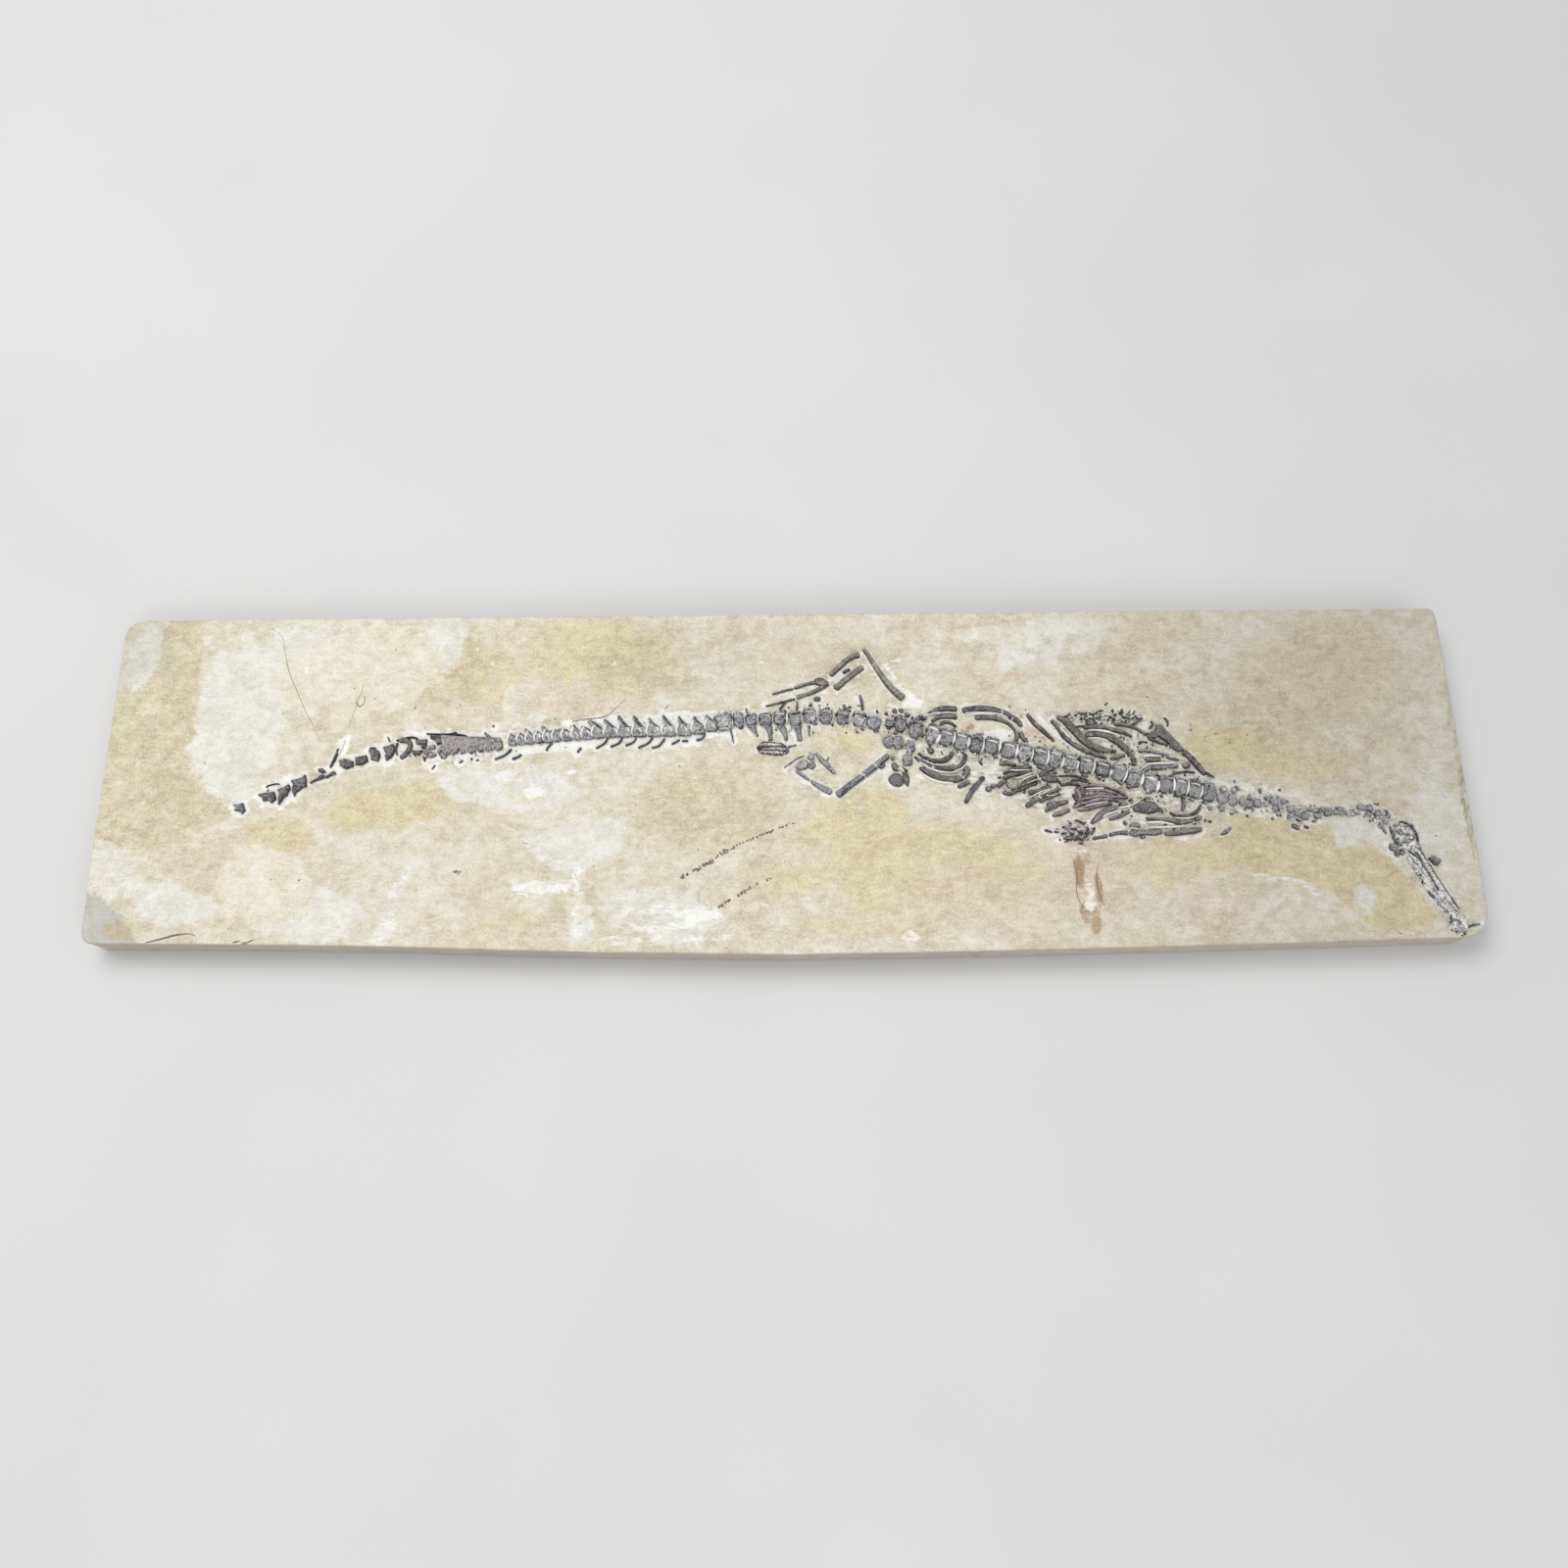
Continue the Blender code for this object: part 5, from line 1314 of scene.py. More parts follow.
    def build_feet(self, shop: Workshop) -> None:
        """Makes the ankles and feet of both hind limbs.

        Args:
            shop: makes the finished pieces.
        """
        olive = Look(tone=0.0, core=0.3, wear=0.12, wobble=0.25)
        back = [plate(((22.6, 58.6), (25, 60.4), (28.6, 59.6), (31.4, 57.4), (31.8, 55), (29.4, 53.6),
            (26, 55), (23.4, 56)), 1.8, olive, 1400), lump((24.8, 58), (1.7, 1.6), 1.95, olive, 1401)]
        for i, (path, wide) in enumerate(self.back_toes):
            back.append(rod(path, wide, 1.6, olive, 1410 + i))
        shop.bone("foot_back", back, Bone.OLIVE)
        purple = Look(tone=1.3, core=0.8, wear=0.6, wobble=0.2)
        thin = Look(tone=0.0, core=0.2, wear=0.3, wobble=0.4)
        front = [rod(path, (0.8, 1.1, 1.0), 1.3, purple, 1430 + i)
            for i, path in enumerate(self.front_toes)]
        front += [rod(path, (0.25, 0.36, 0.25), 1.5, thin, 1440 + i)
            for i, path in enumerate(self.front_edges)]
        shop.bone("foot_front", front, Bone.PURPLE)
        ankle = Look(tone=0.1, core=0.4, wear=0.3, wobble=0.25)
        lumps = [plate(((11, 3.6), (14, 7.4), (18, 8.2), (19.4, 5), (17.4, 2.4), (13.6, 2)), 1.6, ankle,
            1450), plate(((18.6, 6.6), (22.4, 7.6), (23.6, 4.4), (21.6, 2.2), (18.8, 3)), 1.6, ankle,
            1451), plate(((18.4, 9.2), (20, 13), (22.4, 12), (22.6, 8.8), (20.4, 7.8)), 1.5, ankle, 1452),
            rod(((4.5, 3.5), (8, 6), (12, 9), (16.4, 11)), (0.3, 0.4, 0.3), 0.7, thin, 1454),
            rod(((30, 7.2), (31, 10.6)), (0.4, 0.3), 0.7, thin, 1455)]
        shop.bone("ankle_front", lumps, Bone.SLATE)

    def build_girdles(self, shop: Workshop) -> None:
        """Makes the shoulder and hip bones, the upper arm and the belly plates.

        Args:
            shop: makes the finished pieces.
        """
        flat = Look(tone=0.1, core=0.1, wear=0.1, square=5.0, rough=0.26, wobble=0.16)
        shoulder = [blade(((224.6, 28.4), (223.4, 24.8), (222, 22), (226.4, 19.9), (230, 16.6),
            (233.2, 14), (237.2, 11.6)), ((228.2, 28.6), (230, 25), (233.5, 21), (236.5, 16.6),
            (240.2, 12.4)), 2.2, flat, 1500), blade(((219.6, 23.4), (218.4, 20.8), (220.6, 19.6)),
            ((223.4, 25), (224.4, 22.4), (225, 20.2)), 2.0, flat, 1502),
            rod(((219, 20), (226, 16.9), (232, 14.8), (237, 11.6)), (0.6, 0.6, 0.8), 1.5, flat, 1501)]
        shop.bone("shoulder_blade", shoulder, Bone.BLACK)
        second = [blade(((240.4, 12.6), (243.8, 9.2), (246.8, 5.6), (249.4, 1.6), (251, -2.6)),
                        ((237.6, 10.4), (240.6, 7.6), (243.2, 4.2), (246, 0.4), (249, -3)), 2.1,
                        Look(tone=-0.2, core=0.1, wear=0.1, square=5.0, rough=0.26, wobble=0.16), 1505)]
        shop.bone("shoulder_bone", second, Bone.RIB)
        dark = Look(tone=0.0, core=0.3, wear=0.15, rough=0.3, wobble=0.35)
        arm = [plate(((206.4, -22.2), (208.4, -20.6), (212, -19.4), (216.6, -18.8), (220, -19.4),
            (221, -21.6), (223.6, -23.4), (224.2, -25.8), (221, -25), (216.4, -26.2), (210, -25.4),
            (207.2, -24.6)), 1.8, dark, 1508), rod(((209, -22), (214, -21.2), (219, -21.8), (223, -24.6)),
            (0.4, 0.6, 0.4), 2.0, Look(tone=-0.2, wear=0.05), 1509)]
        shop.bone("upper_arm", arm, Bone.BLACK)
        shell_look = Look(tone=0.5, core=0.2, wear=0.3, hollow=0.4, wobble=0.1)
        shop.bone("belly_plate_1", [lump((138, -7.5), (3.8, 3.6), 1.9, shell_look, 1510)], Bone.OLIVE)
        shop.bone("belly_plate_2", [lump((160, -4), (4.8, 2.8), 1.9, flat, 1511, -0.15, 0, 4)], Bone.RIB)
        grey = Look(tone=0.1, core=0.3, wear=0.3, square=3.5, rough=0.25, wobble=0.1)
        hip = [lump((66.6, 19), (3.4, 3.4), 2.0, grey, 1514, 0.6, 0, 4),
            lump((72, 18.6), (3.2, 4.4), 2.2, grey, 1515, 0.1, 0, 3)]
        shop.bone("hip_blade", hip, Bone.SLATE)
        shaft = [lump((79.4, 16), (2.8, 3.6), 2.1, grey, 1517, 0.4),
            lump((77.4, 7.6), (3.2, 3.6), 2.1, grey, 1518)]
        shaft.append(rod(((78.6, 18), (78.4, 12), (77, 6)), (1.6, 1.8, 2.0), 1.9, grey, 1519))
        shop.bone("hip_shaft", shaft, Bone.SLATE)
        ball = [lump((70.5, -4.5), (4.4, 4.2), 2.2, Look(tone=0.35, core=0.3, wear=0.1, hollow=0.5), 1520,
            0, 0, 2.2), blade(((73.6, 1), (74.4, -3), (74.6, -6)),
            ((77.8, -0.8), (78.3, -5), (77.4, -9.4)), 1.8, Look(tone=0.2, core=0.1), 1521)]
        shop.bone("hip_ball", ball, Bone.BLACK)

    def build_hand(self, shop: Workshop) -> None:
        """Makes the hand: a cluster of small broken bones with thin finger bones round it.

        Args:
            shop: makes the finished pieces.
        """
        look = Look(tone=0.75, core=0.3, wear=0.5, wobble=0.35, rough=0.3)
        rng = np.random.default_rng(31)
        lumps = [lump((x, y), (r, r * 0.8), 1.9, look, 1600 + i, rng.uniform(0, 3)) for i, (x, y, r) in
                 enumerate(self.hand_lumps)]
        for i, (path, wide) in enumerate(self.hand_slivers):
            lumps.append(rod(path, (0.6 * wide, 0.9 * wide, 0.5 * wide), 2.1, Look(tone=-0.7, wear=0.1),
                1620 + i))
        shop.bone("hand_front", lumps, Bone.BROWN)
        finger = Look(tone=-0.4, core=0.1, wear=0.05)
        loose = [rod(path, wide, 1.2, finger, 1650 + i) for i, (path, wide) in enumerate(self.fingers)]
        shop.loose("finger_bones", loose, Bone.BROWN)


@dataclass
class Head:
    """Skull and lower jaw: pale crushed plates between thin dark contours, with teeth."""

    skull_lines: tuple = ((((358.4, -31.8), (362, -33.5), (365, -37), (366.6, -41), (366.6, -46),
        (367.8, -50.5), (369.8, -55.5), (372.3, -61), (376.8, -70.5), (381.3, -79.5), (383.8, -83.8)),
        (0.35, 0.4, 0.4, 0.45, 0.55), 2.9), (((360, -49), (363, -51.6), (366, -55), (368.6, -60),
        (371.4, -67), (374, -73)), (0.4, 0.6, 0.45, 0.3), 2.8),
        (((363, -49.4), (366, -53), (368, -57.6)), (0.4, 0.5, 0.4), 2.9),
        (((355, -36.6), (357, -39.8), (360.4, -39.8), (363.4, -40.6)), (0.6, 0.5), 2.9),
        (((361, -42.6), (363.4, -43.6), (364.6, -41.4), (363.2, -40.2)), (0.5, 0.6), 2.9),
        (((355.6, -45), (358.6, -44.6), (361.6, -45.4)), (0.5, 0.6), 2.7),
        (((356.6, -33), (358, -35.4), (357.4, -38)), (0.7, 0.5), 2.7),
        (((352.6, -34.4), (353.6, -40), (354.6, -45)), (0.5, 0.4), 1.8))
    jaw_lines: tuple = ((((361, -53), (364, -58), (367, -63), (369.6, -69)), (0.4, 0.7, 0.5)),
        (((366.2, -64.6), (366.2, -68.6)), (0.5, 0.3)), (((368, -66), (368.2, -69.4)), (0.5, 0.3)),
        (((368.6, -72.6), (371.4, -77)), (0.6, 0.4)), (((373.6, -76.6), (375.4, -80)), (0.5, 0.5)),
        (((379, -86), (379.2, -91)), (0.4, 0.3)), (((381, -88.6), (382.4, -91.4)), (0.8, 0.7)),
        (((380, -96.2), (382.2, -96)), (0.5, 0.4)), (((386.8, -94), (389, -92.4)), (0.6, 0.5)),
        (((370.6, -70), (373.4, -74.6)), (0.5, 0.6)))

    def build(self, shop: Workshop) -> None:
        """Makes the skull, the jaw and the small bones by them.

        Args:
            shop: makes the finished pieces.
        """
        pale = Look(tone=0.7, core=0.3, wear=0.8, rough=0.35, square=4.0, wobble=0.12)
        line = Look(tone=-0.1, core=0.0, wear=0.25, square=2.0, wobble=0.45)
        skull = [blade(((355.4, -34.4), (354.6, -40), (355.6, -46), (359.6, -50), (364.6, -53),
            (368.4, -59), (372.4, -68), (377.4, -77), (382.4, -84.4)),
            ((358.6, -32.6), (363.6, -34.4), (366.6, -40), (367, -46), (369.4, -53), (373.2, -61),
            (377.4, -70), (381.6, -78.6), (384.6, -84.2)), 2.1, pale, 1700)]
        skull += [rod(path, wide, high, line, 1702 + i)
                  for i, (path, wide, high) in enumerate(self.skull_lines)]
        rng = np.random.default_rng(9)
        for index in range(58):
            place = (rng.uniform(354.8, 366.2), rng.uniform(-49.4, -33.6))
            own = Look(tone=rng.uniform(-0.5, 1.2), wear=rng.uniform(0.1, 1.0), wobble=0.35)
            skull.append(lump(place, (rng.uniform(0.6, 1.4), rng.uniform(0.5, 1.1)),
                rng.uniform(2.2, 3.0), own, 1710 + index, rng.uniform(0, 3), 0, 2.2, 5, 14))
        shop.bone("skull", skull, Bone.SLATE)
        jaw = [blade(((358.8, -51.8), (361.4, -57), (365.2, -62.4), (365.8, -67.4), (369.4, -74),
            (374.4, -80), (378.2, -86), (379.6, -92), (382.2, -96.2)),
            ((363.2, -54.6), (366.8, -60), (370.8, -68), (375.8, -77.8), (380.4, -85.6), (384.6, -87),
            (388, -88), (388.6, -92), (386.4, -96)), 1.8, pale, 1750)]
        jaw.append(plate(((361, -50.2), (364.6, -52.6), (368.6, -58.6), (372.6, -67.6), (377.6, -77),
            (376, -79), (371, -69.6), (366.4, -61.4), (362, -54)), 1.3, pale, 1749, (368, -61)))
        jaw += [rod(path, wide, 2.2, line, 1751 + i) for i, (path, wide) in enumerate(self.jaw_lines)]
        for index in range(48):
            share = rng.uniform(0, 1)
            place = (np.interp(share, (0, 0.5, 1), (362, 371.5, 384)) + rng.uniform(-2, 2),
                     np.interp(share, (0, 0.5, 1), (-56, -74, -93)))
            own = Look(tone=rng.uniform(-0.5, 1.2), wear=rng.uniform(0.3, 1.0), wobble=0.35)
            jaw.append(lump(place, (rng.uniform(0.5, 1.2), rng.uniform(0.5, 1.0)), rng.uniform(1.8, 2.1),
                own, 1770 + index, rng.uniform(0, 3), 0, 2.2, 5, 14))
        shop.bone("lower_jaw", jaw, Bone.SLATE)
        by = Look(tone=0.0, core=0.3, wear=0.15)
        small = [lump((353, -47), (2.4, 2.3), 1.5, by, 1800), lump((354.4, -51), (1.4, 1.6), 1.4, by, 1801),
                 lump((357.2, -50.4), (1.3, 1.2), 1.4, by, 1802),
                 rod(((353.2, -41.4), (354.6, -43), (354.2, -45)), (0.6, 0.5), 1.4, by, 1803),
                 rod(((388, -93.6), (391, -92.2), (395.2, -91.6)), (0.5, 0.7, 0.3), 0.9, by, 1804),
                 rod(((383.4, -98.2), (385, -98.0)), (0.5, 0.4), 0.5, by, 1806)]
        shop.loose("throat_bones", small, Bone.SLATE)
        chip = [plate(((371.4, -53.6), (373.6, -52.6), (375.2, -52.2), (378.8, -54.8), (377.6, -57.0),
            (376.2, -58.2), (373.8, -57.0)), 1.4, Look(tone=-0.4, core=0.1), 1805)]
        shop.loose("loose_chip_by_skull", chip, Bone.OLIVE)


@dataclass
class SmallBones:
    """The small, thin and broken bones among the larger ones.

    A rod's row is its path, half widths and tone. A lump's is middle x, y, half sizes and tone.
    """

    slate_rods: tuple = ((((131.6, 4), (136, 4.6), (141, 4.6)), (0.6, 0.8, 0.5), -0.3),
        (((134.6, -3.6), (142, -1.4), (150, 0.4)), (0.5, 0.7, 0.5), -0.5),
        (((139.6, -12.6), (146, -9.6), (153, -7)), (0.6, 0.9, 0.6), -0.3),
        (((149, -14.2), (154, -11), (159, -7.8)), (0.6, 0.9, 0.6), -0.3),
        (((156, -24.4), (161, -20.6), (170, -18.4)), (1.0, 1.7, 1.2), -0.3),
        (((154, -3), (158, 0.4), (163, 1.8)), (1.2, 1.6, 1.0), -0.2),
        (((153, -19), (159, -16), (166, -13.8)), (0.6, 0.9, 0.6), -0.3),
        (((166, -8.4), (171, -7.6), (177, -8.4)), (0.8, 1.2, 0.8), -0.4),
        (((97, 29.8), (102, 31.2), (107, 28)), (0.8, 1.0, 0.6), -0.2),
        (((200, 29), (207, 28.2), (213, 26), (218, 22)), (1.0, 1.1, 0.7), -0.1),
        (((106, -9.2), (109, -8), (113.4, -5.6)), (1.0, 1.4, 1.0), -0.2),
        (((133, -4.2), (140, -1.8), (151, -0.6)), (0.8, 1.1, 0.9), -0.2),
        (((141, -10.2), (147, -7.2), (153.6, -4.8)), (0.9, 1.2, 0.9), 0.0),
        (((147, -13.6), (152, -12), (160.4, -9)), (1.0, 1.3, 0.9), 0.0),
        (((143, -8.2), (148, -5), (152.6, -3)), (0.6, 0.8, 0.6), -0.2),
        (((216, 6.4), (220, 6.7), (225.4, 6.5)), (1.4, 1.5, 1.0), -0.1),
        (((231, -2.2), (238, -1), (244.4, -1.5)), (0.5, 0.7, 0.5), -0.2),
        (((235.6, -17), (236.2, -20.4), (235, -24.6)), (0.8, 1.1, 0.7), 0.0),
        (((165, -3), (175, -3), (182.4, -6.2)), (0.4, 0.6, 0.4), -0.4),
        (((172, -5.8), (177, -5.4), (184, -8)), (0.4, 0.5, 0.4), -0.2),
        (((161, -1.6), (164.6, -0.6)), (0.5, 0.5), -0.6), (((163.4, -5), (166.2, -7.6)), (0.6, 0.6),
        -0.6), (((213, 17.6), (218.6, 17.4)), (0.5, 0.5), -0.5),
        (((185, 17.4), (190, 15), (195, 12.6)), (1.2, 1.2, 0.8), -0.1),
        (((196, 7), (200, 8.6), (205, 9.6)), (1.0, 1.4, 1.0), 0.0),
        (((183, 30), (188.4, 29.4)), (1.4, 1.6), 0.0), (((131, 4.6), (136, 5.2), (141, 3.8)),
        (1.0, 1.3, 0.8), 0.1), (((119.6, 7.4), (121, 4)), (1.0, 0.6), 0.1),
        (((144.6, 25), (146, 20), (148.6, 18.4)), (1.4, 1.3, 1.0), 0.1),
        (((73.6, 3), (77.4, 0.4)), (0.8, 0.7), -0.4), (((50, 49), (51.3, 44), (51.5, 39)),
        (0.7, 1.1, 0.8), -0.2), (((59, 4.8), (62, 3.4), (64.4, 5)), (0.6, 0.9, 0.4), -0.3),
        (((40.4, 43), (41, 39)), (1.2, 0.6), -0.2), (((20, 43.6), (21.4, 42)), (1.6, 0.8), -0.1),
        (((22.4, 46.6), (26.6, 46.4)), (1.5, 1.6), -0.2), (((60, 39.4), (60.6, 37)), (0.9, 0.6), -0.3),
        (((1.6, 39.6), (3.6, 42), (6, 44.6)), (0.5, 0.5, 0.4), -0.4),
        (((12, 38.6), (12.6, 42), (12.4, 45.6)), (0.5, 0.5, 0.4), -0.4),
        (((-17.5, 38), (-18, 41.2)), (0.5, 0.4), -0.4), (((104.6, 27), (106.4, 25.6)), (1.3, 0.8), -0.3),
        (((217.4, 21.8), (219.4, 23.6)), (0.6, 0.8), -0.2), (((209, 27.6), (213, 30), (217, 33)),
        (0.6, 0.7, 0.5), -0.2), (((250, -1), (255.6, -4.6)), (0.7, 0.4), 0.0),
        (((222, -3.4), (223.6, -1.6)), (1.0, 0.8), -0.2), (((129.4, -9.4), (132, -6.6), (134.6, -5.4)),
        (1.6, 1.6, 1), -0.2), (((132, -12.6), (136, -13.6), (140.4, -12)), (1.0, 1.2, 0.8), -0.3))
    lumps: tuple = ((70.0, 3.4, 1.9, 2.8, -0.2), (91.2, 13.4, 2.0, 2.0, -0.5),
        (111.8, 1.6, 2.2, 2.0, -0.5), (160.5, -20.6, 3.4, 2.6, -0.2), (207, -33.4, 3.2, 1.9, 0.0),
        (243.6, -29.4, 2.6, 1.2, 0.1), (211, -40, 1.6, 1.0, -0.2), (201.6, -31.6, 1.2, 1.5, -0.2),
        (201, -20.6, 2.6, 1.8, -0.1), (70.5, 38.5, 1.4, 1.6, -0.3), (65.5, 36.8, 1.1, 0.8, -0.3),
        (74.5, 38.8, 1.2, 1.4, -0.2), (77.8, 36, 1.2, 1.8, 0.0), (86, 35, 1.6, 1.2, -0.1),
        (88.5, 33.4, 1.2, 0.7, -0.2), (43, 65, 1.6, 0.9, -0.3), (41, 63.6, 1.2, 0.8, -0.4),
        (68.6, 8.6, 1.0, 1.2, -0.1), (240, 3, 2.6, 1.8, 0.3), (242, -7, 2.0, 2.0, -0.1),
        (215, -17, 1.6, 1.0, -0.4), (206, -18, 1.4, 1.0, -0.4), (124, -10.6, 1.8, 1.6, -0.3),
        (120.6, -4, 1.6, 1.4, -0.2), (127, -8.6, 1.6, 1.2, 0.0), (181, 21.4, 1.0, 1.2, -0.1))

    def build(self, shop: Workshop) -> None:
        """Makes the thin rods and the small lumps as one piece each.

        Args:
            shop: makes the finished pieces.
        """
        rods = [rod(path, wide, 1.8, Look(tone=tone, core=0.3, wear=0.15, wobble=0.2), 1900 + i * 3)
                for i, (path, wide, tone) in enumerate(self.slate_rods)]
        shop.loose("small_ribs", rods, Bone.RIB)
        lumps = [lump((x, y), (a, b), 1.9, Look(tone=tone, core=0.3, wear=0.2, wobble=0.2), 2100 + i * 3,
            0.3) for i, (x, y, a, b, tone) in enumerate(self.lumps)]
        shop.loose("small_plates", lumps, Bone.RIB)
        chip = [rod(((255.6, -39), (258.6, -37.4), (262.4, -34.4)), (0.7, 1.5, 0.5), 0.9,
                    Look(tone=-0.1, core=0.2, wear=0.1, wobble=0.3), 2250)]
        shop.loose("loose_chip_by_elbow", chip, Bone.BROWN)


@dataclass
class Matrix:
    """The worked stone between the bones: calcite streaks, grains and the crumbly fringe.

    A zone's row is middle x, y, half widths, how many grains, and their lean from dark to pale.
    """

    streaks: tuple = ((((88, 35), (93, 36.4), (98, 37.2)), (0.4, 0.5, 0.4)),
        (((112, 35.2), (122, 35.8), (130, 35)), (0.4, 0.6, 0.4)),
        (((131, 34.6), (137, 31.8), (141, 28), (143, 23)), (0.4, 0.6, 0.6, 0.4)),
        (((183, 20), (190, 20), (196, 18.2)), (0.4, 0.6, 0.4)),
        (((184, 25), (191, 24.8), (198, 23)), (0.5, 0.7, 0.4)),
        (((170, 32.6), (175, 28), (180, 22.6)), (0.3, 0.5, 0.3)),
        (((84, 6.4), (89, 3), (95, 0.4), (101, -0.6)), (0.4, 0.7, 0.7, 0.4)),
        (((84, 0.4), (90, -4), (97, -6.4), (104, -7)), (0.4, 0.8, 0.8, 0.4)),
        (((104, 0), (109, 2), (112, 5)), (0.4, 0.6, 0.4)), (((140, -4.4), (147, -2), (153, -0.4)),
        (0.3, 0.4, 0.3)), (((143, -8.6), (149, -6.4), (155, -4.6)), (0.3, 0.4, 0.3)),
        (((147, -16.6), (153, -13.2), (160, -10.6)), (0.3, 0.5, 0.3)),
        (((214, -31.6), (222, -31.4), (230, -33)), (0.5, 0.8, 0.5)),
        (((215, -34.6), (225, -34.4), (236, -34)), (0.4, 0.7, 0.4)),
        (((204, -34.6), (209, -35.4)), (0.5, 0.5)), (((215, 8.7), (220, 9), (226, 8.7)), (0.5, 0.7, 0.5)),
        (((95, 35.9), (101, 37), (108, 36.6)), (0.3, 0.6, 0.4)),
        (((112, 36.4), (122, 36.8), (132, 35.6), (138, 33)), (0.4, 0.5, 0.5, 0.3)),
        (((97, 32), (103, 32.4)), (0.5, 0.4)), (((165, 30), (169, 25), (173, 20), (178, 15.6)),
        (0.4, 0.8, 0.8, 0.4)), (((186, 25.4), (195, 24.4), (203, 20.8)), (0.4, 0.7, 0.4)),
        (((181, 19), (188, 14.6), (196, 11)), (0.4, 0.5, 0.3)),
        (((179, -14.2), (184, -13.8), (190, -14.2)), (0.4, 0.6, 0.4)),
        (((180, -11.2), (186, -10.8), (191, -11.2)), (0.4, 0.7, 0.9)),
        (((181, -18.6), (186, -17.4), (190, -16.8)), (0.3, 0.5, 0.4)),
        (((179, -21.6), (186, -20), (193, -18.8)), (0.4, 0.6, 0.4)),
        (((150, -16.4), (158, -12.4), (164, -10)), (0.3, 0.5, 0.3)),
        (((143, -6), (148, -3.6), (152, -2.4)), (0.3, 0.5, 0.3)),
        (((152, -13.6), (160, -15), (167, -13.4)), (0.3, 0.5, 0.4)),
        (((134, 0.6), (142, 0.6), (149, 0.8)), (0.3, 0.4, 0.3)),
        (((188, -28), (193, -26), (198, -24.6)), (0.4, 0.6, 0.3)),
        (((198, -22.8), (204, -21.8), (210, -19.6)), (0.5, 0.6, 0.3)),
        (((230, -28.8), (237, -29.2), (243, -28)), (0.4, 0.6, 0.4)),
        (((236, 15.4), (236.6, 14.8)), (0.7, 0.7)), (((225.4, 28), (227.6, 25.8)), (0.5, 0.4)),
        (((88, 3.4), (94, 0.6), (101, -0.4), (107, 0.4)), (0.3, 0.6, 0.5, 0.3)),
        (((86, 8), (92, 4.8), (99, 4.2), (105, 5)), (0.3, 0.4, 0.4, 0.3)),
        (((73.6, 26), (72.6, 30), (73.6, 34)), (0.5, 1.1, 0.6)),
        (((70.6, 1.4), (73.4, 2.4), (75.4, -0.6)), (0.4, 0.6, 0.5)),
        (((216, 3.8), (224, 4.2), (233, 4.4)), (0.4, 0.7, 0.5)))
    zones: tuple = ((195, 34.0, 24, 4.6, 300, 0.25), (130, 14, 44, 9, 150, 0.3),
        (186, 2, 34, 10, 120, 0.3), (228, -6, 24, 10, 160, 0.4), (274, -19, 17, 9, 90, 0.5),
        (302, -25, 14, 6, 50, 0.5), (344, -26, 7, 6, 50, 0.2), (172, -37, 12, 7, 90, 0.2),
        (75, 28, 14, 12, 110, 0.3), (215, 15, 18, 10, 110, 0.35), (212, -22, 16, 8, 90, 0.2),
        (98, 8, 14, 10, 40, 0.5), (383, -91, 6, 7, 110, 0.6), (360, -42, 6, 9, 60, 0.4),
        (24, 27, 30, 4, 40, 0.4), (26, 40, 30, 4, 50, 0.2), (-90, 33, 60, 4, 50, 0.6),
        (-205, 12, 40, 5, 30, 0.4), (150, -6, 22, 9, 110, 0.1), (236, -32, 16, 5, 60, 0.2))
    fringe: tuple = (((174, 31), (172.6, 34), (175, 36.2)), ((177, 34.6), (181, 35.6), (185, 36)),
        ((183, 31.8), (187, 32.6), (189, 31)), ((185, 36), (188, 35.2), (192, 37.6), (194, 37)),
        ((191, 31.4), (192.6, 33.4)), ((196, 30.6), (197.6, 33.6), (200, 32)), ((199, 37), (200.6, 38.6)),
        ((202.6, 35), (204.8, 37), (205, 33.6), (208.4, 33.2)), ((176, 27), (180, 27.8), (185, 27)),
        ((210, 32.4), (213, 32.6), (216, 31.2)), ((195, 41), (197.4, 42.8)),
        ((220, 26), (222.6, 28.6), (221.6, 31)), ((229.6, 33), (231.6, 30), (231, 27)),
        ((206, 30.4), (209, 31.6)))

    def build(self, shop: Workshop) -> None:
        """Makes the streaks, the grains and the fringe's beaded lines.

        Args:
            shop: makes the finished pieces.
        """
        pale = [rod(path, wide, 1.7, Look(tone=0.5, wobble=0.35, rough=0.25), 2300 + i)
                for i, (path, wide) in enumerate(self.streaks)]
        shop.piece("calcite_streaks", pale, CHALK)
        rng = np.random.default_rng(404)
        grains = []
        for x, y, wide, deep, count, lean in self.zones:
            for _ in range(count):
                angle, out = rng.uniform(0, 2 * math.pi), math.sqrt(rng.uniform(0, 1))
                radius = (out * math.cos(angle), out * math.sin(angle))
                size = rng.uniform(0.3, 1.0)
                tone = rng.choice((-0.9, 0.8), p=(0.5 - lean / 2, 0.5 + lean / 2)) + rng.uniform(-0.3, 0.3)
                place = (x + wide * radius[0], y + deep * radius[1])
                grains.append(lump(place, (size, size * rng.uniform(0.5, 1.0)), rng.uniform(0.3, 1.1),
                    Look(tone=tone, core=0.0, wobble=0.3, rough=0.1), int(rng.integers(9999)),
                    rng.uniform(0, 3), 0, 2.2, 3, 9))
        shop.piece("matrix_grains", grains, GrainFinish("matrix_grain", (0.060, 0.054, 0.050),
            (0.72, 0.70, 0.64)), spread=False)
        fringe = [rod(path, (0.4, 0.6, 0.5, 0.3), 1.2, Look(tone=-0.5, wobble=0.5, rough=0.3), 2400 + i)
                  for i, path in enumerate(self.fringe)]
        shop.loose("fringe_lines", fringe, Bone.SLATE)


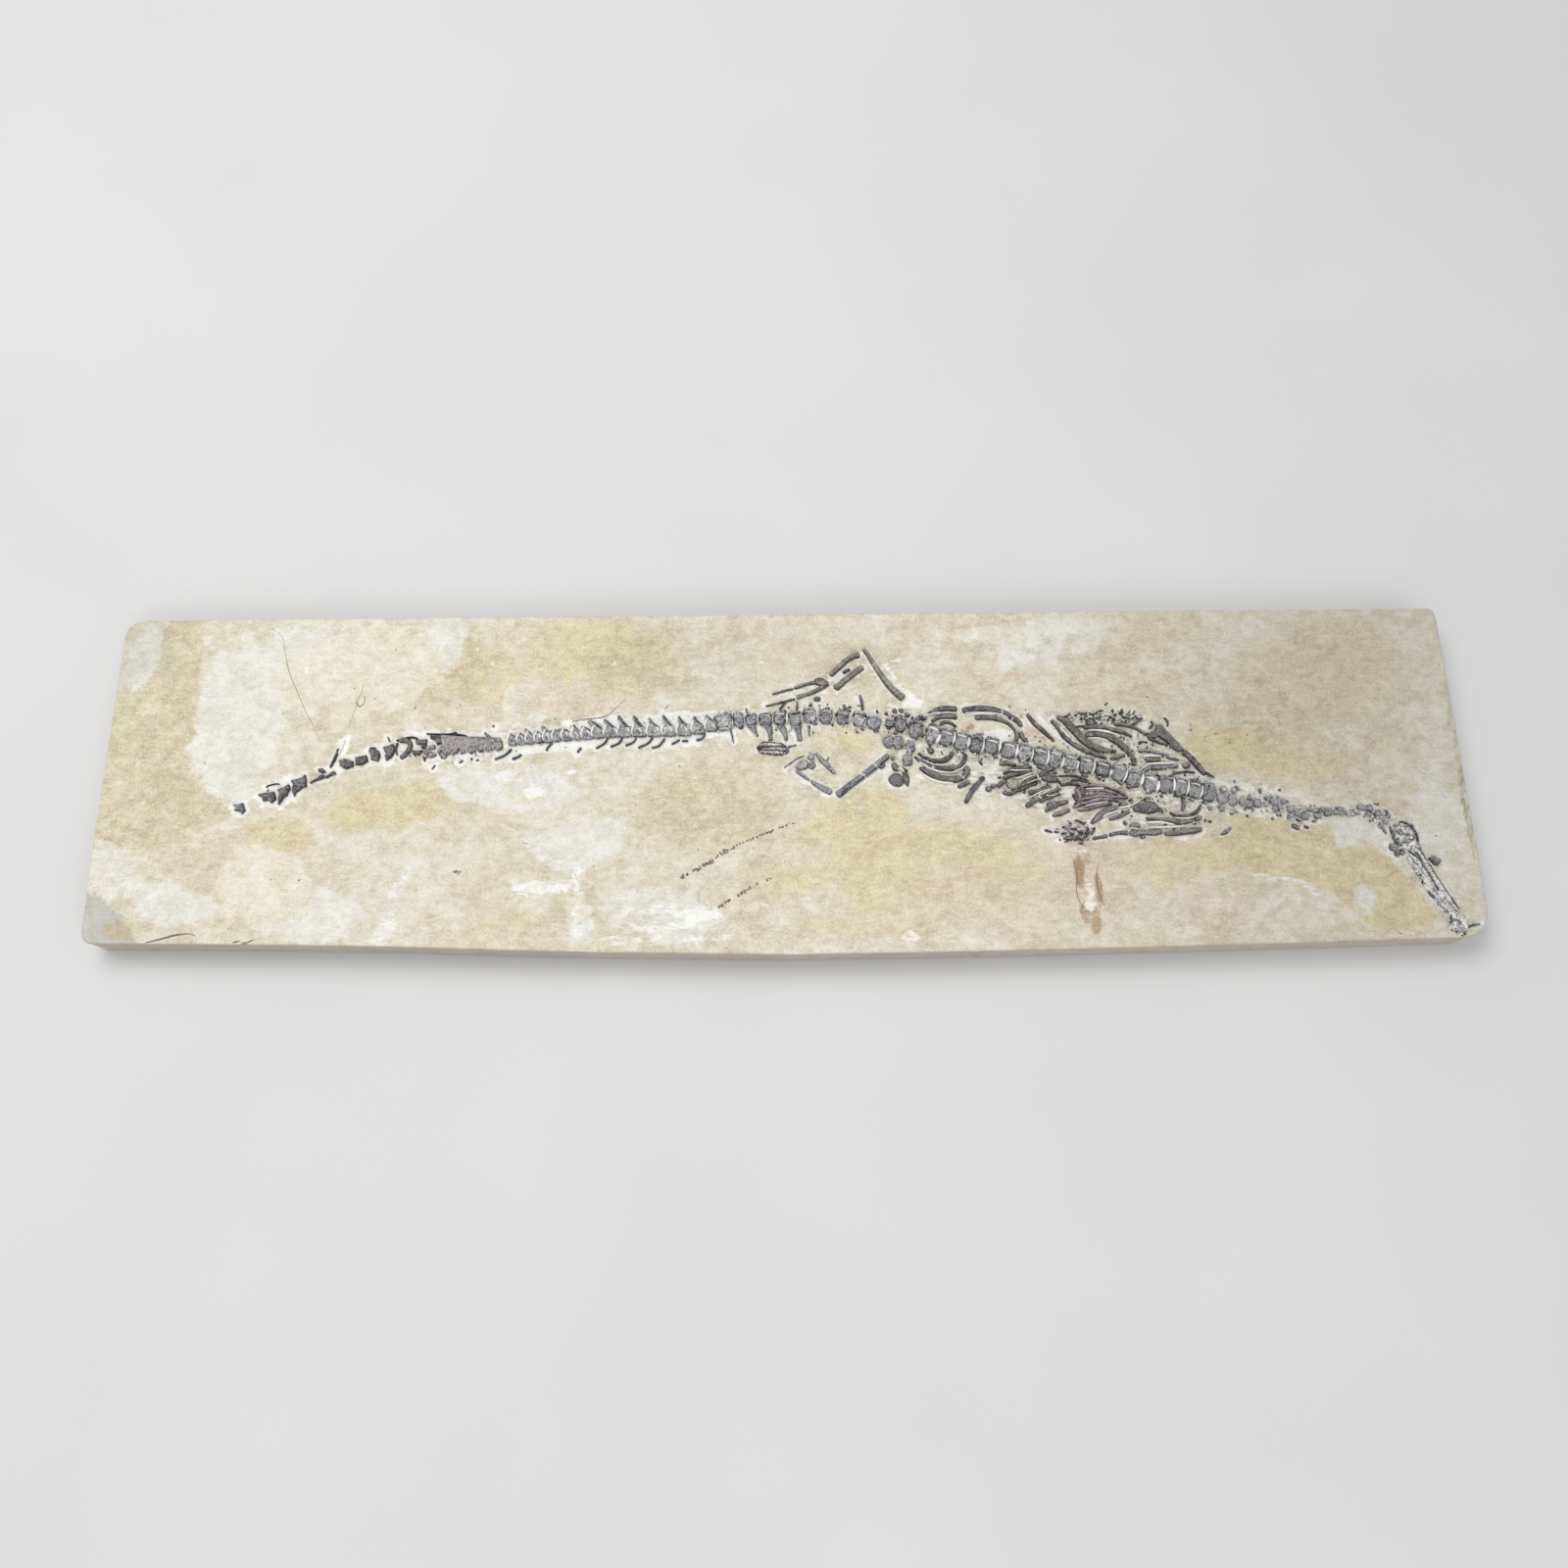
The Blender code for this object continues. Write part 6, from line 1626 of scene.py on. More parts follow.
@dataclass
class Markings:
    """Thin mineral films in the face: cracks, branching growths, rings and specks, and pale lines of
    painted glare.
    """

    film_height: float = 0.045
    root: float = 0.25
    spread_x: tuple[float, float] = (-395, 392)
    spread_y: tuple[float, float] = (-98, 98)
    dark_lines: tuple = ((((-311, 97), (-303, 90), (-300, 80), (-296, 67), (-290, 55), (-284, 43),
        (-278, 33), (-272, 22)), 0.16), (((-360, -98.4), (-350, -96), (-342, -94), (-335, -93.5),
        (-331, -95)), 0.6), (((-310, -98.6), (-305, -97.6)), 0.5), (((-302, -98.8), (-297, -97)), 0.4),
        (((-249, 60), (-252, 48), (-255, 35), (-256, 28)), 0.14),
        (((-251.6, 51.6), (-253.2, 48), (-251, 44.4), (-248.4, 46), (-248.2, 50), (-250, 51.8)), 0.28),
        (((-67, 41), (-64, 43.5)), 0.3), (((-122, 33.5), (-115, 35), (-105, 36), (-100, 38), (-96, 42),
        (-90, 48)), 0.2), (((170, -52), (172, -62), (171, -72), (174, -82)), 0.18),
        (((184, -56), (183, -68), (186, -80)), 0.16), (((348, -96), (352, -97.4)), 0.3),
        (((-217.6, 42), (-216.2, 44)), 0.4))
    dotted: tuple = ((((-54, -61.4), (-48, -59), (-43, -56), (-38, -53), (-33, -49), (-27, -46)), 1.7),
        (((-27, -46), (-20, -42), (-10, -38), (0, -34), (11, -30)), 1.0),
        (((-33, -80), (-27, -76), (-20, -72), (-12, -67), (-5, -64), (-2, -62)), 1.4))
    # Four level lines at the front left, from x -155 to -45 and y -69 to -95, are painted glare: the lamp's
    # reflection drawn as pale films. The rest are mineral films.
    pale_lines_and_glare: tuple = ((((-162, 52), (-157, 47), (-157.6, 38), (-155, 33)), 0.9),
        (((-146, 13), (-144.6, 4), (-141, -8)), 0.6), (((-117, -58), (-113, -65), (-108, -72)), 0.4),
        (((-125, -98), (-123.6, -101), (-123, -103.6)), 0.4), (((182, -80), (188, -92), (192, -99.6)),
        0.5), (((3, 88), (5, 93), (11, 94)), 0.4), (((22, 90), (28, 88), (29, 80), (22, 78)), 0.3),
        (((-90, -75), (-75, -79), (-60, -84)), 0.25), (((-80, -88), (-62, -90), (-45, -95)), 0.3),
        (((-155, -69), (-140, -71), (-126, -74)), 0.35), (((-70, -80), (-58, -80.6)), 0.3),
        (((98, -86), (103, -88), (106, -94)), 0.4))
    dark_specks: tuple = ((-297, 40, 1), (-242, 49, 1), (-255, 56, 0.8), (-340, 9, 0.8), (-382, 9, 0.8),
        (-350, -29, 0.9), (-393, -37, 0.9), (-292, -62, 0.8), (-275.5, -62.5, 1.6), (-313, -91, 0.8),
        (-264, -9.5, 0.8), (-365, -9, 0.7), (-232, 81, 0.8), (-224, -64, 0.7), (-207, -69, 0.8),
        (-250, -90, 0.7), (-190, 45, 1), (-146.8, -41, 0.9), (-145, -41.4, 0.8), (-185, -58, 1.6),
        (-183.4, -59.4, 1.1), (-133, -55, 0.7), (-105, -55, 0.7), (-68, -57, 0.8), (-82, -18.5, 0.8),
        (-26, 94, 0.7), (-12, 60, 0.7), (-28, -103, 0.9), (-57, 5, 0.9), (5, -53, 0.8), (107, 91, 0.7),
        (66, 97, 0.7), (20, -83, 0.7), (-45, -46, 1.1), (-28, -48, 0.9), (-13, -45, 0.8),
        (-51, -60.6, 1.5), (-46.6, -57.4, 1.4), (-41, -55.6, 1.1), (221, 46, 1.4), (245, 28.5, 0.9),
        (244.6, 25, 1.6), (266.8, 16.8, 1.1), (275, 15.2, 0.6), (277.6, 21.8, 1.2), (259, 22.6, 1.3),
        (253, 20.8, 1.0), (281, -12, 1.0), (334, -36.6, 0.9), (378, -40.4, 1.0), (-31.6, -78.6, 0.9),
        (148.4, 38.6, 0.8), (139, 41, 1.2))

    def build(self, shop: Workshop) -> None:
        """Makes the dark and pale films and the scattered specks; some pale films are painted glare.

        Args:
            shop: makes the finished pieces.
        """
        thin = Look(tone=-0.3, core=0.0, wobble=0.5, rough=0.0, square=4.0)
        films = [self.film(path, wide, thin, 2500 + i) for i, (path, wide) in enumerate(self.dark_lines)]
        rng = np.random.default_rng(6)
        for index, (x, y, size) in enumerate(self.dark_specks):
            films.append(self.speck((x, y), size, -0.2, 2600 + index, rng))
        for path, size in self.dotted:
            line = smooth_line(path, SAMPLE)
            for index in range(0, len(line) - 3, 3):
                dash = line[index:index + 4, :2] + rng.normal(0, 0.3, (4, 2))
                if rng.uniform() < 0.8:
                    films.append(self.film(tuple(map(tuple, dash)), size * rng.uniform(0.35, 1.0),
                        Look(tone=rng.uniform(-0.6, 0.2), core=0.0, wobble=0.5, rough=0.0), 2800 + index))
        for index in range(260):
            place = (rng.uniform(*self.spread_x), rng.uniform(*self.spread_y))
            size, tone = rng.uniform(0.22, 0.5), rng.uniform(-0.4, 0.7)
            films.append(self.speck(place, size, tone, 2700 + index, rng))
        shop.piece("dark_films", films, INK, spread=False)
        pale = [self.film(path, wide, Look(tone=0.2, core=0.0, wobble=0.5, rough=0.0, square=4.0), 3000 + i)
                for i, (path, wide) in enumerate(self.pale_lines_and_glare)]
        for index in range(170):
            place = (rng.uniform(*self.spread_x), rng.uniform(*self.spread_y))
            size, tone = rng.uniform(0.3, 0.9), rng.uniform(-0.2, 0.5)
            pale.append(self.speck(place, size, tone, 3100 + index, rng))
        shop.piece("pale_films_and_glare", pale, CHALK, spread=False)

    def film(self, path: Points, wide: float, look: Look, seed: int) -> Patch:
        """Lays a very low ragged band that follows the face."""
        patch = rod(path, (wide * 0.5, wide, wide * 1.2, wide * 0.8, wide * 0.4), 0.0, look, seed)
        return self.settle(patch)

    def speck(self, place: tuple[float, float], size: float, tone: float, seed: int,
              rng: np.random.Generator) -> Patch:
        """Lays one very low irregular speck on the face."""
        return self.settle(lump(place, (size, size * rng.uniform(0.45, 0.9)), 0.0,
            Look(tone=tone, core=0.0, wobble=0.35, rough=0.0), seed, rng.uniform(0, 3), 0, 2.1, 3, 10))

    def settle(self, patch: Patch) -> Patch:
        """Sets a film's upper points just above the face, however the face lies there.

        Args:
            patch: the film.

        Returns:
            The same film, moved.
        """
        x, y, z = patch.points.T
        share = np.clip((z - FOOT) / (FACE - FOOT), 0, 1)
        rise = (self.root + self.film_height) * np.minimum(share * 1.6, 1.0)
        patch.points[:, 2] = Slab.ground(x, y) - self.root + rise
        return patch


def ellipse_field(x: Array, y: Array, spots: tuple) -> Array:
    """Takes the greatest of several soft round patches.

    Args:
        x: plan positions.
        y: plan positions.
        spots: rows of middle x, y, half widths a, b and strength.

    Returns:
        Values that fall from each patch's strength at its middle to 0 past its outline.
    """
    total = np.zeros_like(x)
    for px, py, a, b, strength in spots:
        reach = np.hypot((x - px) / a, (y - py) / b)
        total = np.maximum(total, strength * ease(reach, 1.35, 0.55))
    return total


def polygon_field(x: Array, y: Array, corners: Points, soft: float) -> Array:
    """Gives 1 inside a closed plan outline and 0 outside, eased over a band along it.

    Args:
        x: plan positions.
        y: plan positions.
        corners: the outline's corners in order.
        soft: width of the eased band.

    Returns:
        Values from 0 to 1.
    """
    inside = np.zeros(x.shape, bool)
    nearest = np.full(x.shape, 1e9)
    for (ax, ay), (bx, by) in zip(corners, corners[1:] + corners[:1]):
        crosses = (ay > y) != (by > y)
        slope = (bx - ax) / (by - ay) if by != ay else 0.0
        inside ^= crosses & (x < slope * (y - ay) + ax)
        length = (bx - ax) ** 2 + (by - ay) ** 2
        share = np.clip(((x - ax) * (bx - ax) + (y - ay) * (by - ay)) / length, 0, 1)
        nearest = np.minimum(nearest, np.hypot(x - ax - share * (bx - ax), y - ay - share * (by - ay)))
    return ease(np.where(inside, nearest, -nearest), -soft / 2, soft / 2)


@dataclass
class Slab:
    """The stone: a rubbed face with a worked trough round the bones, a lost flake and rough sides.

    An edge is an outline's corners in order. Spots are rows of middle x, y, half widths and strength.
    """

    left: tuple[float, float] = (-399.2, -401.0)
    right: tuple[float, float] = (401.0, 398.8)
    front: tuple = ((-400, -98.5), (-300, -99.8), (-220, -101.3), (-150, -103.8), (-85, -105.3),
        (0, -106.8), (80, -106.0), (150, -104.8), (215, -103.4), (280, -102.0), (345, -100.2),
        (400, -98.5))
    back: float = 102.2
    arris: float = 1.2
    half: float = 400.0
    corner_y: float = -98.5
    depth: float = 200.7
    start_y: float = -105.0
    farthest: float = 20.0
    proud: float = 0.25
    chamfer: float = 0.7
    arris_wall: tuple[float, ...] = (0.0, 0.15, 0.45, 0.8)
    radii: dict = field(default_factory=lambda: {"fl": 7.0, "fr": 16.0, "bl": 11.0, "br": 5.0})
    flake: Points = ((-410, -69.5), (-394, -70.5), (-386, -74.5), (-379, -81), (-373, -88.5),
        (-367.5, -95.5), (-364, -112), (-410, -112))
    scar: Points = ((0, -110), (5, -103), (12, -101.5), (18, -104), (25, -103.5), (30, -110))
    chips: tuple = ((-98, -106.5, 13.0), (12, -108.6, 11.0), (-190, -103.8, 8.0), (262, -104.0, 7.0))
    across: tuple = ((-385, 1.2), (-355, 1.5), (-325, 2.8), (50, 1.55), (262, 1.15), (350, 1.8),
        (385, 1.4), (398.8, 1.1))
    up: tuple = ((-94, 1.6), (-48, 2.6), (48, 1.25), (88, 2.5), (101, 1.6))
    wall_rings: int = 9
    halo_strength: tuple = ((-325, -200, -150, 60, 90, 250, 270, 350, 400),
        (0.85, 0.9, 0.85, 0.75, 0.75, 0.75, 0.8, 0.8, 0.8))
    vein_outline: tuple = ((-120, -57), (-110, -60), (-100, -80), (-103, -112), (-122, -112), (-122, -80))
    rusty_outline: tuple = ((172, -50), (184, -52), (187, -75), (192, -92), (172, -92), (171, -70))
    tan_edge: tuple = ((-410, 40), (-385, 60), (-372, 110), (-352, 110), (-350, 55), (-345, 40),
        (-335, 30), (-325, 15), (-318, 0), (-316, -18), (-345, -40), (-375, -45), (-410, -30))
    tan_spots: tuple = ((-40, -22, 48, 30, 0.7), (30, 70, 60, 24, 0.5), (-195, 66, 34, 32, 0.75),
        (-90, 72, 44, 26, 0.7), (330, 60, 60, 40, 0.6), (285, 24, 50, 30, 0.7), (-365, -10, 30, 40, 0.4),
        (215, -70, 50, 22, 0.3), (-330, -62, 12, 26, 0.5))
    yolk_edge: tuple = ((262, -28), (290, -29), (318, -34), (322, -47), (341, -45), (352, -55),
        (364, -72), (372, -88), (362, -98), (338, -98), (330, -89), (316, -73), (300, -66), (275, -62),
        (262, -52))
    yolk_gap: tuple = ((334, -77, 7, 9, 1.0),)
    ochre_spots: tuple = ((-290, -35, 28, 13, 0.65), (-228, -18, 46, 13, 0.65), (-110, 78, 58, 26, 0.5),
        (-172, 62, 26, 30, 0.45), (-378, -97, 14, 7, 0.6), (-168, -94, 20, 9, 0.4),
        (-145, -88, 15, 6, 0.4), (-300, -60, 30, 30, 0.35), (40, 20, 24, 10, 0.5),
        (48, -32, 38, 24, 0.62), (90, -60, 84, 34, 0.6), (262, 10, 30, 17, 0.85), (300, 2, 40, 14, 0.55),
        (20, -62, 44, 18, 0.5), (215, -60, 36, 14, 0.5), (-20, 75, 26, 16, 0.3), (240, -50, 34, 12, 0.6),
        (60, -95, 60, 10, 0.45), (-120, -100, 30, 6, 0.5), (360, 10, 26, 20, 0.3))
    glare_edge: tuple = ((-205, -50), (-213, -70), (-216, -85), (-220, -104), (-232, -104), (-228, -84),
        (-222, -66), (-212, -50))
    grey_spots: tuple = ((-322, 34, 27, 48, 1.1), (-285, 70, 34, 28, 0.9), (-388, 80, 12, 22, 0.7),
        (-272, -80, 34, 20, 1.15), (-350, -80, 24, 14, 0.8), (-385, -62, 16, 22, 0.6),
        (-60, 77, 42, 20, 0.35), (-198, 82, 12, 24, 0.7), (-155, -8, 40, 15, 1.0),
        (-122, -46, 34, 14, 0.9), (-95, -40, 14, 12, 0.7), (-112, -90, 8, 14, 0.7),
        (150, 82, 50, 22, 0.5), (132, 70, 7, 14, 0.8), (358, -62, 12, 8, 0.5), (378, -36, 20, 34, 0.75),
        (285, -76, 24, 10, 0.35), (-60, -84, 40, 14, 0.6), (-300, 70, 22, 24, 0.6))
    grey_small: tuple = ((334, -77, 6, 9, 0.62), (-67, 48, 7, 5, 0.6), (-144, 38, 7, 7, 0.6),
        (332, 18, 18, 9, 0.4))
    grey_edge: tuple = ((318.6, -34), (319, -46), (324, -48), (331, -46), (335, -43), (341, -45),
        (347, -54), (354, -62), (362, -74), (368, -84), (372, -84), (352, -48), (348, -36), (335, -29),
        (320, -31))
    cream_spots: tuple = ((-250, 66, 52, 34, 0.9), (-295, -70, 36, 26, 0.9), (-143, -13, 12, 6, 1.0),
        (-112, -78, 8, 9, 1.1), (-110, -102, 8, 7, 1.1), (60, 80, 60, 20, 0.3), (12, -106, 14, 4, 1.1),
        (178, -66, 4, 8, 1.2), (179, -78, 4, 7, 1.1), (-155, 43, 4, 14, 0.9), (-146, 4, 5, 10, 0.8),
        (-190, 20, 60, 12, 0.4), (125, 26, 14, 5, 0.7), (92, 12, 10, 4, 0.6))
    cream_edge: tuple = ((118, 92), (130, 93), (148, 93), (149, 85), (142, 79), (128, 83), (120, 88))
    pink_spots: tuple = ((-125, 48, 28, 12, 0.6), (-385, -62, 14, 18, 0.4), (245, -42, 22, 10, 0.4),
        (134, 55, 6, 5, 0.9), (175, -48, 7, 6, 0.8), (210, -18, 10, 8, 0.6), (180, -60, 16, 34, 0.75),
        (110, -78, 56, 26, 0.6), (250, -80, 30, 20, 0.45), (372, -30, 26, 16, 0.45),
        (-204, 13, 8, 5, 0.6))
    pink_edge: tuple = ((145, 36), (149, 36), (163, 19), (155, 16), (147, 18))
    rust_spots: tuple = ((173, -60, 4, 13, 0.95), (184, -70, 3.4, 12, 0.85), (181, -88, 4, 9, 0.85),
        (176, -84, 3, 8, 0.85), (178, -52, 3, 5, 0.8), (206, -19, 5, 3, 0.9), (215, -17, 3, 2.4, 0.6),
        (116, 28, 4, 2.5, 0.95), (112, 31, 3, 2, 0.7), (158, 22, 3, 4, 0.8), (287, 55, 4.5, 4, 0.75),
        (302, 45, 4, 8, 0.7), (287, 63, 2.5, 2, 0.7), (146, 34, 2.2, 3, 0.6), (215, -38, 8, 2.5, 0.45))
    # The long, thin, level streaks across the front left, from y -68 to -98, are painted glare: the lamp's
    # reflection drawn as pale stone. The rest are pale stains.
    pale_spots_and_glare: tuple = ((-350, 37, 2.4, 1.4, 0.9), (-156, 33, 3, 4, 0.55), (-286, 67, 2, 1.6, 0.9),
        (-172, 72, 1.8, 1.6, 0.8), (-183, 80, 1.6, 1.4, 0.8), (-97, 71, 1.6, 1.4, 0.8),
        (-10, 71, 2.2, 1.4, 0.9), (73, 71.5, 6, 1.3, 0.8), (75, -97, 6, 4, 0.75),
        (-134, -68, 22, 4.5, 0.85), (-66, -80, 30, 4, 0.62), (-62, -90.5, 24, 3.2, 0.95),
        (-46, -84, 15, 3.0, 1.05), (-40, -97, 18, 2.4, 0.7), (-80, -98, 26, 3, 0.55),
        (-115, -62, 3, 14, 0.75), (-113, -88, 4, 12, 0.7), (-143, -11, 8, 4.4, 1.0),
        (-128, -50, 16, 3, 0.5), (178, -76, 3, 12, 0.65), (175, -47, 5, 3, 0.6), (385, -88, 4, 3.4, 0.9),
        (-155, 0, 8, 5, 0.6), (-162, -1, 4, 3, 0.8), (-122, 2, 5, 1.4, 0.7), (72, 42, 9, 6, 0.5),
        (150, 72, 10, 5, 0.4))
    pale_edge: tuple = ((261, -58), (264, -62), (276, -65), (290, -66), (299, -70), (305, -76),
        (309, -74), (302, -67), (292, -63), (277, -61.6), (266, -59.4))
    streak_edges: tuple = (((152.6, 35.6), (157, 34), (165, 27), (172, 19), (178, 14.4), (174, 13.4),
        (166, 20), (159, 27)), ((70, 47), (77, 40.6), (86, 40), (88, 44), (80, 52), (72, 60), (66, 70),
        (63, 69), (72, 56)), ((80, 2), (86, -3), (95, -7), (104, -8.4), (111, -7), (110, -5), (98, -6),
        (88, -1)), ((122, 26), (132, 29), (138, 26), (139, 20), (130, 20), (122, 21)),
        ((245, -4), (249, -3), (249, -18), (245, -18)), ((236, 4), (244, 2), (240, -3), (230, -4)))
    under_edge: tuple = ((-160, 17), (-158, 13), (-130, 14), (-100, 17), (-60, 19), (-30, 24), (-36, 28),
        (-110, 22), (-150, 18))
    fin_edge: tuple = ((-135, 28), (-130, 33), (-100, 37.5), (-60, 39.5), (-34, 39.5), (-34, 30),
        (-80, 27), (-135, 22))
    neck_edge: tuple = ((256, -6), (272, -7), (290, -12), (310, -20.5), (330, -20), (345, -17),
        (354, -24), (353, -36), (345, -31), (332, -29), (310, -33.5), (290, -30), (270, -27), (256, -28))
    # Spots that darken the stone, in the same field as the painted shade.
    darkening_spots: tuple = ((-60, 76, 60, 30, 0.3), (-392, 88, 24, 30, 0.6), (40, 80, 60, 30, 0.2),
        (255, 12, 14, 12, 0.8))
    dark_spots: tuple = ((-380, -79, 5, 1.4, 0.5), (-300, -99, 5, 1.0, 0.7), (-185, -58, 3, 2, 0.7),
        (-112, -90, 1.6, 5, 0.6), (10, -20, 7, 12, 0.32), (397.5, 0, 2.0, 100, 0.5))
    bed_edges: tuple = ((0.85, ((86, 34), (105, 30), (130, 22), (150, 18), (175, 12), (200, 8), (225, 6),
        (245, 2), (257, -6), (257, -23), (240, -20), (222, -18), (205, -14), (190, -8), (170, -4),
        (150, -2), (130, 2), (112, 6), (100, 12), (88, 15))), (0.95,
        ((126, 8), (150, 4), (175, -2), (200, -12), (210, -18), (204, -22), (190, -22), (172, -26),
        (160, -24), (145, -21), (135, -14), (118, -12), (108, -9), (114, 0))),
        (0.85, ((160, 36), (176, 38), (200, 39), (216, 35), (224, 30), (236, 20), (244, 10), (250, 2),
        (240, -2), (220, 2), (205, 6), (190, 6), (175, 10), (164, 24))),
        (0.8, ((203, -16), (225, -15), (247, -20), (247, -32), (244, -36), (225, -38), (204, -40),
        (198, -36), (203, -30), (208, -24))), (0.7, ((163, -30), (178, -29), (183, -36), (180, -43),
        (164, -43))), (0.8, ((62, 35), (90, 35), (90, 18), (82, 10), (80, 0), (70, 0), (66, 12),
        (61, 20))), (0.5, ((255, -5), (272, -8), (290, -14), (310, -21), (345, -19), (352, -29),
        (352, -40), (346, -30), (310, -32), (290, -28), (255, -25))),
        (0.45, ((350, -28), (366, -34), (369, -50), (382, -82), (390, -88), (388, -98), (378, -98),
        (362, -66), (352, -52))))

    @staticmethod
    def ground(x: Array, y: Array) -> Array:
        """Gives the height of the rubbed face before the bones were worked out of it."""
        return FACE - 0.05 + 0.16 * hills(x, y, 90.0, 11, 2) + 0.05 * hills(x, y, 24.0, 12, 2)

    def spaced(self, start: float, rows: tuple) -> Array:
        """Gives graded positions.

        Args:
            start: the first position.
            rows: the end of each stretch and its spacing.

        Returns:
            The positions.
        """
        values = [np.array([start])]
        for end, step in rows:
            count = max(int(round((end - start) / step)), 1)
            values.append(np.linspace(start, end, count + 1)[1:])
            start = end
        return np.concatenate(values)

    def limits(self, x: Array) -> tuple[Array, Array]:
        """Gives the front and back limits of the face at each x, inside the arris, corners rounded.

        Args:
            x: plan positions.

        Returns:
            The front limits and the back limits.
        """
        knots = np.array(self.front, float)
        low = np.interp(x, knots[:, 0], knots[:, 1]) + self.arris
        high = np.full(x.shape, self.back - self.arris)
        half = self.half - self.arris
        for key, side in (("fl", -1), ("fr", 1), ("bl", -1), ("br", 1)):
            radius = self.radii[key] - self.arris
            into = np.clip(radius - (half - side * x), 0.0, radius)
            drop = radius - np.sqrt(radius ** 2 - into ** 2)
            if key[0] == "f":
                low = low + drop
            else:
                high = high - drop
        return low, high

    def face_plan(self) -> tuple[Array, Array]:
        """Gives the plan positions of the face's grid, rows from front to back.

        Returns:
            x and y.
        """
        x = self.spaced(self.arris - self.half, self.across)
        y = self.spaced(self.start_y, self.up)
        low, high = self.limits(x)
        share = ((y - y[0]) / (y[-1] - y[0]))[:, None]
        plan_y = low[None, :] + (high - low)[None, :] * share
        height = (plan_y - self.corner_y) / self.depth
        shift_left = self.left[0] + (self.left[1] - self.left[0]) * height + self.half
        shift_right = self.right[0] + (self.right[1] - self.right[0]) * height - self.half
        share_x = ((x + self.half) / (2 * self.half))[None, :]
        return x[None, :] + shift_left * (1 - share_x) + shift_right * share_x, plan_y

    def nearest_bone(self, x: Array, y: Array, reach: Array) -> Array:
        """Gives the plan distance from each point to the nearest bone, up to the farthest that counts.

        Args:
            x: plan positions.
            y: plan positions.
            reach: plan points of the bones' feet.

        Returns:
            Distances in millimetres.
        """
        flat = np.column_stack([x.ravel(), y.ravel()])
        found = np.full(len(flat), self.farthest)
        cell, margin = 24.0, 12.0
        keys = np.floor(flat[:, 0] / cell).astype(int)
        for key in np.unique(keys):
            own = np.nonzero(keys == key)[0]
            low, high = key * cell - margin, (key + 1) * cell + margin
            near = reach[(reach[:, 0] > low) & (reach[:, 0] < high)]
            if not len(near):
                continue
            for part in np.array_split(own, max(len(own) * len(near) // 4_000_000, 1)):
                gap = np.hypot(flat[part, 0, None] - near[None, :, 0],
                    flat[part, 1, None] - near[None, :, 1])
                found[part] = np.minimum(gap.min(axis=1), self.farthest)
        return found.reshape(x.shape)

    def flaked(self, x: Array, y: Array) -> Array:
        """Gives 1 in the scar of the lost flake and 0 outside, along a ragged outline."""
        return polygon_field(x + 1.5 * hills(x, y, 7.0, 31), y + 1.5 * hills(x, y, 7.0, 32), self.flake,
            1.4)

    def relief(self, x: Array, y: Array, gap: Array) -> Array:
        """Gives the height of the worked face.

        Args:
            x: plan positions.
            y: plan positions.
            gap: distance to the nearest bone.

        Returns:
            Heights in millimetres.
        """
        near = ease(gap, 6.5, 1.0)
        z = self.ground(x, y) - near * (0.42 + 0.2 * hills(x, y, 3.0, 21, 2))
        z = z - self.flaked(x, y) * (1.25 + 0.25 * hills(x, y, 12.0, 33))
        z = z - 0.5 * polygon_field(x + hills(x, y, 4.0, 34), y, self.scar, 1.0)
        for px, py, radius in self.chips:
            inside = 1 - ((x - px) / radius) ** 2 - ((y - py) / (0.34 * radius)) ** 2
            z = z - 2.2 * np.sqrt(np.clip(inside, 0, 1))
        vein = polygon_field(x + 2 * hills(x, y, 5.0, 35), y, self.vein_outline, 3.0)
        z = z - vein * (0.25 + 0.3 * hills(x, y, 4.0, 36, 2))
        rusty = polygon_field(x + 2 * hills(x, y, 5.0, 37), y, self.rusty_outline, 3.0)
        return z - rusty * (0.25 + 0.25 * hills(x, y, 3.5, 38, 2))

    def fields(self, x: Array, y: Array, gap: Array) -> dict[str, Array]:
        """Gives how strongly each stain, the painted glare and the painted shade show at each point.

        Args:
            x: plan positions.
            y: plan positions.
            gap: distance to the nearest bone.

        Returns:
            Values of about 0 to 1 by the field's name.
        """
        wx = x + 11.0 * hills(x, y, 52.0, 41, 2) + 6.0 * hills(x, y, 17.0, 42)
        wx = wx + 1.5 * hills(x, y, 5.0, 48, 1)
        wy = y + 9.0 * hills(x, y, 52.0, 43, 2) + 5.0 * hills(x, y, 17.0, 44)
        wy = wy + 1.5 * hills(x, y, 5.0, 49, 1)
        sx, sy = x + 2.6 * hills(x, y, 9.0, 45), y + 2.6 * hills(x, y, 9.0, 46)
        tan = np.maximum(polygon_field(sx, sy, self.tan_edge, 5.0), ellipse_field(wx, wy, self.tan_spots))
        yolk = polygon_field(x + 0.5 * (sx - x), y + 0.5 * (sy - y), self.yolk_edge, 2.6)
        yolk = yolk * ease(y, -112, -76) * (1 - ellipse_field(sx, sy, self.yolk_gap))
        ochre = ellipse_field(wx, wy, self.ochre_spots)
        glare = polygon_field(sx, sy, self.glare_edge, 3.5)
        grey = np.maximum.reduce([0.5 * glare, ellipse_field(wx, wy, self.grey_spots),
            ellipse_field(sx, sy, self.grey_small),
            polygon_field(sx, sy, self.grey_edge, 4.0) * 0.6])
        cream = np.maximum.reduce([ellipse_field(wx, wy, self.cream_spots),
            polygon_field(sx, sy, self.cream_edge, 3.0)])
        pink = ellipse_field(wx, wy, self.pink_spots)
        pink = np.maximum(pink, polygon_field(sx, sy, self.pink_edge, 3.0))
        rust = ellipse_field(sx, sy, self.rust_spots)
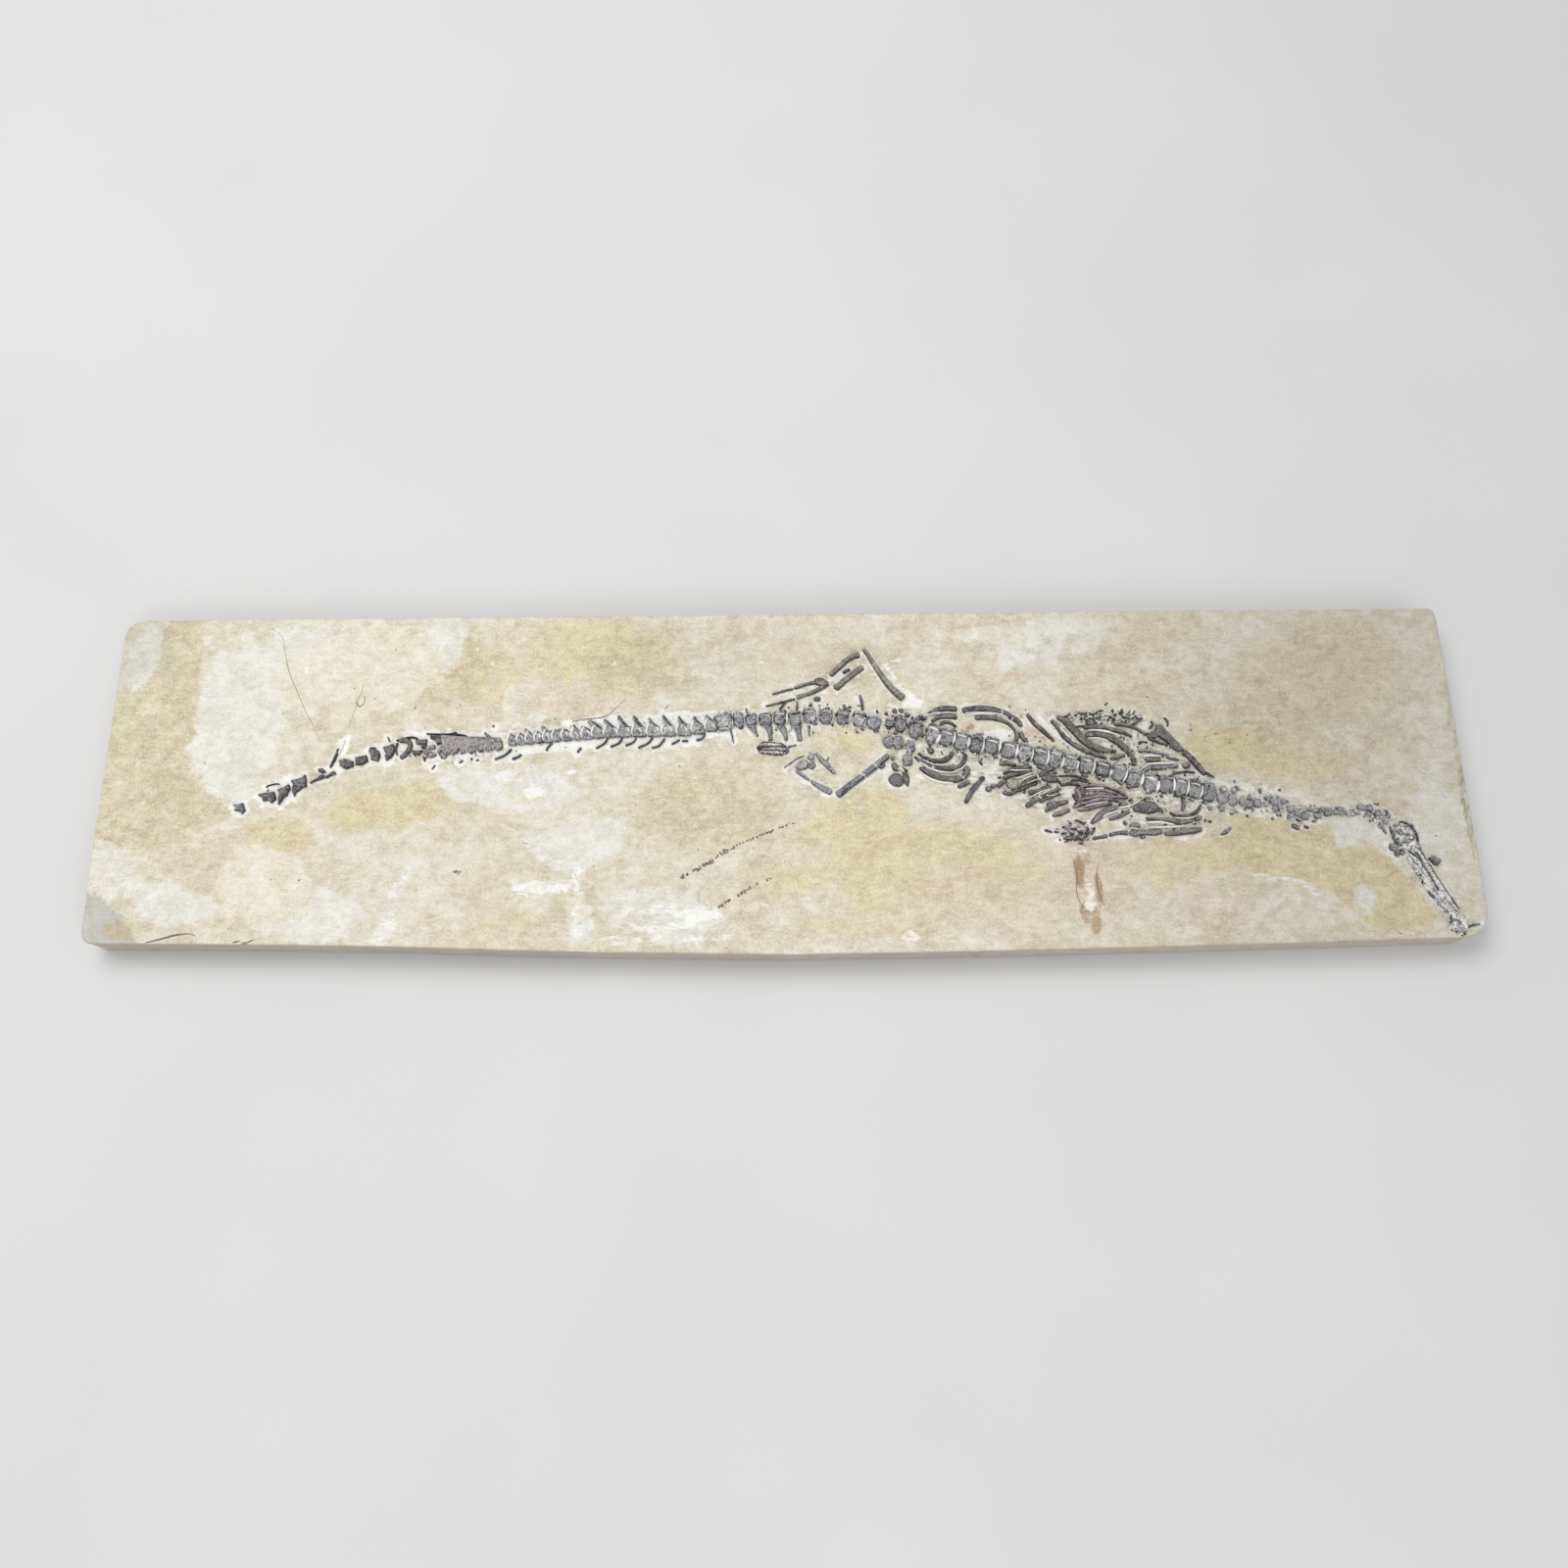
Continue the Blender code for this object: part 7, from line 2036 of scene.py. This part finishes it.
        # Pale stains, with painted glare streaks among them.
        pale_vein_and_glare = ellipse_field(sx, sy, self.pale_spots_and_glare)
        pale_vein_and_glare = np.maximum(pale_vein_and_glare, 0.75 * polygon_field(sx, sy, self.pale_edge, 2.0))
        streaks = np.maximum.reduce([polygon_field(sx, sy, corners, 2.4) for corners in self.streak_edges])
        width = 0.8 + 3.6 * np.clip(hills(x, y, 11.0, 51) + 0.35, 0, 1) + 1.3 * hills(x, y, 3.0, 52)
        width = width * (1.0 + 0.35 * ease(x, -150, -215)) + 1.5 * ease(x, 20, -50)
        bed = self.bed(sx, sy)
        strength = np.interp(x, *self.halo_strength)
        strength = strength * (0.92 + 0.45 * hills(x, y, 8.0, 53))
        halo = ease(gap, np.maximum(width, 0.2) + 0.9, 0.25 * width) * strength * (1 - 0.45 * bed)
        under = polygon_field(sx, sy, self.under_edge, 2.0)
        fins = polygon_field(sx, sy, self.fin_edge, 2.4)
        halo = np.maximum.reduce([halo, 0.85 * under, 0.72 * fins])
        neck = polygon_field(sx, sy, self.neck_edge, 3.0)
        white = np.maximum.reduce([halo, 0.54 * bed, 0.56 * neck, 0.9 * pale_vein_and_glare, 0.85 * streaks,
            0.3 * glare])
        # Painted shade: darker towards the right and the back, standing in for the lights' falloff; the
        # flake scar and the darkening spots add darker patches of the stone.
        painted_shade_and_dark_patches = ease(x, 60, 350) * (0.75 + 0.25 * ease(y, -70, 40))
        flaked = self.flaked(x, y)
        painted_shade_and_dark_patches = np.maximum(painted_shade_and_dark_patches, 1.15 * flaked)
        grey = np.maximum(grey, flaked)
        painted_shade_and_dark_patches = np.maximum(painted_shade_and_dark_patches, ellipse_field(wx, wy, self.darkening_spots))
        dark = ellipse_field(sx, sy, self.dark_spots)
        return {"tan": tan, "ochre": ochre, "yolk": yolk, "grey": grey, "cream": cream, "pink": pink,
            "rust": rust, "white": white, "dark": dark, "matrix": bed, "painted_shade_and_dark_patches": painted_shade_and_dark_patches}

    def bed(self, x: Array, y: Array) -> Array:
        """Gives 1 where the stone between the bones is crushed and full of bone crumbs."""
        return np.maximum.reduce([strength * polygon_field(x, y, corners, 3.5)
            for strength, corners in self.bed_edges])

    def build(self, shop: Workshop) -> bpy.types.Object:
        """Makes the stone as one closed mesh: the face's grid, the arris, the sides and the underside.

        Args:
            shop: keeps the finishes and the plan of what lies on the face.

        Returns:
            The new object.
        """
        x, y = self.face_plan()
        gap = self.nearest_bone(x, y, np.vstack(shop.reach))
        z = np.minimum(self.relief(x, y, gap), FACE + self.proud)
        values = self.fields(x, y, gap)
        rows, columns = x.shape
        index = np.arange(rows * columns).reshape(rows, columns)
        corners = (index[:-1, :-1], index[:-1, 1:], index[1:, 1:], index[1:, :-1])
        quads = np.stack(corners, axis=-1).reshape(-1, 4)
        loop = np.concatenate([index[0, :-1], index[:-1, -1], index[-1, :0:-1], index[:0:-1, 0]])
        flat = np.column_stack([x.ravel(), y.ravel(), z.ravel()])
        edge = flat[loop]
        ahead = np.roll(edge, -1, axis=0)[:, :2] - np.roll(edge, 1, axis=0)[:, :2]
        ahead /= np.hypot(ahead[:, 0], ahead[:, 1])[:, None]
        out = np.column_stack([ahead[:, 1], -ahead[:, 0]])
        run = run_of(edge[:, :2])
        rings = []
        for turn in np.linspace(0.25, 1.0, len(self.arris_wall)) * math.pi / 2:
            ring = edge.copy()
            ring[:, :2] += out * self.arris * math.sin(turn)
            ring[:, 2] -= self.arris * (1 - math.cos(turn))
            rings.append(ring)
        shoulder = rings[-1]
        for share in np.linspace(0, 1, self.wall_rings + 1)[1:]:
            ring = shoulder.copy()
            ring[:, 2] = shoulder[:, 2] * (1 - share) + self.chamfer * share
            rough = 0.45 * (1 - hills(run, ring[:, 2] * 2.5, 9.0,
                61)) * math.sin(math.pi * min(share * 1.3, 1)) ** 0.5
            ring[:, :2] -= out * np.clip(rough, 0, 0.9)[:, None]
            rings.append(ring)
        foot = rings[-1].copy()
        foot[:, :2] -= out * self.chamfer
        foot[:, 2] = 0.0
        rings.append(foot)
        count = len(loop)
        ids = [loop] + [rows * columns + k * count + np.arange(count) for k in range(len(rings))]
        sides = [np.stack([b, np.roll(b, -1), np.roll(a, -1), a], axis=-1) for a, b in zip(ids, ids[1:])]
        points = np.vstack([flat] + rings)
        faces = np.vstack([quads] + sides).tolist() + [ids[-1][::-1].tolist()]
        mesh = bpy.data.meshes.new("stone_slab_worked")
        mesh.from_pydata(((points + (0.0, FACE_OFFSET_Y, 0.0)) * MM).tolist(), [], faces)
        smooth = np.ones(len(faces), bool)
        smooth[-1] = False
        mesh.polygons.foreach_set("use_smooth", smooth)
        source = np.concatenate([index.ravel()] + [loop] * len(rings))
        values = {name: value.ravel()[source] for name, value in values.items()}
        ring_wall = np.append(self.arris_wall, np.ones(len(rings) - len(self.arris_wall)))
        values["wall"] = np.append(np.zeros(rows * columns), np.repeat(ring_wall, count))
        for name, value in values.items():
            mesh.attributes.new(name, "FLOAT", "POINT").data.foreach_set("value", value.astype(np.float32))
        mesh.materials.append(shop.finish(StoneFinish()))
        made = bpy.data.objects.new("stone_slab_worked", mesh)
        bpy.context.scene.collection.objects.link(made)
        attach(made, "root")
        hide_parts("stone_slab")
        LOG.info("stone_slab_worked: %d faces", len(faces))
        return made


@dataclass(frozen=True)
class Studio:
    """The pale floor, the soft lights and the camera at the photograph's angle."""

    lens: float = 29.25
    place: tuple[float, float, float] = (0.019, -0.2241, 0.7356)
    turn: tuple[float, float, float] = (17.123, 1.176, -0.08)
    floor_half: float = 2.4
    floor_drop: float = 0.0004
    sensor: float = 36.0

    def floor(self) -> None:
        """Makes the floor under the slab, with a faint cloudiness so that it isn't one flat colour."""
        mesh = bpy.data.meshes.new("studio_floor")
        half = self.floor_half
        corners = [(-half, -half, 0), (half, -half, 0), (half, half, 0), (-half, half, 0)]
        mesh.from_pydata(corners, [], [(0, 1, 2, 3)])
        g = Graph("floor_pale")
        base = g.mix(g.noise(220.0, 2.0), (0.60, 0.60, 0.60), (0.66, 0.66, 0.655))
        mesh.materials.append(g.finish(base, 0.8))
        floor = bpy.data.objects.new("studio_floor", mesh)
        floor.location.z = -self.floor_drop
        bpy.context.scene.collection.objects.link(floor)

    def light(self, name: str, place: tuple[float, float, float], size: tuple[float, float], power: float,
              colour: Colour = (1.0, 1.0, 1.0)) -> None:
        """Makes one soft rectangular light that faces the slab's middle.

        Args:
            name: the light's name.
            place: where it hangs, in metres.
            size: its two sides, in metres.
            power: its power in watts.
            colour: its colour.
        """
        data = bpy.data.lights.new(name, "AREA")
        data.shape = "RECTANGLE"
        data.size, data.size_y = size
        data.energy = power
        data.color = colour
        lamp = bpy.data.objects.new(name, data)
        lamp.location = place
        lamp.rotation_euler = (-lamp.location).to_track_quat("-Z", "Y").to_euler()
        bpy.context.scene.collection.objects.link(lamp)

    def build(self) -> None:
        """Makes the floor, the lights, the world and the camera."""
        self.floor()
        self.light("key_back_left", (-0.7, 0.75, 1.85), (1.5, 1.1), 26.0, (1.0, 0.99, 0.975))
        self.light("fill_front", (0.3, -1.4, 1.4), (2.0, 1.0), 12.0, (0.98, 0.985, 1.0))
        world = bpy.data.worlds.new("studio_air")
        world.use_nodes = True
        air = world.node_tree.nodes["Background"]
        air.inputs["Color"].default_value = (0.98, 0.985, 1.0, 1.0)
        air.inputs["Strength"].default_value = 0.55
        bpy.context.scene.world = world
        bpy.context.scene.view_settings.view_transform = "Standard"
        data = bpy.data.cameras.new("photo_view")
        data.lens = self.lens
        data.sensor_width = self.sensor
        data.clip_start = 0.05
        camera = bpy.data.objects.new("photo_view", data)
        camera.location = self.place
        camera.rotation_euler = tuple(math.radians(a) for a in self.turn)
        bpy.context.scene.collection.objects.link(camera)
        bpy.context.scene.camera = camera


def main() -> None:
    """Builds each part of the fossil in order."""
    logging.basicConfig(level=logging.INFO, format="%(name)s %(message)s")
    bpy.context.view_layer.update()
    shop = Workshop()
    Studio().build()
    Column().build(shop)
    LongBones().build(shop)
    Groups().build(shop)
    Head().build(shop)
    SmallBones().build(shop)
    Matrix().build(shop)
    Slab().build(shop)
    Markings().build(shop)


if __name__ == "__main__":
    main()
